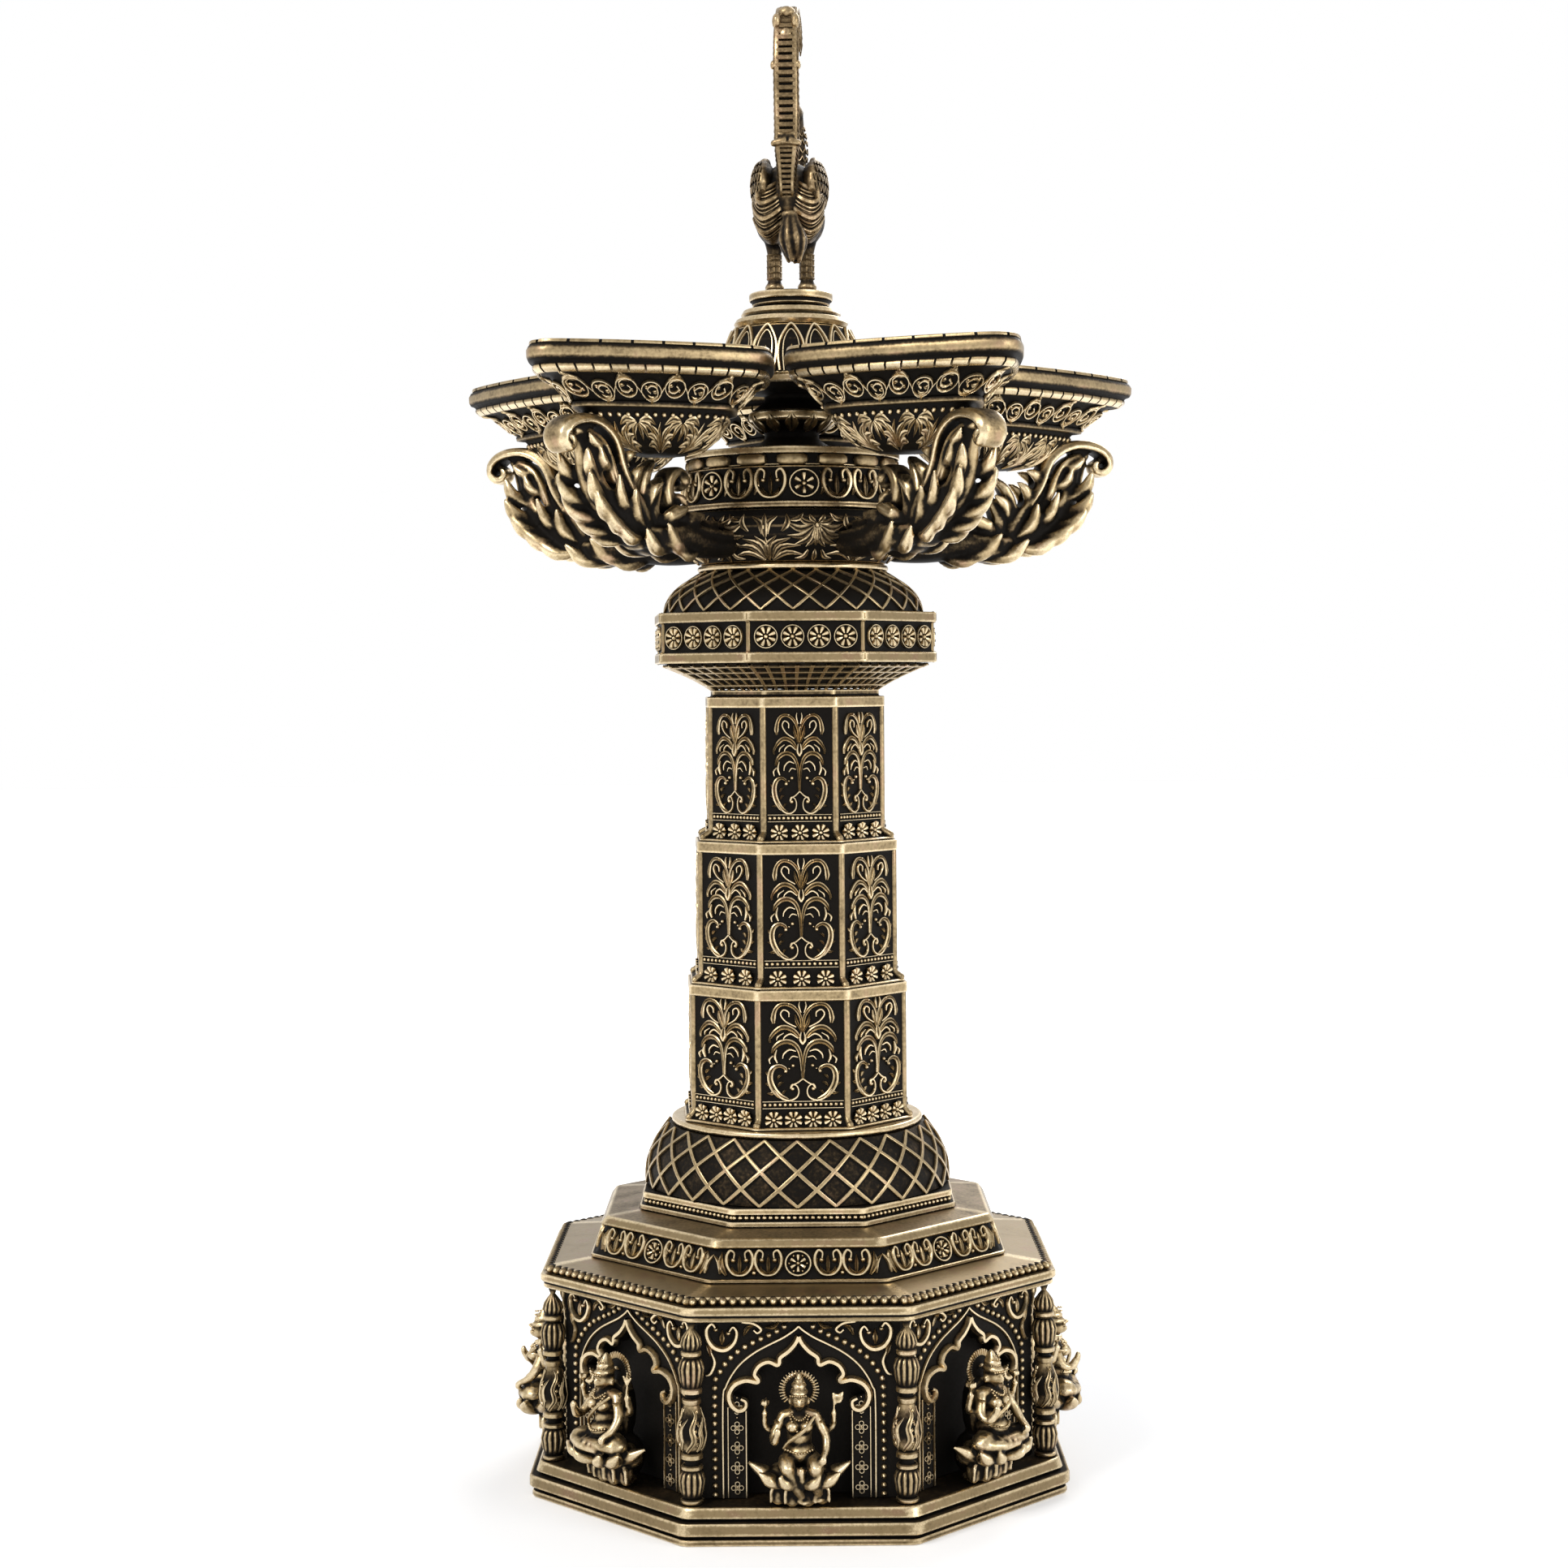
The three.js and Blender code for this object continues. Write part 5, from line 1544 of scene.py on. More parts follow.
@dataclass
class CapitalBand:
    """The wide octagonal band with framed rosettes."""

    radius: float = 51.8
    panel_radius: float = 50.3
    frame_height: float = 3.4
    inner: float = 45.6
    azimuth: float = 5.0
    rosettes: int = 4
    rosette_radius: float = 3.3
    ring_radius: float = 3.8
    pitch: float = 8.9

    def build(self) -> None:
        """Builds the band."""
        low, high = level("capital_band")
        lower, upper = low + self.frame_height, high - self.frame_height
        sculpt = Sculpt()
        sculpt.casting([
            (self.radius, low, PLAIN), (self.radius, lower, SHADE),
            (self.panel_radius, lower, PIT), (self.panel_radius, upper, SHADE),
            (self.radius, upper, PLAIN), (self.radius, high, WORN),
            (self.inner, high, PIT), (self.inner, low, PIT),
        ], OCTAGON, 0.3, self.azimuth)
        panel = Panel()
        height = upper - lower
        for k in range(self.rosettes):
            place = ((k + 0.5 - self.rosettes / 2) * self.pitch, height / 2)
            panel.rosette(place, self.rosette_radius, 8, 1.5)
            ring = oval(place, self.ring_radius, self.ring_radius)
            panel.stroke(ring, (0.6, 0.6), 1.1, closed=True, steps=2)
        for azimuth in facets(self.azimuth):
            reach = self.panel_radius * FLAT
            sculpt.lay(panel, Facet(azimuth, (reach, lower), (reach, upper)))
            self.corner(sculpt, azimuth + FACET_ANGLE / 2, low, high)
        # The darker brushed brass here paints the dark reflection on the band's faces.
        sculpt.build("capital_band_casting", SLAB, "capital", "cast_brass", "capital_band")

    def corner(self, sculpt: Sculpt, azimuth: float, low: float, high: float) -> None:
        """Adds the post of one corner, swollen where it crosses the frames."""
        out, _ = compass(azimuth)
        lower, upper = low + self.frame_height, high - self.frame_height
        frame, panel = self.radius - 1.3, self.panel_radius - 0.4
        for start, end, radius, size in ((low + 0.9, lower - 0.6, frame, 1.15),
                                         (lower + 0.4, upper - 0.4, panel, 0.8),
                                         (upper + 0.6, high - 0.9, frame, 1.15)):
            line = [(*(out * radius), height) for height in (start, (start + end) / 2, end)]
            sculpt.bar(line, (size, size), 10, 2)


# Urn, stem and crown


@dataclass
class Turned:
    """A turned piece that carries an ornament on its side.

    Attributes:
        node: the solid that it stands for.
        body: moving body.
        corners: profile as radius, height above the piece's foot, and tone.
        ease: size of the broken edges.
        slot: material slot.
        finish: its finish.
    """

    node: str
    body: str
    corners: tuple[Corner, ...]
    ease: float = 0.25
    slot: str = "turned_brass"
    finish: Finish = CAST

    def ornament(self, sculpt: Sculpt, low: float) -> None:
        """Adds what stands out of the side, nothing here."""

    def build(self) -> None:
        """Builds the piece."""
        low, _ = level(self.node)
        sculpt = Sculpt()
        sculpt.casting([(radius, low + height, tone) for radius, height, tone in self.corners],
                       CIRCLE, self.ease)
        self.ornament(sculpt, low)
        sculpt.build(f"{self.node}_casting", self.finish, self.body, self.slot, self.node)


URN_GAUGE = 38.0


@dataclass
class UrnBowl(Turned):
    """The flowered bowl of the urn."""

    sprays: int = 7
    petals: tuple[tuple[float, float, float, float], ...] = (
        (34, 4.6, 1.8, 0.1), (62, 7, 2.2, 0.16), (86, 9.6, 2.7, 0.2), (110, 10.4, 2.9, 0.2),
        (134, 10.2, 2.8, 0.16), (157, 8.8, 2.6, 0.12), (178, 7.4, 2.2, 0.04))
    leaves: tuple[tuple[float, float, float, float], ...] = (
        (20, 10.8, 2.6, 0.2), (42, 12.4, 2.8, 0.24), (62, 13.4, 2.7, 0.24), (80, 13.4, 2.4, 0.2))

    def ornament(self, sculpt: Sculpt, low: float) -> None:
        """Adds drooping flowers with plants of long leaves between them."""
        side = ((32.1, low), (34.6, low + 2.6), (37.4, low + 5.9), (39.2, low + 8.8), (40.1, low + 11.7),
                (39.7, low + 14.8), (38.4, low + 17.8))
        panel = Panel()
        pitch = 2 * math.pi * URN_GAUGE / self.sprays
        for k in range(self.sprays):
            flower, root = (k * pitch, 14.6), ((k + 0.5) * pitch, 0.8)
            for angle, length, width, bend in self.petals:
                for facing in (-1, 1):
                    self.ray(panel, flower, angle * facing, 1, length, width, bend * facing)
            for angle, length, width, bend in self.leaves:
                for facing in (-1, 1):
                    self.ray(panel, root, angle * facing, 1.6, length, width, -bend * facing)
            panel.bead(flower, 1.1, 1.2)
            panel.leaf((root[0], 10.6), (root[0], 18.6), 2.8, 0.9)
            panel.leaf((root[0], 1), (root[0], 10.4), 2.2, 0.9)
            for middle, start, end, width, bend in (
                (root[0], (0.8, 11.6), (4.2, 17.6), 2.4, -0.2), (root[0], (5.6, 12.6), (7, 18.6), 2.2, 0.2),
                (root[0], (8.4, 16.2), (12.6, 18.8), 1.9, 0.2), (flower[0], (2.4, 5.4), (7.2, 1.6), 2, 0.2),
            ):
                for facing in (-1, 1):
                    panel.leaf((middle + facing * start[0], start[1]), (middle + facing * end[0], end[1]),
                               width, 0.9, bend * facing)
            panel.leaf((flower[0], 0.6), (flower[0], 5.6), 2.2, 0.9)
        sculpt.lay(panel, Revolved(12, side, URN_GAUGE))

    def ray(self, panel: Panel, centre: Pair, angle: float, start: float, end: float, width: float,
            bend: float) -> None:
        """Adds a leaf that leaves a centre at an angle from straight up."""
        ray = np.array([math.sin(math.radians(angle)), math.cos(math.radians(angle))])
        panel.leaf(np.array(centre) + ray * start, np.array(centre) + ray * end, width, 0.9, bend)


@dataclass
class UrnFrieze(Turned):
    """The scroll frieze of the urn, over its fillet."""

    groups: int = 7

    def ornament(self, sculpt: Sculpt, low: float) -> None:
        """Adds flowers in rings with lyres between them."""
        panel = Panel()
        pitch = 2 * math.pi * URN_GAUGE / self.groups
        for k in range(self.groups):
            start = k * pitch
            panel.stroke(oval((start, 6), 4.8, 4.6), (0.9, 0.9), 1.3, closed=True, steps=2)
            panel.rosette((start, 6), 3.4, 6, 1.4)
            for middle in (11.4, 22.8):
                panel.lyre(start + middle, 4.9, 1, 10.9, 1.6, bold=1.15)
                panel.leaf((start + middle - 5.6, 2.2), (start + middle - 5.4, 8.6), 1.7, 1.3, 0.15)
        sculpt.lay(panel, Revolved(6, ((38, low + 1.9), (37.2, low + 14)), URN_GAUGE))


@dataclass
class UrnRim(Turned):
    """The ring of rolls under the urn's rim."""

    rolls: int = 16
    roll_radius: float = 35.4
    roll_size: float = 2.1
    share: float = 0.5

    def ornament(self, sculpt: Sculpt, low: float) -> None:
        """Adds the rolls."""
        reach = 180 / self.rolls * self.share
        for k in range(self.rolls):
            outs = [compass(360 * k / self.rolls + turn)[0] for turn in np.linspace(-reach, reach, 5)]
            line = [(*(out * self.roll_radius), low + 2) for out in outs]
            sculpt.bar(line, (self.roll_size, self.roll_size), 12, 2, 0.75)


@dataclass
class Stem(Turned):
    """The turned stem of the crown, with lotus leaves round its knop."""

    leaves: int = 12

    def ornament(self, sculpt: Sculpt, low: float) -> None:
        """Adds petals that rise round the knop."""
        knop = ((9.6, low + 7), (13, low + 10), (15.4, low + 12), (15.4, low + 13.6),
                (12.5, low + 16))
        panel = Panel()
        pitch = 2 * math.pi * 15 / self.leaves
        for k in range(self.leaves):
            panel.leaf((k * pitch, 0.6), (k * pitch, 8.6), pitch * 0.8, 1)
        sculpt.lay(panel, Revolved(0, knop, 15))


@dataclass
class PetalDome(Turned):
    """The dome of pointed petals under the crown rings."""

    petals: int = 16
    radius: float = 26.2
    top: float = 20.4
    bulge: float = 0.7
    height: float = 17.6

    def ornament(self, sculpt: Sculpt, low: float) -> None:
        """Adds the petals, each a double outline round a hollow."""
        side = []
        for share in np.linspace(0, 1, 8):
            straight = self.radius + (self.top - self.radius) * share
            side.append((straight + self.bulge * math.sin(math.pi * share) - 0.9, low + self.height * share))
        panel = Panel()
        pitch = 2 * math.pi * self.radius / self.petals
        rise = self.height + 0.6
        for k in range(self.petals):
            middle = k * pitch
            for inset, width, height in ((0.35, 1.5, 1.5), (2.1, 0.8, 1)):
                half = pitch / 2 - inset
                outline = [(half * 0.82, 0.4), (half, rise * 0.34), (half * 0.92, rise * 0.62),
                           (half * 0.5, rise * 0.86 - inset * 0.6), (0, rise - inset * 1.2)]
                points = [(middle + u, v) for u, v in outline]
                points += [(middle - u, v) for u, v in outline[-2::-1]]
                panel.stroke(points, (width, width), height, steps=3)
            panel.leaf((middle, 2.4), (middle, rise * 0.7), 1.3, 0.6)
        sculpt.lay(panel, Revolved(0, tuple(side), self.radius))


@dataclass
class CrownRings(Turned):
    """Two round rings under the perch."""

    def ornament(self, sculpt: Sculpt, low: float) -> None:
        """Adds the rings."""
        for radius, height in ((18.4, low + 1.6), (15.9, low + 4.8)):
            sculpt.patches.append(hoop((0, 0, height), radius, 1.58, 64))


def head_pieces() -> list[Turned]:
    """Returns the turned pieces between the capital and the bird."""
    # The urn bowl and frieze take the darker brass as painted shade under the oil bowls.
    urn = UrnBowl("urn_bowl", "head", (
        (32.1, 0, SHADE), (34.6, 2.6, 0.14), (37.4, 5.9, 0.14), (39.2, 8.8, 0.14),
        (40.1, 11.7, 0.14), (39.7, 14.8, 0.14), (38.4, 17.8, PIT), (35.4, 17.8, PIT),
        (37.1, 11.7, PIT), (34.4, 5.9, PIT), (29.1, 3, PIT), (12, 3, PIT),
        (12, 9, PIT), (4.4, 9, PIT), (4.4, 0, PIT)), slot="cast_brass", finish=SHADED_BRASS)
    frieze = UrnFrieze("urn_frieze", "head", (
        (40, 0, PLAIN), (40, 1.9, SHADE), (38, 1.9, PIT), (37.2, 14, SHADE),
        (34.2, 14, PIT), (34.2, 0, PIT)), slot="cast_brass", finish=SHADED_BRASS)
    rim = UrnRim("urn_rim", "head", (
        (35.2, 0, PIT), (35.2, 4, PIT), (37.6, 4, PLAIN), (37.6, 6.2, WORN),
        (5.5, 6.2, PIT), (5.5, 3.8, PIT), (32.8, 3.8, PIT), (32.8, 0, PIT)))
    stem = Stem("stem", "head", (
        (15, 0, PLAIN), (15, 1.5, SHADE), (9.5, 5.1, PIT), (9.5, 7.7, SHADE),
        (15.1, 11.5, PLAIN), (15.1, 14.1, SHADE), (9.5, 18.4, PIT), (9.5, 20.5, SHADE),
        (25.4, 23, PLAIN), (25.4, 25.6, SHADE), (5.5, 25.6, PIT), (5.5, 0, PIT)), 0.4)
    dome = PetalDome("petal_dome", "head", (
        (25.2, 0, PIT), (24.2, 6, PIT), (22.6, 12, PIT), (19.6, 17.6, PIT),
        (18, 17.6, PIT), (21, 12, PIT), (22.4, 6, PIT), (23.2, 0, PIT)),
        slot="cast_brass")
    crown = CrownRings("crown_rings", "head", (
        (19, 0, SHADE), (19.4, 1.6, WORN), (19, 3.2, SHADE), (16.6, 3.2, SHADE),
        (17, 4.8, WORN), (16.6, 6.4, WORN), (3.3, 6.4, PIT), (3.3, 3.8, PIT),
        (14.5, 3.8, PIT), (14.5, 0, PIT)), 0.15)
    perch = Turned("perch_disc", "bird", (
        (13.6, 0, SHADE), (13.6, 1.7, SHADE), (14.6, 1.9, PLAIN), (14.6, 4.4, WORN),
        (4, 4.4, SHADE), (3.3, 4, PIT), (3.3, 0, PIT)), 0.3)
    return [urn, frieze, rim, stem, dome, crown, perch]


# Oil bowls and brackets


@dataclass
class OilBowls:
    """The five leaf-shaped oil bowls, with a frieze and a flowered underside."""

    count: int = 5
    first: float = 32.5
    distance: float = 68.3
    apex: float = 58.3
    heel: float = 39.5
    half: float = 41.2
    rim: float = 33.8
    wreaths: int = 26
    tiles: int = 46
    edge_tiles: int = 26
    beads: int = 54
    lilies: int = 10
    swell: float = 1.75
    outer: int = 24
    plan_shares: tuple[Pair, ...] = (
        (1, 0), (0.926, 0.19), (0.585, 0.56), (0.22, 0.86), (0, 0.99), (-0.18, 1), (-0.393, 0.877),
        (-0.642, 0.684), (-0.87, 0.48), (-0.977, 0.24), (-1, 0))
    levels: tuple[Corner, ...] = (
        (0, 33.3, 0.2), (0.22, 33, 0.14), (0.38, 31, 0.14), (0.5, 27, 0.14),
        (0.575, 23, PIT), (0.6, 20.6, PIT), (0.615, 19.9, SHADE), (0.67, 19.6, PLAIN),
        (0.675, 18.2, SHADE), (0.66, 17.9, PIT), (0.745, 14.4, PIT), (0.835, 10.4, PIT),
        (0.885, 10, SHADE), (0.9, 9.9, PLAIN), (0.95, 7.5, SHADE), (0.955, 7, PIT),
        (0.962, 6.7, PIT), (0.985, 6.2, SHADE), (0.998, 5, PLAIN), (1, 3, PLAIN),
        (0.985, 1.7, SHADE), (0.972, 1.4, PIT), (0.968, 0.5, PIT),
        (0.96, 0, SHADE), (0.925, 0, PLAIN), (0.91, 0.5, WORN),
        (0.895, 3, WORN), (0.86, 5.4, WORN), (0.72, 11.2, PLAIN), (0.58, 16.9, PLAIN),
        (0.4, 25.7, WORN), (0.2, 29.7, SHADE), (0, 30.7, SHADE))

    def plan(self, samples: int = 12) -> Array:
        """Returns the closed plan of the rim, along and across, in millimetres."""
        right = [(self.apex * a if a > 0 else self.heel * a, self.half * b) for a, b in self.plan_shares]
        left = [(a, -b) for a, b in right[-2:0:-1]]
        knots = np.array([*right, *left])
        return smooth(knots, samples, closed=True)

    def shell(self) -> Patch:
        """Returns the bowl's wall, inside and outside."""
        plan = self.plan(8)
        grid = np.zeros((len(self.levels), len(plan), 3))
        tones = np.zeros(grid.shape[:2])
        for row, (share, drop, tone) in enumerate(self.levels):
            grid[row, :, :2] = plan * share
            grid[row, :, 2] = self.rim - drop
            tones[row] = tone
        return Patch(grid, tones, True)

    def around(self) -> "PlanSkin":
        """Returns the outside of the wall as a skin."""
        outside = [(share, drop) for share, drop, _ in self.levels[:self.outer]]
        return PlanSkin(self.plan(12), tuple(outside), self.rim)

    def frieze(self, skin: "PlanSkin") -> list[Patch]:
        """Returns the wavy vine round the wall, with a curling sprig in each of its bends."""
        panel = Panel()
        pitch = skin.length / self.wreaths
        sprig = ((-0.1, -0.95), (0.6, -0.5), (0.55, 0.35), (0, 0.55), (-0.4, 0.15), (-0.1, -0.2))
        shoots = (((0.3, -0.7), (-0.45, -0.5)), ((0.6, 0), (0.12, -0.1)), ((-0.3, 0.35), (-0.66, 0.5)),
                  ((0.5, 0.3), (0.7, 0.62)))
        ring, vine = np.array(oval((0, 0), 1, 1, 10)), []
        for k in range(self.wreaths):
            facing = 1 if k % 2 else -1
            half = pitch * 0.42
            middle, height = (k + 0.5) * pitch, 14.1 + 0.55 * facing
            centre, scale = np.array([middle, height]), np.array([half, -2.75]) * facing
            panel.stroke(centre + scale * ring, (0.7, 0.7), 1.1, closed=True, steps=2)
            panel.stroke(centre + scale * np.array(sprig), (0.7, 0.95, 0.8, 0.8), 1, steps=2)
            for root, tip in shoots:
                panel.leaf(centre + scale * root, centre + scale * tip, 1.2, 1, 0.15)
            for share, rise in ((-0.62, 2.45), (0, 3.1), (0.62, 2.45)):
                vine.append((middle + share * half, height + facing * rise))
            panel.leaf((middle, height + facing * 3), (middle, height + facing * 4.2), 1.6, 1.1)
        vine.append((vine[0][0] + skin.length, vine[0][1]))
        panel.stroke(vine, (0.65, 0.65), 1, steps=2)
        return panel.on(skin)

    def borders(self, skin: "PlanSkin") -> list[Patch]:
        """Returns the tiles under the rim, the segments of its edge and the beads."""
        panel = Panel()
        pitch = skin.length / self.tiles
        for k in range(self.tiles):
            start = (k + 0.07) * pitch
            panel.stroke([(start, 8.6), (start + pitch * 0.86, 8.6)], (2.5, 2.5), 1.1, steps=2)
        pitch = skin.length / self.edge_tiles
        for k in range(self.edge_tiles):
            start = (k + 0.05) * pitch
            panel.stroke([(start, 0.7), (start + pitch * 0.45, 0.7), (start + pitch * 0.9, 0.7)], (1.2, 1.2),
                         0.5, Section.FLAT, steps=2)
        for k in range(self.beads):
            panel.bead(((k + 0.5) * skin.length / self.beads, 21.8), 1.55, 1, around=6, stretch=0.62)
        return panel.on(skin)

    def flowers(self, skin: "PlanSkin") -> list[Patch]:
        """Returns the lilies and leaves under the bowl."""
        panel = Panel()
        pitch = skin.length / self.lilies
        sprays = ((0, 23.6, 1, 0.14, ((0, 6.2), (26, 6.6), (52, 7), (78, 6.4))),
                  (0.5, 32.6, -1, 0.16, ((0, 8.6), (24, 8.2), (50, 7.4), (76, 6))))
        for k in range(self.lilies):
            for step, height, upright, bend, rays in sprays:
                centre = np.array([(k + step) * pitch, height])
                for angle, length in rays:
                    lean = math.radians(angle)
                    for facing in ((-1, 1) if angle else (1,)):
                        ray = np.array([math.sin(lean) * self.swell * facing, math.cos(lean) * upright])
                        panel.leaf(centre + ray * 0.8, centre + ray * length, 2.6, 0.85, bend * facing)
        return panel.on(skin)

    def build(self) -> None:
        """Builds the five bowls."""
        low, _ = level("oil_bowl_1")
        skin = self.around()
        own = [self.shell(), *self.frieze(skin), *self.borders(skin), *self.flowers(skin)]
        mesh = patch_mesh("oil_bowl_form", own, CAST)
        for k in range(self.count):
            azimuth = self.first + k * 360 / self.count
            place_copy(mesh, f"oil_bowl_casting_{k + 1}", Seat(azimuth, self.distance, low, -90), "head",
                       f"oil_bowl_{k + 1}")


@dataclass
class PlanSkin:
    """The outside of a bowl: across runs round the rim, up counts down from its top.

    Attributes:
        plan: closed rim line.
        levels: plan share and drop pairs.
        rim: level of the rim's top.
        step: distance to the two points of the rim that give its direction.
        reach: distance to the two levels that give the wall's lean.
    """

    plan: Array
    levels: tuple[Pair, ...]
    rim: float
    step: float = 0.6
    reach: float = 1.2

    def __post_init__(self) -> None:
        """Measures the rim line."""
        self.closed = np.vstack([self.plan, self.plan[:1]])
        self.run = run_of(self.closed)
        self.length = float(self.run[-1])

    def at(self, along: Array) -> Array:
        """Returns points of the rim line at distances round it."""
        return sampled(self.closed, self.run, np.mod(along, self.length))

    def place(self, points: Array) -> Array:
        """Returns panel points as points of the bowl, in millimetres."""
        along, drop = points[:, 0], points[:, 1]
        plan = self.at(along)
        out = unit(self.at(along + self.step) - self.at(along - self.step))[:, ::-1] * (1, -1)
        flip = np.sign(np.einsum("ij,ij->i", out, plan))
        out *= np.where(flip == 0, 1, flip)[:, None]
        table = np.array(sorted(self.levels, key=lambda pair: pair[1]), float)
        share, lower, upper = (np.interp(drop + shift, table[:, 1], table[:, 0])
                               for shift in (0, self.reach, -self.reach))
        lean = (upper - lower) * np.linalg.norm(plan, axis=1)
        slant = np.hypot(lean, 2 * self.reach)
        grid = plan * share[:, None] + out * (points[:, 2] * 2 * self.reach / slant)[:, None]
        return np.column_stack([grid, self.rim - drop - points[:, 2] * lean / slant])


@dataclass(frozen=True)
class Seat:
    """Where a copy of a shared mesh stands.

    Attributes:
        azimuth: direction of its place, degrees from the front.
        reach: distance of its zero point from the axis, in millimetres.
        height: level of its zero point.
        turn: its turn past the azimuth, degrees.
    """

    azimuth: float
    reach: float
    height: float
    turn: float = 0.0


def place_copy(mesh: bpy.types.Mesh, name: str, seat: Seat, body: str, node: str) -> None:
    """Puts a piece that uses a shared mesh at its seat.

    Args:
        mesh: the shared mesh.
        name: name of the piece.
        seat: where it stands.
        body: moving body that carries it.
        node: solid that it stands for.
    """
    piece = linked(name, mesh)
    out, _ = compass(seat.azimuth)
    piece.rotation_euler = (0, 0, math.radians(seat.azimuth + seat.turn))
    piece.location = (*(out * seat.reach * METRES_PER_MM), seat.height * METRES_PER_MM)
    mount(piece, body, node)


@dataclass
class Brackets:
    """The five scroll brackets of acanthus leaves, drawn as reach, level and distance sideways.

    Attributes:
        count: brackets round the urn.
        first: azimuth of the first one.
        voxel: cell of the melted forms, in millimetres.
        arm: line of the arm that joins the bracket to the urn.
        ribbons: line, radii and breadth of each flat scroll.
        borders: line and radii of the raised edges on both sides.
        lobes: root, tip, distance sideways and size of each leaf.
        midrib: line of the rib under the leaves.
        knobs: place and size of each bead.
        threads: level and distance sideways of the grooved threads along the arm.
        foot: reach and span over which the painted shade near the urn fades out outwards.
    """

    count: int = 5
    first: float = 32.5
    voxel: float = 0.72
    arm: tuple[Pair, ...] = (
        (37, 319.6), (46, 319.4), (54, 320.4), (61, 321.8), (68, 321), (75, 319.8), (80, 320.8))
    ribbons: tuple[tuple[tuple[Pair, ...], tuple[float, ...], float], ...] = (
        (((78.5, 324), (81.6, 330), (86.5, 336), (90.4, 342), (92.2, 348), (95, 353), (99.4, 356.2),
          (104.4, 357.2), (109.6, 357), (114, 355.6), (116.9, 352.8), (117.2, 349.6), (115.2, 347.4),
          (112.6, 348), (111.8, 350.2), (113.4, 351.4)),
         (1.6, 1.8, 1.8, 1.8, 1.8, 1.8, 1.8, 1.8, 1.7, 1.6, 1.5, 1.4, 1.3, 1.2), 3),
        (((82, 325), (88, 331.6), (94, 339), (97, 346), (100.6, 350.8), (105.8, 353.2), (109.4, 353.4)),
         (1.8, 1.9, 1.9, 1.7, 1.5, 1), 2.6),
        (((107.4, 354), (104, 348), (102.2, 342), (100, 336.6), (95.6, 332.2), (90.2, 327.6), (85.4, 323),
          (80, 318.6)), (1.4, 2, 2.2, 2.4, 2.6, 2.8, 2.8, 2.4), 1.9),
        (((62, 321.8), (70, 320.6), (79, 321)), (3.6, 4.2, 3), 2.1),
        (((78, 322), (80, 329), (79.8, 336), (77.4, 341.6), (73, 345.6)), (2.4, 2.4, 2.2, 1.9, 1), 2),
        (((74, 323), (75, 330), (72.6, 336.6), (69.2, 340)), (2.2, 2.1, 1.8, 0.9), 2.2),
        (((52, 321), (60, 325.6), (66, 331), (67.6, 337), (64.8, 342), (60.2, 342.4), (58.2, 339.4),
          (60.4, 337.6)), (3.2, 2.8, 2.3, 2.1, 2, 1.8, 1.6, 1.4), 2),
    )
    borders: tuple[tuple[tuple[Corner, ...], tuple[float, ...]], ...] = (
        (((86, 334, 5), (91, 342, 5.2), (95.4, 351.6, 5.3), (104, 356.4, 5.4), (113.4, 355, 5.2),
          (116.9, 350.4, 4.7), (114.2, 347.6, 4.2)), (0.7, 0.85, 0.85, 0.85, 0.85, 0.75)),
        (((86, 329.6, 3.6), (92.6, 336.6, 4.4), (96, 344, 4.4), (99.6, 350.4, 4.2), (105.6, 353.4, 3.8)),
         (0.7, 0.9, 0.9, 0.7)),
    )
    lobes: tuple[tuple[Pair, Pair, float, float], ...] = (
        ((101, 337.6), (109.4, 347), 6.4, 3.5), ((98, 331.4), (109, 339.2), 7.2, 4),
        ((93, 327), (106.2, 332.6), 7.6, 4.1), ((87, 323.2), (101.4, 327.8), 7.6, 3.9),
        ((80.6, 320.6), (95.6, 323.4), 7.2, 3.5), ((78.6, 329), (73.2, 338.6), 5.4, 2.8),
        ((79.6, 322.6), (88.4, 335.4), 7.4, 3.4), ((95, 341.6), (102.4, 348), 5.4, 2.6),
        ((97.6, 349.4), (107.4, 352.4), 5.2, 2.3), ((73.6, 320.6), (63.2, 330.4), 7, 3.8),
        ((65.4, 319.8), (54.4, 328.4), 6.4, 3.8), ((66.4, 334.6), (60.6, 331.4), 4.8, 2.3),
        ((91, 342.6), (85.4, 347.6), 4.8, 2.6), ((86.6, 334.8), (82, 343.4), 4.8, 2.7),
        ((84.4, 326.6), (96.2, 339.4), 7.6, 3.2), ((55.4, 319), (45, 326.2), 5, 3.2),
        ((57, 316.6), (74, 324.4), 8.8, 3.9), ((69, 316.4), (84, 322.4), 8.4, 3.7),
        ((53, 317.6), (67, 316.6), 6.8, 3),
    )
    midrib: tuple[Pair, ...] = (
        (108.4, 352), (106.2, 345.6), (104, 339), (100.4, 333.2), (95, 328.6), (88.6, 324.2),
        (82, 319.6))
    knobs: tuple[tuple[float, float, float, float], ...] = (
        (103.6, 350, 2.6, 3.4), (64, 328.4, 5.4, 2.8), (67.4, 330.4, 5.8, 2.6),
        (70.6, 328.4, 6.4, 2.7), (60.4, 339.8, 3.6, 3.6))
    threads: tuple[Pair, ...] = ((317.6, 0), (319.2, 5.2), (322.6, 6), (325.4, 3))
    foot: Pair = (32, 42)

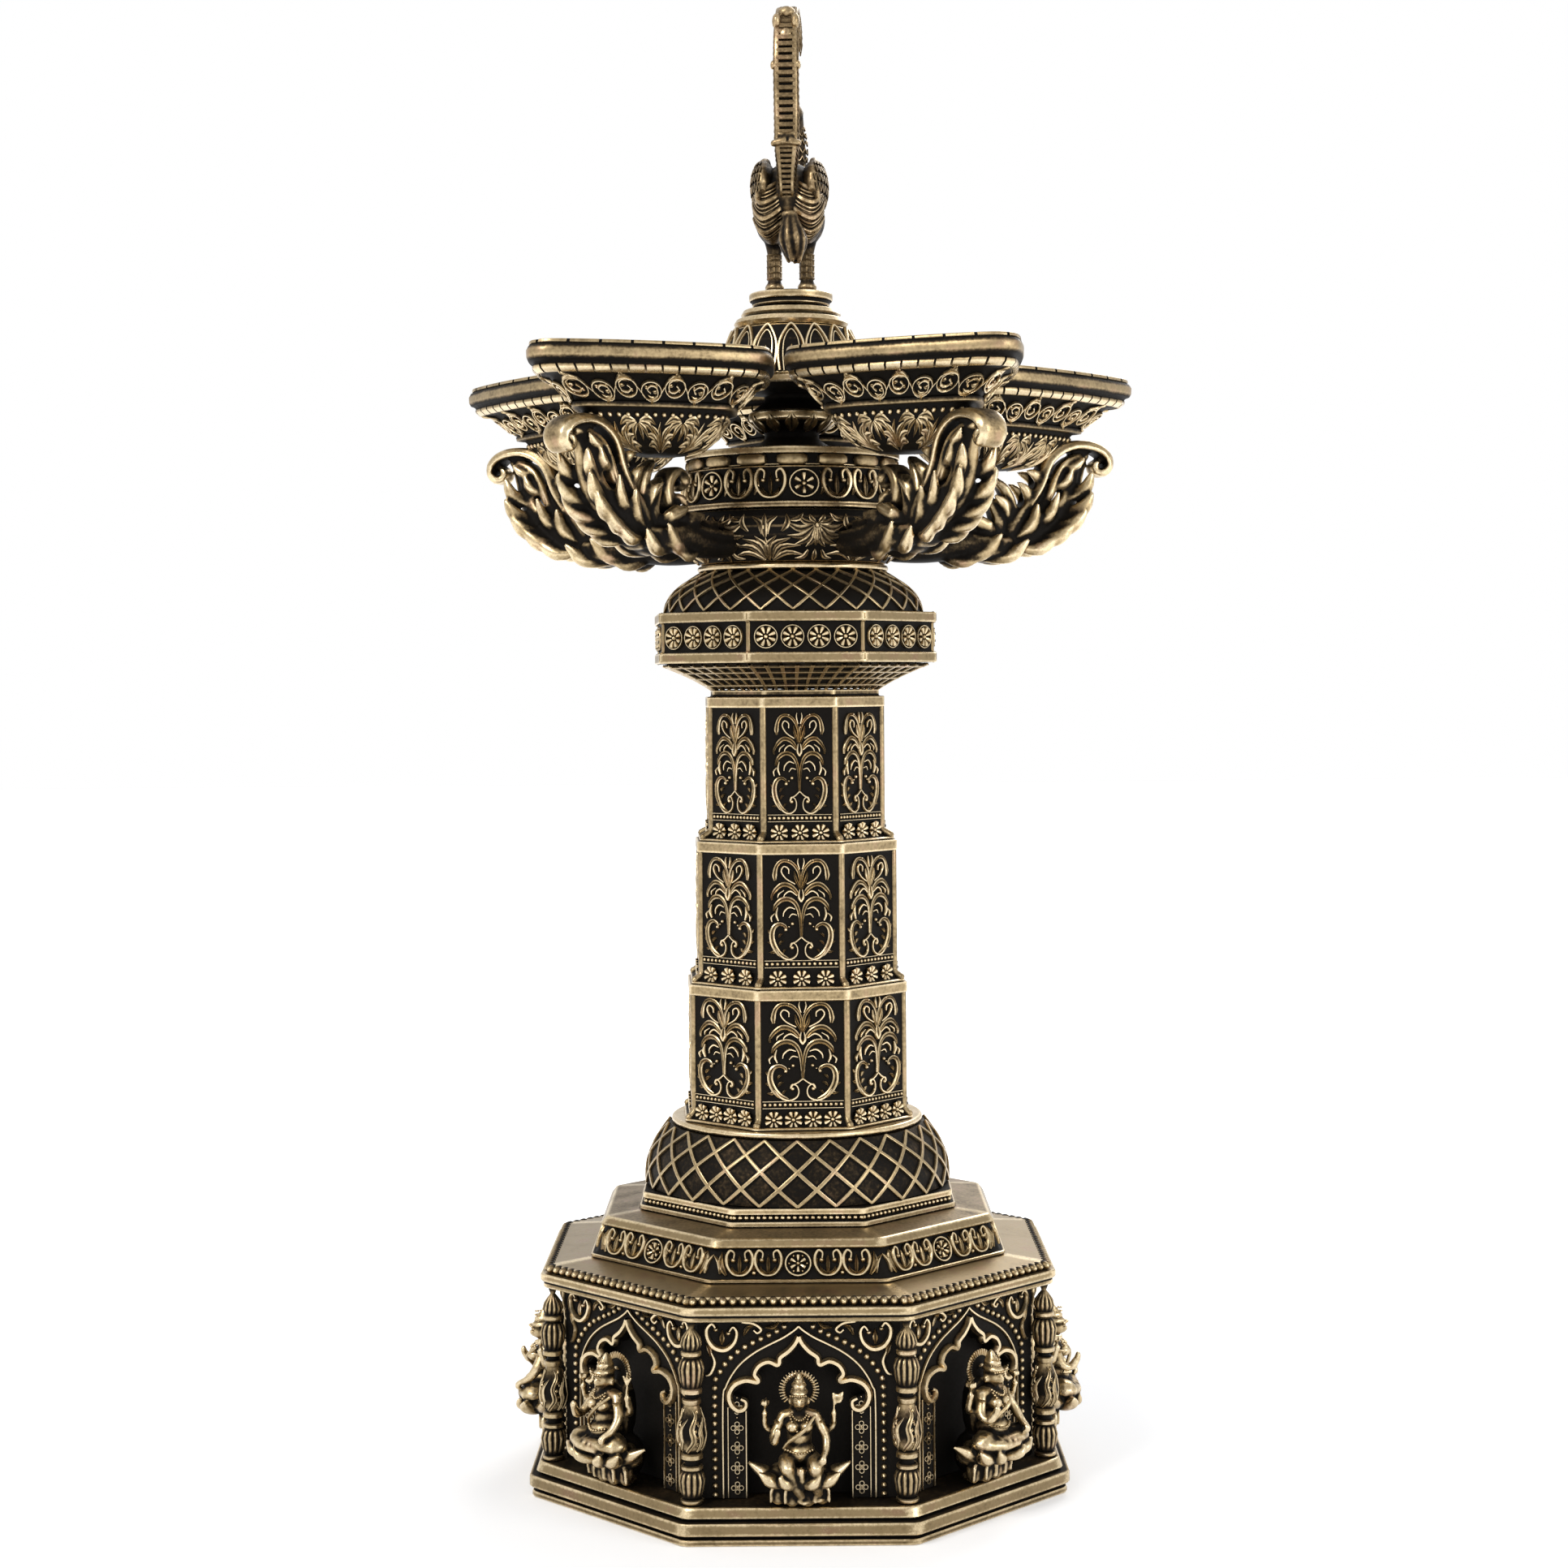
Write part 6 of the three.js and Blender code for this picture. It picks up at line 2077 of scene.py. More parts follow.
    def strands(self) -> list[Patch]:
        """Returns the overlapping strands of one bracket: along X, up Y, across Z."""
        forms = []
        for path, radii, breadth in self.ribbons:
            forms.append(rod(middle_plane(path), radii, 16, 4, breadth, 0.45))
        for side in (-1, 1):
            for path, radii in self.borders:
                forms.append(rod([(x, y, z * side) for x, y, z in path], radii, 8, 4))
            for root, tip, spread, size in self.lobes:
                forms += self.lobe(np.array(root), np.array(tip), spread, size, side)
            for x, y, z, size in self.knobs:
                forms.append(blob((x, y, z * side), (size, size, size), 10, 7))
            for height, spread in self.threads:
                run = ((36, 0), (50, 0.8), (62, 1.6), (76, -0.4))
                line = [(x, height + rise, spread * side) for x, rise in run]
                forms.append(rod(line, (0.8, 1.2, 1.4, 1), 8, 4))
        forms.append(rod(middle_plane(self.midrib), (1.2, 2.2, 2.6, 2.6, 2), 12, 5, 1.2))
        forms.append(rod(middle_plane(self.arm), (4.6, 4.7, 5.2, 5.8, 5.8, 5.2, 3.4), 16, 5, 1.4))
        return forms

    def lobe(self, start: Array, end: Array, spread: float, size: float, side: int) -> list[Patch]:
        """Returns a leaf that curves sideways from its root, and the rib on its outside."""
        rise = np.array([-(end - start)[1], (end - start)[0]]) * -0.16
        middle = start * 0.45 + end * 0.55 + rise
        line = [(*start, 2.4 * side), (*middle, (1.6 + spread * 0.55) * side), (*end, spread * side)]
        groove = [(x, y, z + 0.46 * size * side) for x, y, z in line[:2]]
        return [rod(line, [size * share for share in (0.4, 0.68, 0.76, 0.62, 0.3)], 10, 5, 0.7),
                rod([*groove, line[2]], (0.4, 0.6, 0.5), 6, 5)]

    def build(self) -> None:
        """Builds the five brackets."""
        points, quads, tones = fused(self.strands(), self.voxel)
        start, span = self.foot
        # Painted shade: every tone is lowered and the hollows deepened, and the arms darken towards the urn,
        # where they lie in shade.
        tones = np.clip((tones - 0.13) * 1.12, 0, 1) * np.clip((points[:, 0] - start) / span, 0.42, 1)
        mesh = free_mesh("scroll_bracket_form", stand(points), quads, tones, CAST)
        for k in range(self.count):
            seat = Seat(self.first + k * 360 / self.count, 0, 0, -90)
            place_copy(mesh, f"scroll_bracket_casting_{k + 1}", seat, "head",
                       f"scroll_bracket_{k + 1}")


def middle_plane(path: Sequence[Pair]) -> list[Corner]:
    """Returns a drawn line in the middle plane of its piece."""
    return [(x, y, 0) for x, y in path]


# Goddess figures


class Pose(Enum):
    """How a figure sits and what its upper hands hold."""

    PENDANT = "pendant"
    LOTUS = "lotus"
    MACE = "mace"


@dataclass
class Goddess:
    """A four-armed goddess on a lotus seat, drawn across X, up Y and out Z from the wall.

    Attributes:
        pose: posture and attributes.
        voxel: size of the remesh.
        breadth: scale across.
        rise: scale upwards.
        depth: stretch out of the wall.
        offset: how far the whole figure stands out of the wall.
        halo_level: drawn level of the halo's middle.
    """

    pose: Pose
    voxel: float = 0.55
    breadth: float = 0.93
    rise: float = 0.889
    depth: float = 1.35
    offset: float = 2.9
    halo_level: float = 40.6

    def deepened(self, points: Array) -> Array:
        """Returns points stretched out of the wall to the figure's real depth."""
        return points * (self.breadth, self.rise, self.depth) + (0, 0, self.offset)

    def seat(self) -> list[Patch]:
        """Returns the lotus seat: broad petals over a pedestal of rounded ones."""
        forms = [blob((0, 2.4, 2.4), (20, 4.8, 6.4)), blob((0, 7.6, 2.6), (15, 10.6, 7.4)),
                 blob((0, 13.4, 4.2), (21, 5, 11.6)), blob((0, 9, -0.6), (16, 17, 8.4)),
                 blob((0, 26, 0.6), (9, 26, 8))]
        for x, y, z, size in ((-7.4, 4.6, 4, 6.2), (-2.6, 4.4, 5, 6), (2.8, 4.4, 5, 6),
                              (7.6, 4.6, 4, 6.2)):
            forms.append(blob((x, y, z), (size, 8.4, 3.4), 12, 9))
            outline = ((-0.4, 2.2, 1.4), (-0.36, 6.4, 1.5), (0, 8.6, 1.3), (0.36, 6.4, 1.5), (0.4, 2.2, 1.4))
            line = [(x + size * share, height, z + out) for share, height, out in outline]
            forms.append(rod(line, (0.6, 0.7, 0.6), 6, 3))
        for side in (-1, 1):
            for path, size in (
                ([(5, 10.4, 3.6), (10.8, 12, 4.8), (17.2, 15.6, 4)], 2.4),
                ([(4.2, 9.8, 5.8), (9.4, 11.2, 8.8), (13.6, 14.4, 10)], 2.4),
                ([(1.6, 9.6, 6.6), (4.4, 10.8, 10.2), (6.8, 13.8, 12)], 2.2),
                ([(5.6, 9, 2), (10.6, 9.6, 3), (14.4, 12, 3)], 1.7),
            ):
                line = [(x * side, y, z) for x, y, z in path]
                forms.append(rod(line, (size * 0.8, size * 1.12, size, size * 0.25), 10, 5))
        return forms

    def legs(self) -> list[Patch]:
        """Returns the legs and the folds of the skirt."""
        if self.pose is Pose.PENDANT:
            forms = [
                rod([(-2.6, 17.6, 5), (-4.4, 18, 8.6), (-4.2, 16.8, 10.8)], (3.2, 3, 2.7), 10, 4),
                rod([(2.8, 17.6, 5), (5.2, 18, 8.6), (5.4, 16.8, 10.8)], (3.2, 3, 2.7), 10, 4),
                blob((1.6, 2, 5), (3, 2.2, 4.4)), blob((6.8, 2.8, 4.8), (3, 2.2, 4.2)),
                rod([(0.6, 15.4, 10.6), (0.9, 11, 9.6), (0.8, 7.6, 8)], (1.5, 1.3, 0.6), 8, 3),
            ]
            for knee, ankle in (((-4.2, 16.6, 10.6), (1, 3.4, 5.2)), ((5.4, 16.6, 10.6), (6.2, 4, 5))):
                start, end = np.array(knee), np.array(ankle)
                forms.append(rod([tuple(start), tuple((start + end) / 2 + (0, 0, 0.8)), tuple(end)],
                                 (2.6, 2.1, 1.4), 10, 4))
                for share in np.linspace(0.08, 0.86, 7):
                    place = start + (end - start) * share + (0, 0, 0.8 * math.sin(math.pi * share))
                    forms.append(hoop(tuple(place), 2.5 - 1.1 * share, 0.42, 12))
            return forms
        forms = [
            rod([(-2, 17.4, 5.6), (-8.6, 17.4, 7.8), (-10.6, 16.6, 8)], (3, 3.1, 2.6), 10, 4),
            rod([(2, 17.4, 5.6), (8.6, 17.4, 7.8), (10.6, 16.6, 8)], (3, 3.1, 2.6), 10, 4),
            rod([(-10.2, 16.4, 8.6), (-4, 15.6, 10.6), (4, 15.2, 10.8)], (2.5, 2.2, 1.6), 10, 4),
            rod([(10.2, 16.4, 8.6), (5, 16.8, 10.2), (-2.6, 17, 10.2)], (2.5, 2.1, 1.5), 10, 4),
            blob((0, 14.6, 11), (5, 2.2, 2.6)),
        ]
        for x in (-8.6, -6.2, -3.8, -1.2, 1.4, 3.8, 6.2, 8.6):
            forms.append(rod([(x, 19.4, 8.4 - abs(x) * 0.1), (x * 1.06, 17, 12.4 - abs(x) * 0.22),
                              (x, 14.4, 11 - abs(x) * 0.2)], (0.45, 0.5, 0.45), 6, 3))
        return forms

    def trunk(self) -> list[Patch]:
        """Returns the body, neck, head, crown and halo."""
        return [
            blob((0, 20.4, 5.6), (10.6, 8.4, 8.6), 16, 10), blob((0, 25.4, 5.4), (7.4, 8.6, 6.6), 16, 10),
            blob((0, 30.2, 5.2), (11.4, 8, 6.8), 16, 10), blob((-2.4, 30, 8), (4.4, 4.2, 4)),
            blob((2.4, 30, 8), (4.4, 4.2, 4)),
            rod([(-5.6, 32.8, 5), (0, 33.8, 5), (5.6, 32.8, 5)], (1.9, 2, 1.9), 8, 3),
            rod([(0, 33.4, 5.2), (0, 36.6, 5.4)], (1.75, 1.7), 10, 3),
            blob((0, 38.9, 6), (5.4, 6.8, 5.8), 16, 11),
            rod([(0, 41.4, 5.8), (0, 44.6, 5.6), (0, 47.6, 5.4)], (2.7, 2.1, 0.8), 12, 4),
            blob((0, 41.6, 6), (6.6, 1.7, 6.6), 14, 7), blob((0, 44, 5.8), (5.4, 1.3, 5.2), 14, 7),
            blob((-3.2, 38, 5.4), (1.3, 3, 1.8)), blob((3.2, 38, 5.4), (1.3, 3, 1.8)),
            blob((0, 38.4, 9), (1, 2, 1.2), 8, 6), blob((0, 36.9, 8.5), (1.9, 0.8, 0.9), 8, 6),
        ]

    def arms(self) -> list[Patch]:
        """Returns the four arms and their hands."""
        forms = []
        for side in (-1, 1):
            forms.append(rod([(side * 5.6, 32, 4.2), (side * 9, 27.4, 4), (side * 11.4, 29, 4.8),
                              (side * 11.8, 32.8, 5.6)], (1.6, 1.3, 1.1, 0.9), 8, 4))
            forms.append(blob((side * 11.7, 33.8, 5.8), (2.2, 2.4, 2.2)))
        forms.append(rod([(-6, 31.8, 5.4), (-8.6, 26.6, 7), (-8.4, 25.2, 9.6), (-7.6, 28.2, 11.2)],
                         (1.8, 1.6, 1.4, 1.1), 8, 4))
        forms.append(blob((-7.4, 29.4, 11.6), (2.6, 3.6, 1.6)))
        forms.append(rod([(6, 31.8, 5.4), (8.8, 26.6, 6.8), (9, 22.6, 9), (8.2, 20.8, 11.2)],
                         (1.8, 1.6, 1.4, 1.1), 8, 4))
        forms.append(blob((8, 19.6, 12), (2.6, 3.4, 1.6)))
        return forms + self.attributes()

    def attributes(self) -> list[Patch]:
        """Returns what the upper hands hold."""
        bud = [blob((0, 37.4, 5.8), (2, 3, 2)),
               rod([(0, 33, 5.8), (0, 36.6, 5.8)], (0.45, 0.45), 6, 2)]
        for x, z in oval((0, 0), 1, 1, 5):
            bud.append(rod([(0, 36.2, 5.8), (1.1 * x, 37.4, 5.8 + 1.1 * z), (1.3 * x, 38.8, 5.8 + 1.3 * z)],
                           (0.4, 0.65, 0.3), 6, 3))
        left = [patch.shifted((-11.6, 0, 0)) for patch in bud]
        if self.pose is Pose.LOTUS:
            return left + [patch.shifted((11.6, 0, 0)) for patch in bud]
        shaft = rod([(12, 30.6, 6.2), (11.6, 41, 5.8)], (0.5, 0.5), 8, 3)
        if self.pose is Pose.PENDANT:
            return left + [shaft,
                           rod([(11.6, 40.4, 5.8), (13.8, 40, 5.8), (15, 41.2, 5.8)], (0.5, 0.9, 0.5)),
                           rod([(11.8, 38, 5.8), (13.6, 38, 5.8), (14.8, 39.4, 5.8)], (0.5, 0.9, 0.5))]
        return left + [shaft, rod([(9.6, 41.6, 5.8), (11.6, 39, 5.8), (13.6, 41.6, 5.8)], (0.5, 0.7, 0.5)),
                       rod([(11.6, 40, 5.8), (11.6, 43.4, 5.8)], (0.5, 0.4))]

    def halo(self) -> list[Patch]:
        """Returns the halo behind the head."""
        return [blob((0, self.halo_level, 1.2), (12.4, 12.8, 1.8), 24, 9)]

    def rays(self) -> list[Patch]:
        """Returns the fine rays round the halo."""
        rays, centre = [], np.array([0, self.halo_level, 1.8])
        for turn in range(-130, 131, 10):
            angle = math.radians(turn)
            ray = np.array([math.sin(angle), math.cos(angle), 0])
            rays.append(rod([centre + ray * 4.9, centre + ray * 6.7], (0.36, 0.3), 6, 2))
        return rays

    def details(self) -> list[Patch]:
        """Returns the fine relief: jewels, sash, folds, crown bands and the face's lines."""
        relief = self.rays()
        for line, pitch, size in (
            ([(-2.9, 34.6, 7.2), (-1.6, 33.2, 8.6), (0, 32.6, 9), (1.6, 33.2, 8.6), (2.9, 34.6, 7.2)],
             0.8, 0.85),
            ([(-3.2, 33.6, 7.8), (-1.8, 30.4, 9.3), (0, 28.2, 9.3), (1.8, 30.4, 9.3), (3.2, 33.6, 7.8)],
             0.95, 0.9),
            ([(-4.9, 22, 8.2), (0, 21.2, 10), (4.9, 22, 8.2)], 1, 1.1),
            ([(-3, 41, 8.4), (0, 41.2, 9.4), (3, 41, 8.4)], 0.8, 0.8),
            ([(-2.3, 43, 6.8), (0, 43, 8), (2.3, 43, 6.8)], 0.7, 0.6),
            ([(-1.7, 45.2, 6.8), (0, 45.2, 8), (1.7, 45.2, 6.8)], 0.7, 0.6),
            ([(-1.1, 46.6, 6.8), (0, 46.6, 8), (1.1, 46.6, 6.8)], 0.7, 0.6),
        ):
            relief += chain(line, pitch, size)
        for side in (-1, 1):
            relief.append(rod([(side * 1.75, 38.9, 8.55), (side * 1.1, 39.2, 8.9), (side * 0.55, 38.9, 8.85)],
                              (0.16, 0.3, 0.16), 6, 2))
            relief.append(rod([(side * 2, 39.9, 8.3), (side * 1.2, 40.3, 8.8), (side * 0.4, 40, 8.95)],
                              (0.12, 0.22, 0.12), 6, 2))
            relief.append(blob((side * 7.6, 31.4, 6.6), (2.2, 1, 3.2), 8, 5))
        relief.append(rod([(5.2, 33.4, 7.6), (1.6, 29.4, 10), (-3.4, 25.2, 9), (-5.4, 22.4, 8)],
                          (0.5, 0.7, 0.7, 0.5), 8, 4, 0.7))
        return relief

    def build(self) -> bpy.types.Mesh:
        """Returns the shared mesh: the melted body with its fine relief."""
        forms = self.seat() + self.legs() + self.trunk() + self.arms() + self.halo()
        points, quads, tones = fused([form.moved(self.deepened) for form in forms], self.voxel, 2)
        # Painted shade: the points behind the head, and those near the wall away from the halo, are set near
        # black.
        reach = np.hypot(points[:, 0], points[:, 1] - self.halo_level * self.rise)
        shaded_behind_head = (reach < 4.7) & (points[:, 2] < 6)
        tones = np.where(shaded_behind_head | (points[:, 2] < 4.4) & (reach > 7), 0.05, tones)
        fine = [form.moved(self.deepened).moved(stand) for form in self.details()]
        body = free_mesh(f"goddess_{self.pose.value}", stand(points), quads, tones, CAST)
        return joined(body, patch_mesh("figure_jewels", fine, CAST))


def chain(points: Sequence[Corner], pitch: float, size: float) -> list[Patch]:
    """Returns a row of beads along a curve."""
    line = smooth(points, 12)
    run = run_of(line)
    places = sampled(line, run, np.arange(0, run[-1], pitch))
    return [blob(place, (size, size, size), 7, 5) for place in places]


def stand(points: Array) -> Array:
    """Turns drawn points (across, up, out) to the row frame, looking to the front."""
    return np.column_stack([points[:, 0], -points[:, 2], points[:, 1]])


def joined(body: bpy.types.Mesh, extra: bpy.types.Mesh) -> bpy.types.Mesh:
    """Joins the second mesh into the first and returns that."""
    pieces = [linked("form_to_join", mesh) for mesh in (body, extra)]
    with bpy.context.temp_override(active_object=pieces[0], selected_editable_objects=pieces):
        bpy.ops.object.join()
    bpy.data.objects.remove(pieces[0])
    return body


@dataclass
class Figures:
    """The eight goddesses in their niches."""

    reach: float = 85.0 * FLAT
    poses: tuple[Pose, ...] = (Pose.PENDANT, Pose.LOTUS, Pose.MACE, Pose.PENDANT, Pose.LOTUS, Pose.MACE,
                               Pose.LOTUS, Pose.MACE)

    def build(self) -> None:
        """Builds and places the figures."""
        low, _ = level("lakshmi_1")
        meshes = {pose: Goddess(pose).build() for pose in Pose}
        for k, pose in enumerate(self.poses):
            place_copy(meshes[pose], f"goddess_casting_{k + 1}", Seat(k * FACET_ANGLE, self.reach, low),
                       "base", f"lakshmi_{k + 1}")


# Bird


@dataclass(frozen=True)
class Egg:
    """The surface of an ellipsoid.

    Attributes:
        centre: its middle.
        radii: half sizes along the three axes.
        heading: direction of the panel's middle line in plan, degrees from forward.
        gauge: radius at which panel widths keep their size.
    """

    centre: Corner
    radii: Corner
    heading: float
    gauge: float

    def place(self, points: Array) -> Array:
        """Returns panel points as points of the bird, in millimetres."""
        angle = math.radians(self.heading) + points[:, 0] / self.gauge
        lift = points[:, 1] / self.gauge
        ray = np.column_stack([np.cos(lift) * np.cos(angle), np.cos(lift) * np.sin(angle), np.sin(lift)])
        return np.array(self.centre) + ray * (np.array(self.radii) + points[:, 2:3])


def hoop(centre: Sequence[float], radius: float, size: float, around: int = 20) -> Patch:
    """Returns a ring of round section that lies flat."""
    turn = np.linspace(0, 2 * math.pi, around + 1)
    cross = np.linspace(0, 2 * math.pi, 7)[:-1]
    reach = radius + size * np.cos(cross)
    grid = np.zeros((around + 1, len(cross), 3))
    grid[..., 0] = centre[0] + np.cos(turn)[:, None] * reach
    grid[..., 1] = centre[1] + np.sin(turn)[:, None] * reach
    grid[..., 2] = centre[2] + size * np.sin(cross)
    grid[-1] = grid[0]
    return Patch(grid, np.full(grid.shape[:2], float(BRIGHT)), True)


@dataclass
class Bird:
    """The bird finial: drawn facing forward along X, on its own feet.

    Attributes:
        turn: turn about the axis, degrees.
        leg: distance of each leg from the middle.
        plume_reach: how far the plume stands behind the axis.
        plume_top: height of the plume.
        plume_half: half its width.
        voxel: cell of the melted forms, in millimetres.
        patina: share of the relief tone that the finial's darker surface keeps.
        dense_below: height on the plume under which its rungs stand closer.
        rear: back of the plume, as shares of its reach and height.
        front: its inner side.
    """

    turn: float = 86.5
    leg: float = 5.7
    plume_reach: float = 21.0
    plume_top: float = 99.5
    plume_half: float = 3.9
    voxel: float = 0.55
    patina: float = 0.82
    dense_below: float = 47.0
    rear: tuple[Pair, ...] = (
        (-0.72, 0.3), (-0.93, 0.33), (-1, 0.44), (-0.93, 0.56), (-0.95, 0.68), (-1, 0.8), (-0.81, 0.91),
        (-0.43, 0.98), (-0.05, 1), (0.29, 0.965), (0.38, 0.9))
    front: tuple[Pair, ...] = (
        (-0.42, 0.31), (-0.4, 0.38), (-0.4, 0.46), (-0.48, 0.58), (-0.45, 0.7), (-0.38, 0.82),
        (-0.19, 0.9), (0, 0.885), (0.14, 0.855), (0.33, 0.885))

    def body(self) -> list[Patch]:
        """Returns the forms of the body, neck, head and legs, as forward, up and sideways."""
        forms = [
            blob((0, 31, 0), (35.4, 29.4, 23.8), 20, 13), blob((9, 35, 0), (16, 18, 15), 16, 11),
            rod([(12, 36.5, 0), (16.6, 44, 0), (17.6, 54, 0), (15.4, 65, 0)], (6.4, 5.4, 4.7, 4.1), 14, 5),
            blob((15.2, 66.2, 0), (10.2, 8.2, 8.2), 16, 11),
            rod([(18.4, 66.2, 0), (22.6, 65.8, 0), (26.6, 64.2, 0)], (2.1, 1.5, 0.6), 10, 4),
            rod([(13, 69.6, 0), (10.6, 73, 0), (12.2, 75.6, 0)], (1.6, 1.3, 0.6), 8, 4),
        ]
        for side in (-1, 1):
            offset = side * self.leg
            forms.append(blob((-1, 25.6, offset * 1.05), (19, 17.4, 12.6), 16, 11))
            forms.append(blob((-6.4, 28.4, side * 5.8), (21.8, 24.4, 13), 18, 13))
            forms.append(rod([(0.6, 19.4, offset), (0.4, 14, offset), (0, 8, offset), (0, 2.4, offset)],
                             (3.7, 2.5, 2.3, 2.4), 12, 4))
            forms.append(blob((1, 2.2, offset), (8.4, 4.3, 7), 14, 9))
            for spread in (-1, 0, 1):
                forms.append(rod([(1, 1.5, offset), (4.6, 1.3, offset + spread * 2),
                                  (7, 1.1, offset + spread * 2.9)], (1.4, 1.2, 0.9), 8, 3))
            forms.append(blob((18.2, 67.2, side * 3.4), (1.8, 1.8, 1.2), 8, 7))
        return forms

    def feathers(self) -> list[Patch]:
        """Returns the feather rows of the body and the bands of the legs."""
        patches: list[Patch] = []
        for side in (-1, 1):
            skin = Egg((-6.4, side * 5.8, 28.4), (10.9, 6.5, 12.2), 180, 8)
            panel = Panel()
            swag = ((-8.6, 2.8), (-5, 1), (-1, -0.9), (3.4, -1.7), (7.2, -0.2), (10.6, 2.6))
            for height in (5.4, 2, -1.4, -4.8):
                for width, drop in ((1.5, 0), (0.7, 1.25), (0.5, 2.1)):
                    panel.stroke([(-x * side, height + y - drop) for x, y in swag],
                                 (width * 0.6, width, width, width * 0.7), 0.8 * width ** 0.5, steps=3)
            patches += panel.on(skin)
            x, y = 0.2, side * self.leg
            for height in (5.2, 7.2, 9.4, 11.6, 13.4):
                patches.append(hoop((x, y, height), 2.4, 0.42))
            for across, along in oval((x, y), 2.35, 2.35, 8):
                patches.append(rod([(across, along, 5.2), (across, along, 13.2)], (0.32, 0.32), 6, 2))
        neck = Panel()
        for row in range(7):
            for k in range(-3, 4):
                middle = (k + 0.5 * (row % 2)) * 2.6
                feather(neck, middle, -9 + row * 3, (1.3, 0.9), (0.5, 0.55, 0.5), 0.45)
        skin = Egg((17, 0, 53), (5.2, 5.2, 14), 180, 5.2)
        patches += [patch.moved(lambda points: skin.place(points * (1, 0.36, 1))) for patch in neck.patches]
        patches.append(hoop((12.6, 0, 45.4), 6.4, 0.9))
        return patches

    def wing(self, side: int) -> tuple[list[Patch], list[Patch]]:
        """Returns the melted forms and the feathers of one wing."""
        forms = [blob((-2.6, 36.4, side * 8.6), (32, 18.6, 9.2), 20, 11),
                 rod([(9, 43.2, side * 8.2), (0, 46, side * 8.4), (-10, 42, side * 9.2),
                      (-15, 34, side * 9.8), (-13, 29.4, side * 10.2)], (1.5, 1.7, 1.7, 1.6, 1.3), 8, 4)]
        skin = Egg((-2.6, side * 8.6, 36.4), (16, 4.6, 9.3), 90 * side, 9)
        panel = Panel()
        for row in range(5):
            height = 7.6 - row * 3.2
            for k in range(-5, 6):
                middle = (k + 0.5 * (row % 2)) * 2.3
                feather(panel, middle, height, (1.1, 1.2), (0.5, 0.6, 0.5), 0.6)
                panel.stroke([(middle, height + 1), (middle, height - 0.5)], (0.3, 0.3), 0.4, steps=2)
        return forms, panel.on(skin)

    def ribbon(self) -> list[Patch]:
        """Returns the plume: a curled ribbon with rails and rungs on its back."""
        count = 72
        rear, front = (self.resampled(line, count) for line in (self.rear, self.front))
        half = self.plume_half
        inward = front - rear
        inward /= np.linalg.norm(inward, axis=1)[:, None] + 1e-9
        heights = rear[:, 1]
        width = np.interp(heights, (30, 40, 47, 52, 99), (2.3, 2.8, 3.6, 3.9, 3.9)) / half
        form = ((0, -1, 0.4, 0.85), (0, -0.88, 0, 1), (0, -0.62, 0, 0.95), (0, -0.52, 1.5, 0.05),
                (0, 0, 1.6, 0.05), (0, 0.52, 1.5, 0.05), (0, 0.62, 0, 0.95), (0, 0.88, 0, 1),
                (0, 1, 0.4, 0.85), (0.35, 0.94, 0, 0.4), (0.65, 0.94, 0, 0.55), (1, 1, -0.4, 0.9),
                (1, 0.8, 0, 0.9), (1, -0.8, 0, 0.9), (1, -1, -0.4, 0.9), (0.65, -0.94, 0, 0.55),
                (0.35, -0.94, 0, 0.4))
        grid = np.zeros((count, len(form), 3))
        tones = np.zeros(grid.shape[:2])
        for k, (share, side, depth, tone) in enumerate(form):
            line = rear * (1 - share) + front * share + inward * depth
            grid[:, k, 0], grid[:, k, 2] = line[:, 0], line[:, 1]
            grid[:, k, 1] = side * half * width
            tones[:, k] = tone
        caps = [np.repeat(row.mean(axis=0)[None], len(form), axis=0) for row in (grid[0], grid[-1])]
        grid = np.vstack([caps[0][None], grid, caps[1][None]])
        tones = np.vstack([tones[:1], tones, tones[-1:]])
        return [Patch(grid, tones, True), *self.rungs(rear, inward, width * half)]

    def rungs(self, rear: Array, inward: Array, half: Array) -> list[Patch]:
        """Returns the rungs between the rails, and the barbs on the plume's sides."""
        patches = []
        run = run_of(rear)
        distance = 1.0
        while distance < run[-1] - 1:
            x, z = sampled(rear, run, distance)
            deep = np.insert(sampled(inward, run, distance), 1, 0)
            wide = float(np.interp(distance, run, half))
            low = z < self.dense_below
            size = 0.7 if low else 1.0
            place, reach = np.array([x, 0, z]), np.array([0, wide, 0])
            centre = place + deep * 0.7
            patches.append(rod([centre - reach * 0.62, centre + reach * 0.62], (size, size * 0.9, size),
                               8, 3))
            for side in (-1, 1):
                start = place + deep * 1.6 + reach * side * 0.95
                end = start + deep * 5 - (0, 0, 2.2)
                patches.append(rod([start, (start + end) / 2 + (0, side * 0.2, 0.4), end],
                                   (0.35, 0.62, 0.25), 6, 2))
            distance += 1.8 if low else 2.55
        return patches

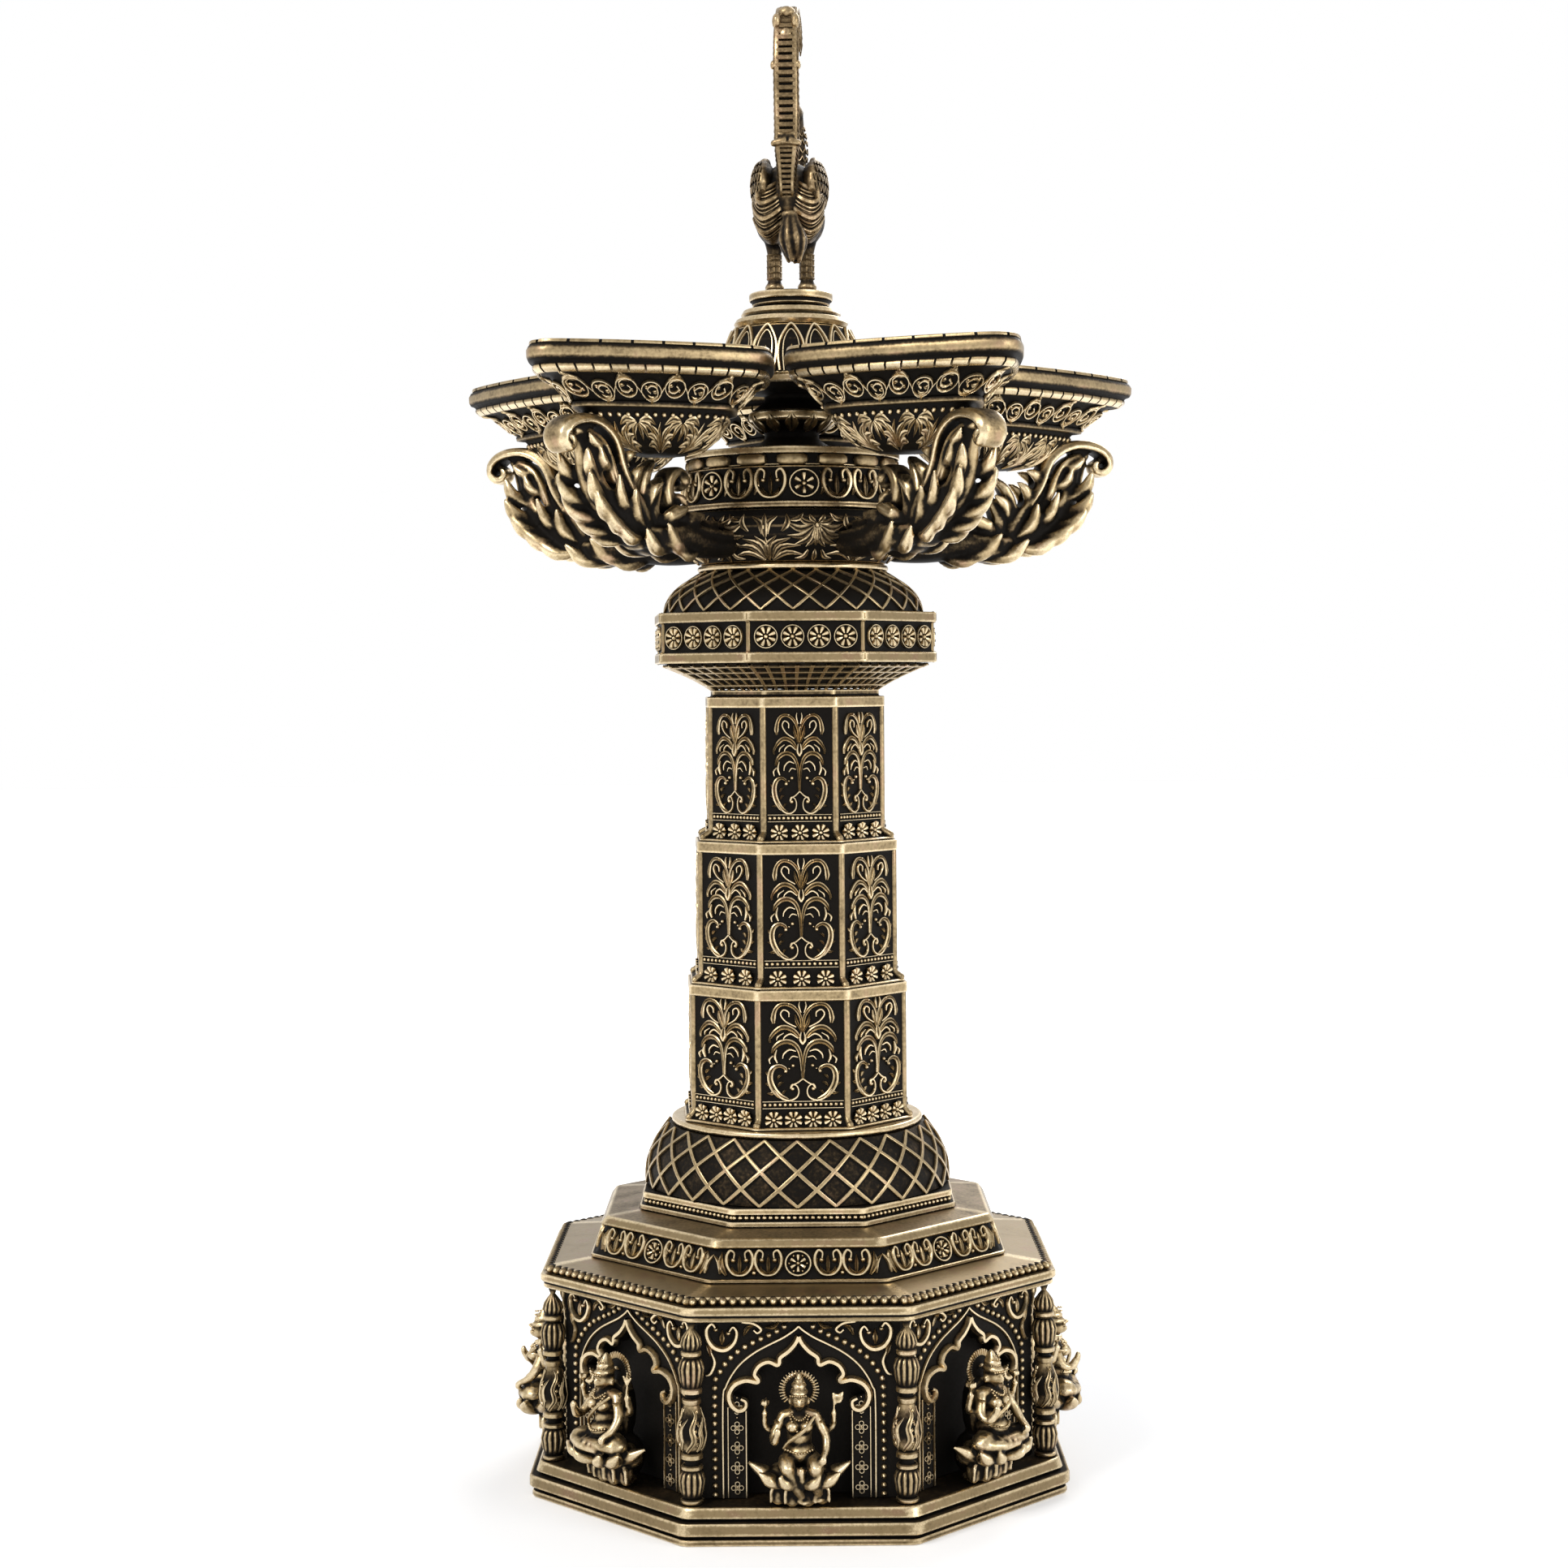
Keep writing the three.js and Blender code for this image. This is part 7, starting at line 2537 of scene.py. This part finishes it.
    def tail_forms(self) -> list[Patch]:
        """Returns the collar, knobs, end blocks and tassel of the plume."""
        forms = [rod([(-20.4, 48.6, -4.2), (-20.6, 49.4, 0), (-20.4, 48.6, 4.2)], (1.3, 1.7, 1.3), 10, 4),
                 rod([(-19.4, 52, -2.6), (-20, 51, 0), (-19.4, 52, 2.6)], (1.2, 1.3, 1.2), 8, 3)]
        for side in (-1, 1):
            forms.append(blob((-19.6, 75.6, side * 4.2), (3.4, 3.6, 2.4), 10, 8))
            forms.append(blob((-16.4, 91.4, side * 3.2), (5.2, 5.8, 3.4), 10, 8))
        forms += [blob((-17.6, 86.6, 0), (3.6, 4.8, 5.4), 10, 8),
                  blob((-12.2, 95.2, 0), (6.4, 5, 6.6), 12, 9)]
        shift = -2.0
        forms.append(blob((-19.4, 24.4, -0.9), (6.2, 3, 6), 12, 7))
        for k, (x, z) in enumerate(oval((0, 0), 1, 1, 9)):
            end = 8.4 + 1.4 * (k % 2)
            line = [(-19.6 + 1.6 * x, 23.4, -1.2 + 1.6 * z), (-19.8 + 3.9 * x, 15.6, shift + 3.6 * z),
                    (-19.8 + 2.1 * x, end, shift * 1.3 + 2 * z)]
            forms.append(rod(line, (1.1, 1.7, 0.9), 8, 4))
        forms.append(blob((-19.8, 15, shift), (6, 12, 5.6), 12, 9))
        return forms

    def resampled(self, shares: Sequence[Pair], count: int) -> Array:
        """Returns a share table as evenly spaced points, in millimetres."""
        line = smooth([(a * self.plume_reach, b * self.plume_top) for a, b in shares], 12)
        run = run_of(line)
        return sampled(line, run, np.linspace(0, run[-1], count))

    def assemble(self, name: str, forms: Sequence[Patch], fine: Sequence[Patch], node: str) -> None:
        """Melts forms, adds the fine relief and puts the piece on the bird's body."""
        points, quads, tones = fused(forms, self.voxel, 2)
        body = free_mesh(f"{name}_form", points[:, (0, 2, 1)], quads[:, ::-1], tones * self.patina, SHADED_BRASS)
        darker = [Patch(patch.points, patch.tones * self.patina, patch.wraps) for patch in fine]
        mesh = joined(body, patch_mesh(f"{name}_fine", darker, SHADED_BRASS))
        low, _ = level("bird_body")
        place_copy(mesh, name, Seat(self.turn, 0, low), "bird", node)

    def build(self) -> None:
        """Builds the bird."""
        self.assemble("bird_body_casting", self.body(), self.feathers(), "bird_body")
        for side, name in ((1, "wing_left"), (-1, "wing_right")):
            forms, fine = self.wing(side)
            self.assemble(f"{name}_casting", forms, fine, name)
        self.assemble("tail_plume_casting", self.tail_forms(), self.ribbon(), "tail_plume")


def feather(panel: Panel, middle: float, height: float, size: Pair, widths: Sequence[float],
            rise: float) -> None:
    """Adds the outline of a feather: a small hanging arc of a half width and a half height."""
    across, up = size
    panel.stroke([(middle - across, height + up), (middle, height - up), (middle + across, height + up)],
                 widths, rise, steps=3)


# Studio


def sight(graph: Graph) -> Value:
    """Returns one for rays that the camera, gloss or glass sends out, and zero for others."""
    path = graph.node("LightPath")
    kinds = [graph.value(path, f"Is {kind} Ray") for kind in ("Camera", "Glossy", "Transmission")]
    return (kinds[0] + kinds[1] + kinds[2]).clamped()


@dataclass(frozen=True)
class Studio:
    """Camera, floor, background and soft lights."""

    distance: float = 0.910
    height: float = 0.273
    lens: float = 59.63
    shift: Pair = (-0.0062, -0.0652)
    roll: float = 0.43
    glow: float = 0.34

    def camera(self) -> None:
        """Adds the camera."""
        data = bpy.data.cameras.new("camera")
        data.lens, data.sensor_width = self.lens, 36.0
        data.shift_x, data.shift_y = self.shift
        eye = linked("camera", data)
        eye.location = (0, -self.distance, self.height)
        eye.rotation_mode = "XYZ"
        eye.rotation_euler = (math.radians(90), math.radians(self.roll), 0)
        bpy.context.scene.camera = eye

    def floor(self) -> None:
        """Adds the pale floor."""
        bpy.ops.mesh.primitive_plane_add(size=12, location=(0, 0, -0.0002))
        floor = bpy.context.active_object
        floor.name = "floor"
        material = bpy.data.materials.new("pale_floor")
        graph = Graph(material)
        plain = {"Base Color": (0.9, 0.9, 0.9, 1), "Roughness": 0.9}
        lit = graph.node("BsdfPrincipled", None, plain)
        place = graph.node("TexCoord").outputs["Object"]
        away = graph.value(graph.node("VectorMath", {"operation": "LENGTH"}, {0: place}), "Value")
        light = graph.mix(away.between(0.15, 0.6), (self.glow,) * 3, (1, 1, 1))
        seen = graph.node("BsdfPrincipled", None, plain | {"Emission Color": light, "Emission Strength": 1})
        mixed = graph.node("MixShader", None, {0: sight(graph), 1: lit.outputs[0], 2: seen.outputs[0]})
        graph.node("OutputMaterial", None, {"Surface": mixed.outputs[0]})
        floor.data.materials.append(material)

    def world(self) -> None:
        """Sets a background that looks white and lights softly."""
        world = bpy.data.worlds.new("world")
        bpy.context.scene.world = world
        graph = Graph(world)
        soft = graph.node("Background", None, {"Color": (0.93, 0.95, 1, 1), "Strength": 0.45})
        white = graph.node("Background", None, {"Color": (1, 1, 1, 1), "Strength": 1})
        mixed = graph.node("MixShader", None, {0: sight(graph), 1: soft.outputs[0], 2: white.outputs[0]})
        graph.node("OutputWorld", None, {"Surface": mixed.outputs[0]})

    def light(self, name: str, place: Corner, size: float, power: float, tint: Colour = (1, 1, 1)) -> None:
        """Adds an area light that looks at the lamp's middle."""
        data = bpy.data.lights.new(name, "AREA")
        data.shape, data.size = "DISK", size
        data.energy, data.color = power, tint
        lamp = linked(name, data)
        lamp.location = place
        aim = Vector((0, 0, 0.24)) - Vector(place)
        lamp.rotation_euler = aim.to_track_quat("-Z", "Y").to_euler()

    def build(self) -> None:
        """Builds the studio."""
        self.camera()
        self.floor()
        self.world()
        self.light("key", (-0.9, -1, 1.3), 0.7, 13, (1, 0.97, 0.93))
        self.light("fill", (1.1, -0.8, 0.6), 0.8, 5.5)
        self.light("rim", (0.5, 1.1, 1.1), 0.8, 8)
        bpy.context.scene.view_settings.view_transform = "Standard"


def plain_nodes() -> None:
    """Gives the carried-over solids their finishes."""
    for node in ("base_plate", "bird_washer"):
        finish_node(node, SHEET)
    for node in ("tie_rod", "rod_nut", "rod_washer", "clamp_plate", "bird_stud"):
        finish_node(node, STEEL)


class Assembly(Protocol):
    """A part of the lamp that builds its own pieces."""

    def build(self) -> None:
        """Builds the pieces."""


def assemblies() -> list[Assembly]:
    """Returns every sub-assembly that builds its own pieces."""
    return [
        Foot(), Drum(), Balusters(), Cap(), Step(), Plinth(),
        LatticeDome("lower_dome", "base", 52.3, 44.4, 2.6, 2.6, 26, 2),
        RoundRing("neck_ring", "base", 43.8, 36),
        Tier("column_lower", 42.4, 39.5, 40.7, 4, Tree(1, 1, 5.6)),
        Tier("column_middle", 39.8, 36.4, 37.4, 3, Tree(0.9, 1.03, 5.6)),
        Tier("column_upper", 36.4, 32.3, 33.2, 3, Tree(0.78, 1.03, 5.6), 31.2),
        Funnel(), CapitalBand(),
        LatticeDome("capital_dome", "capital", 44.7, 31.6, 3.4, 2.6, 26, 2.1, rib=0.7, floor_tone=0.08),
        RoundRing("capital_collar", "capital", 33.4, 24),
        *head_pieces(), Brackets(), OilBowls(), Figures(), Bird(),
    ]


def main() -> None:
    """Builds the lamp's visual pieces and the studio around them."""
    logging.basicConfig(level=logging.INFO, format="%(message)s")
    Studio().build()
    plain_nodes()
    for assembly in assemblies():
        assembly.build()


if __name__ == "__main__":
    main()
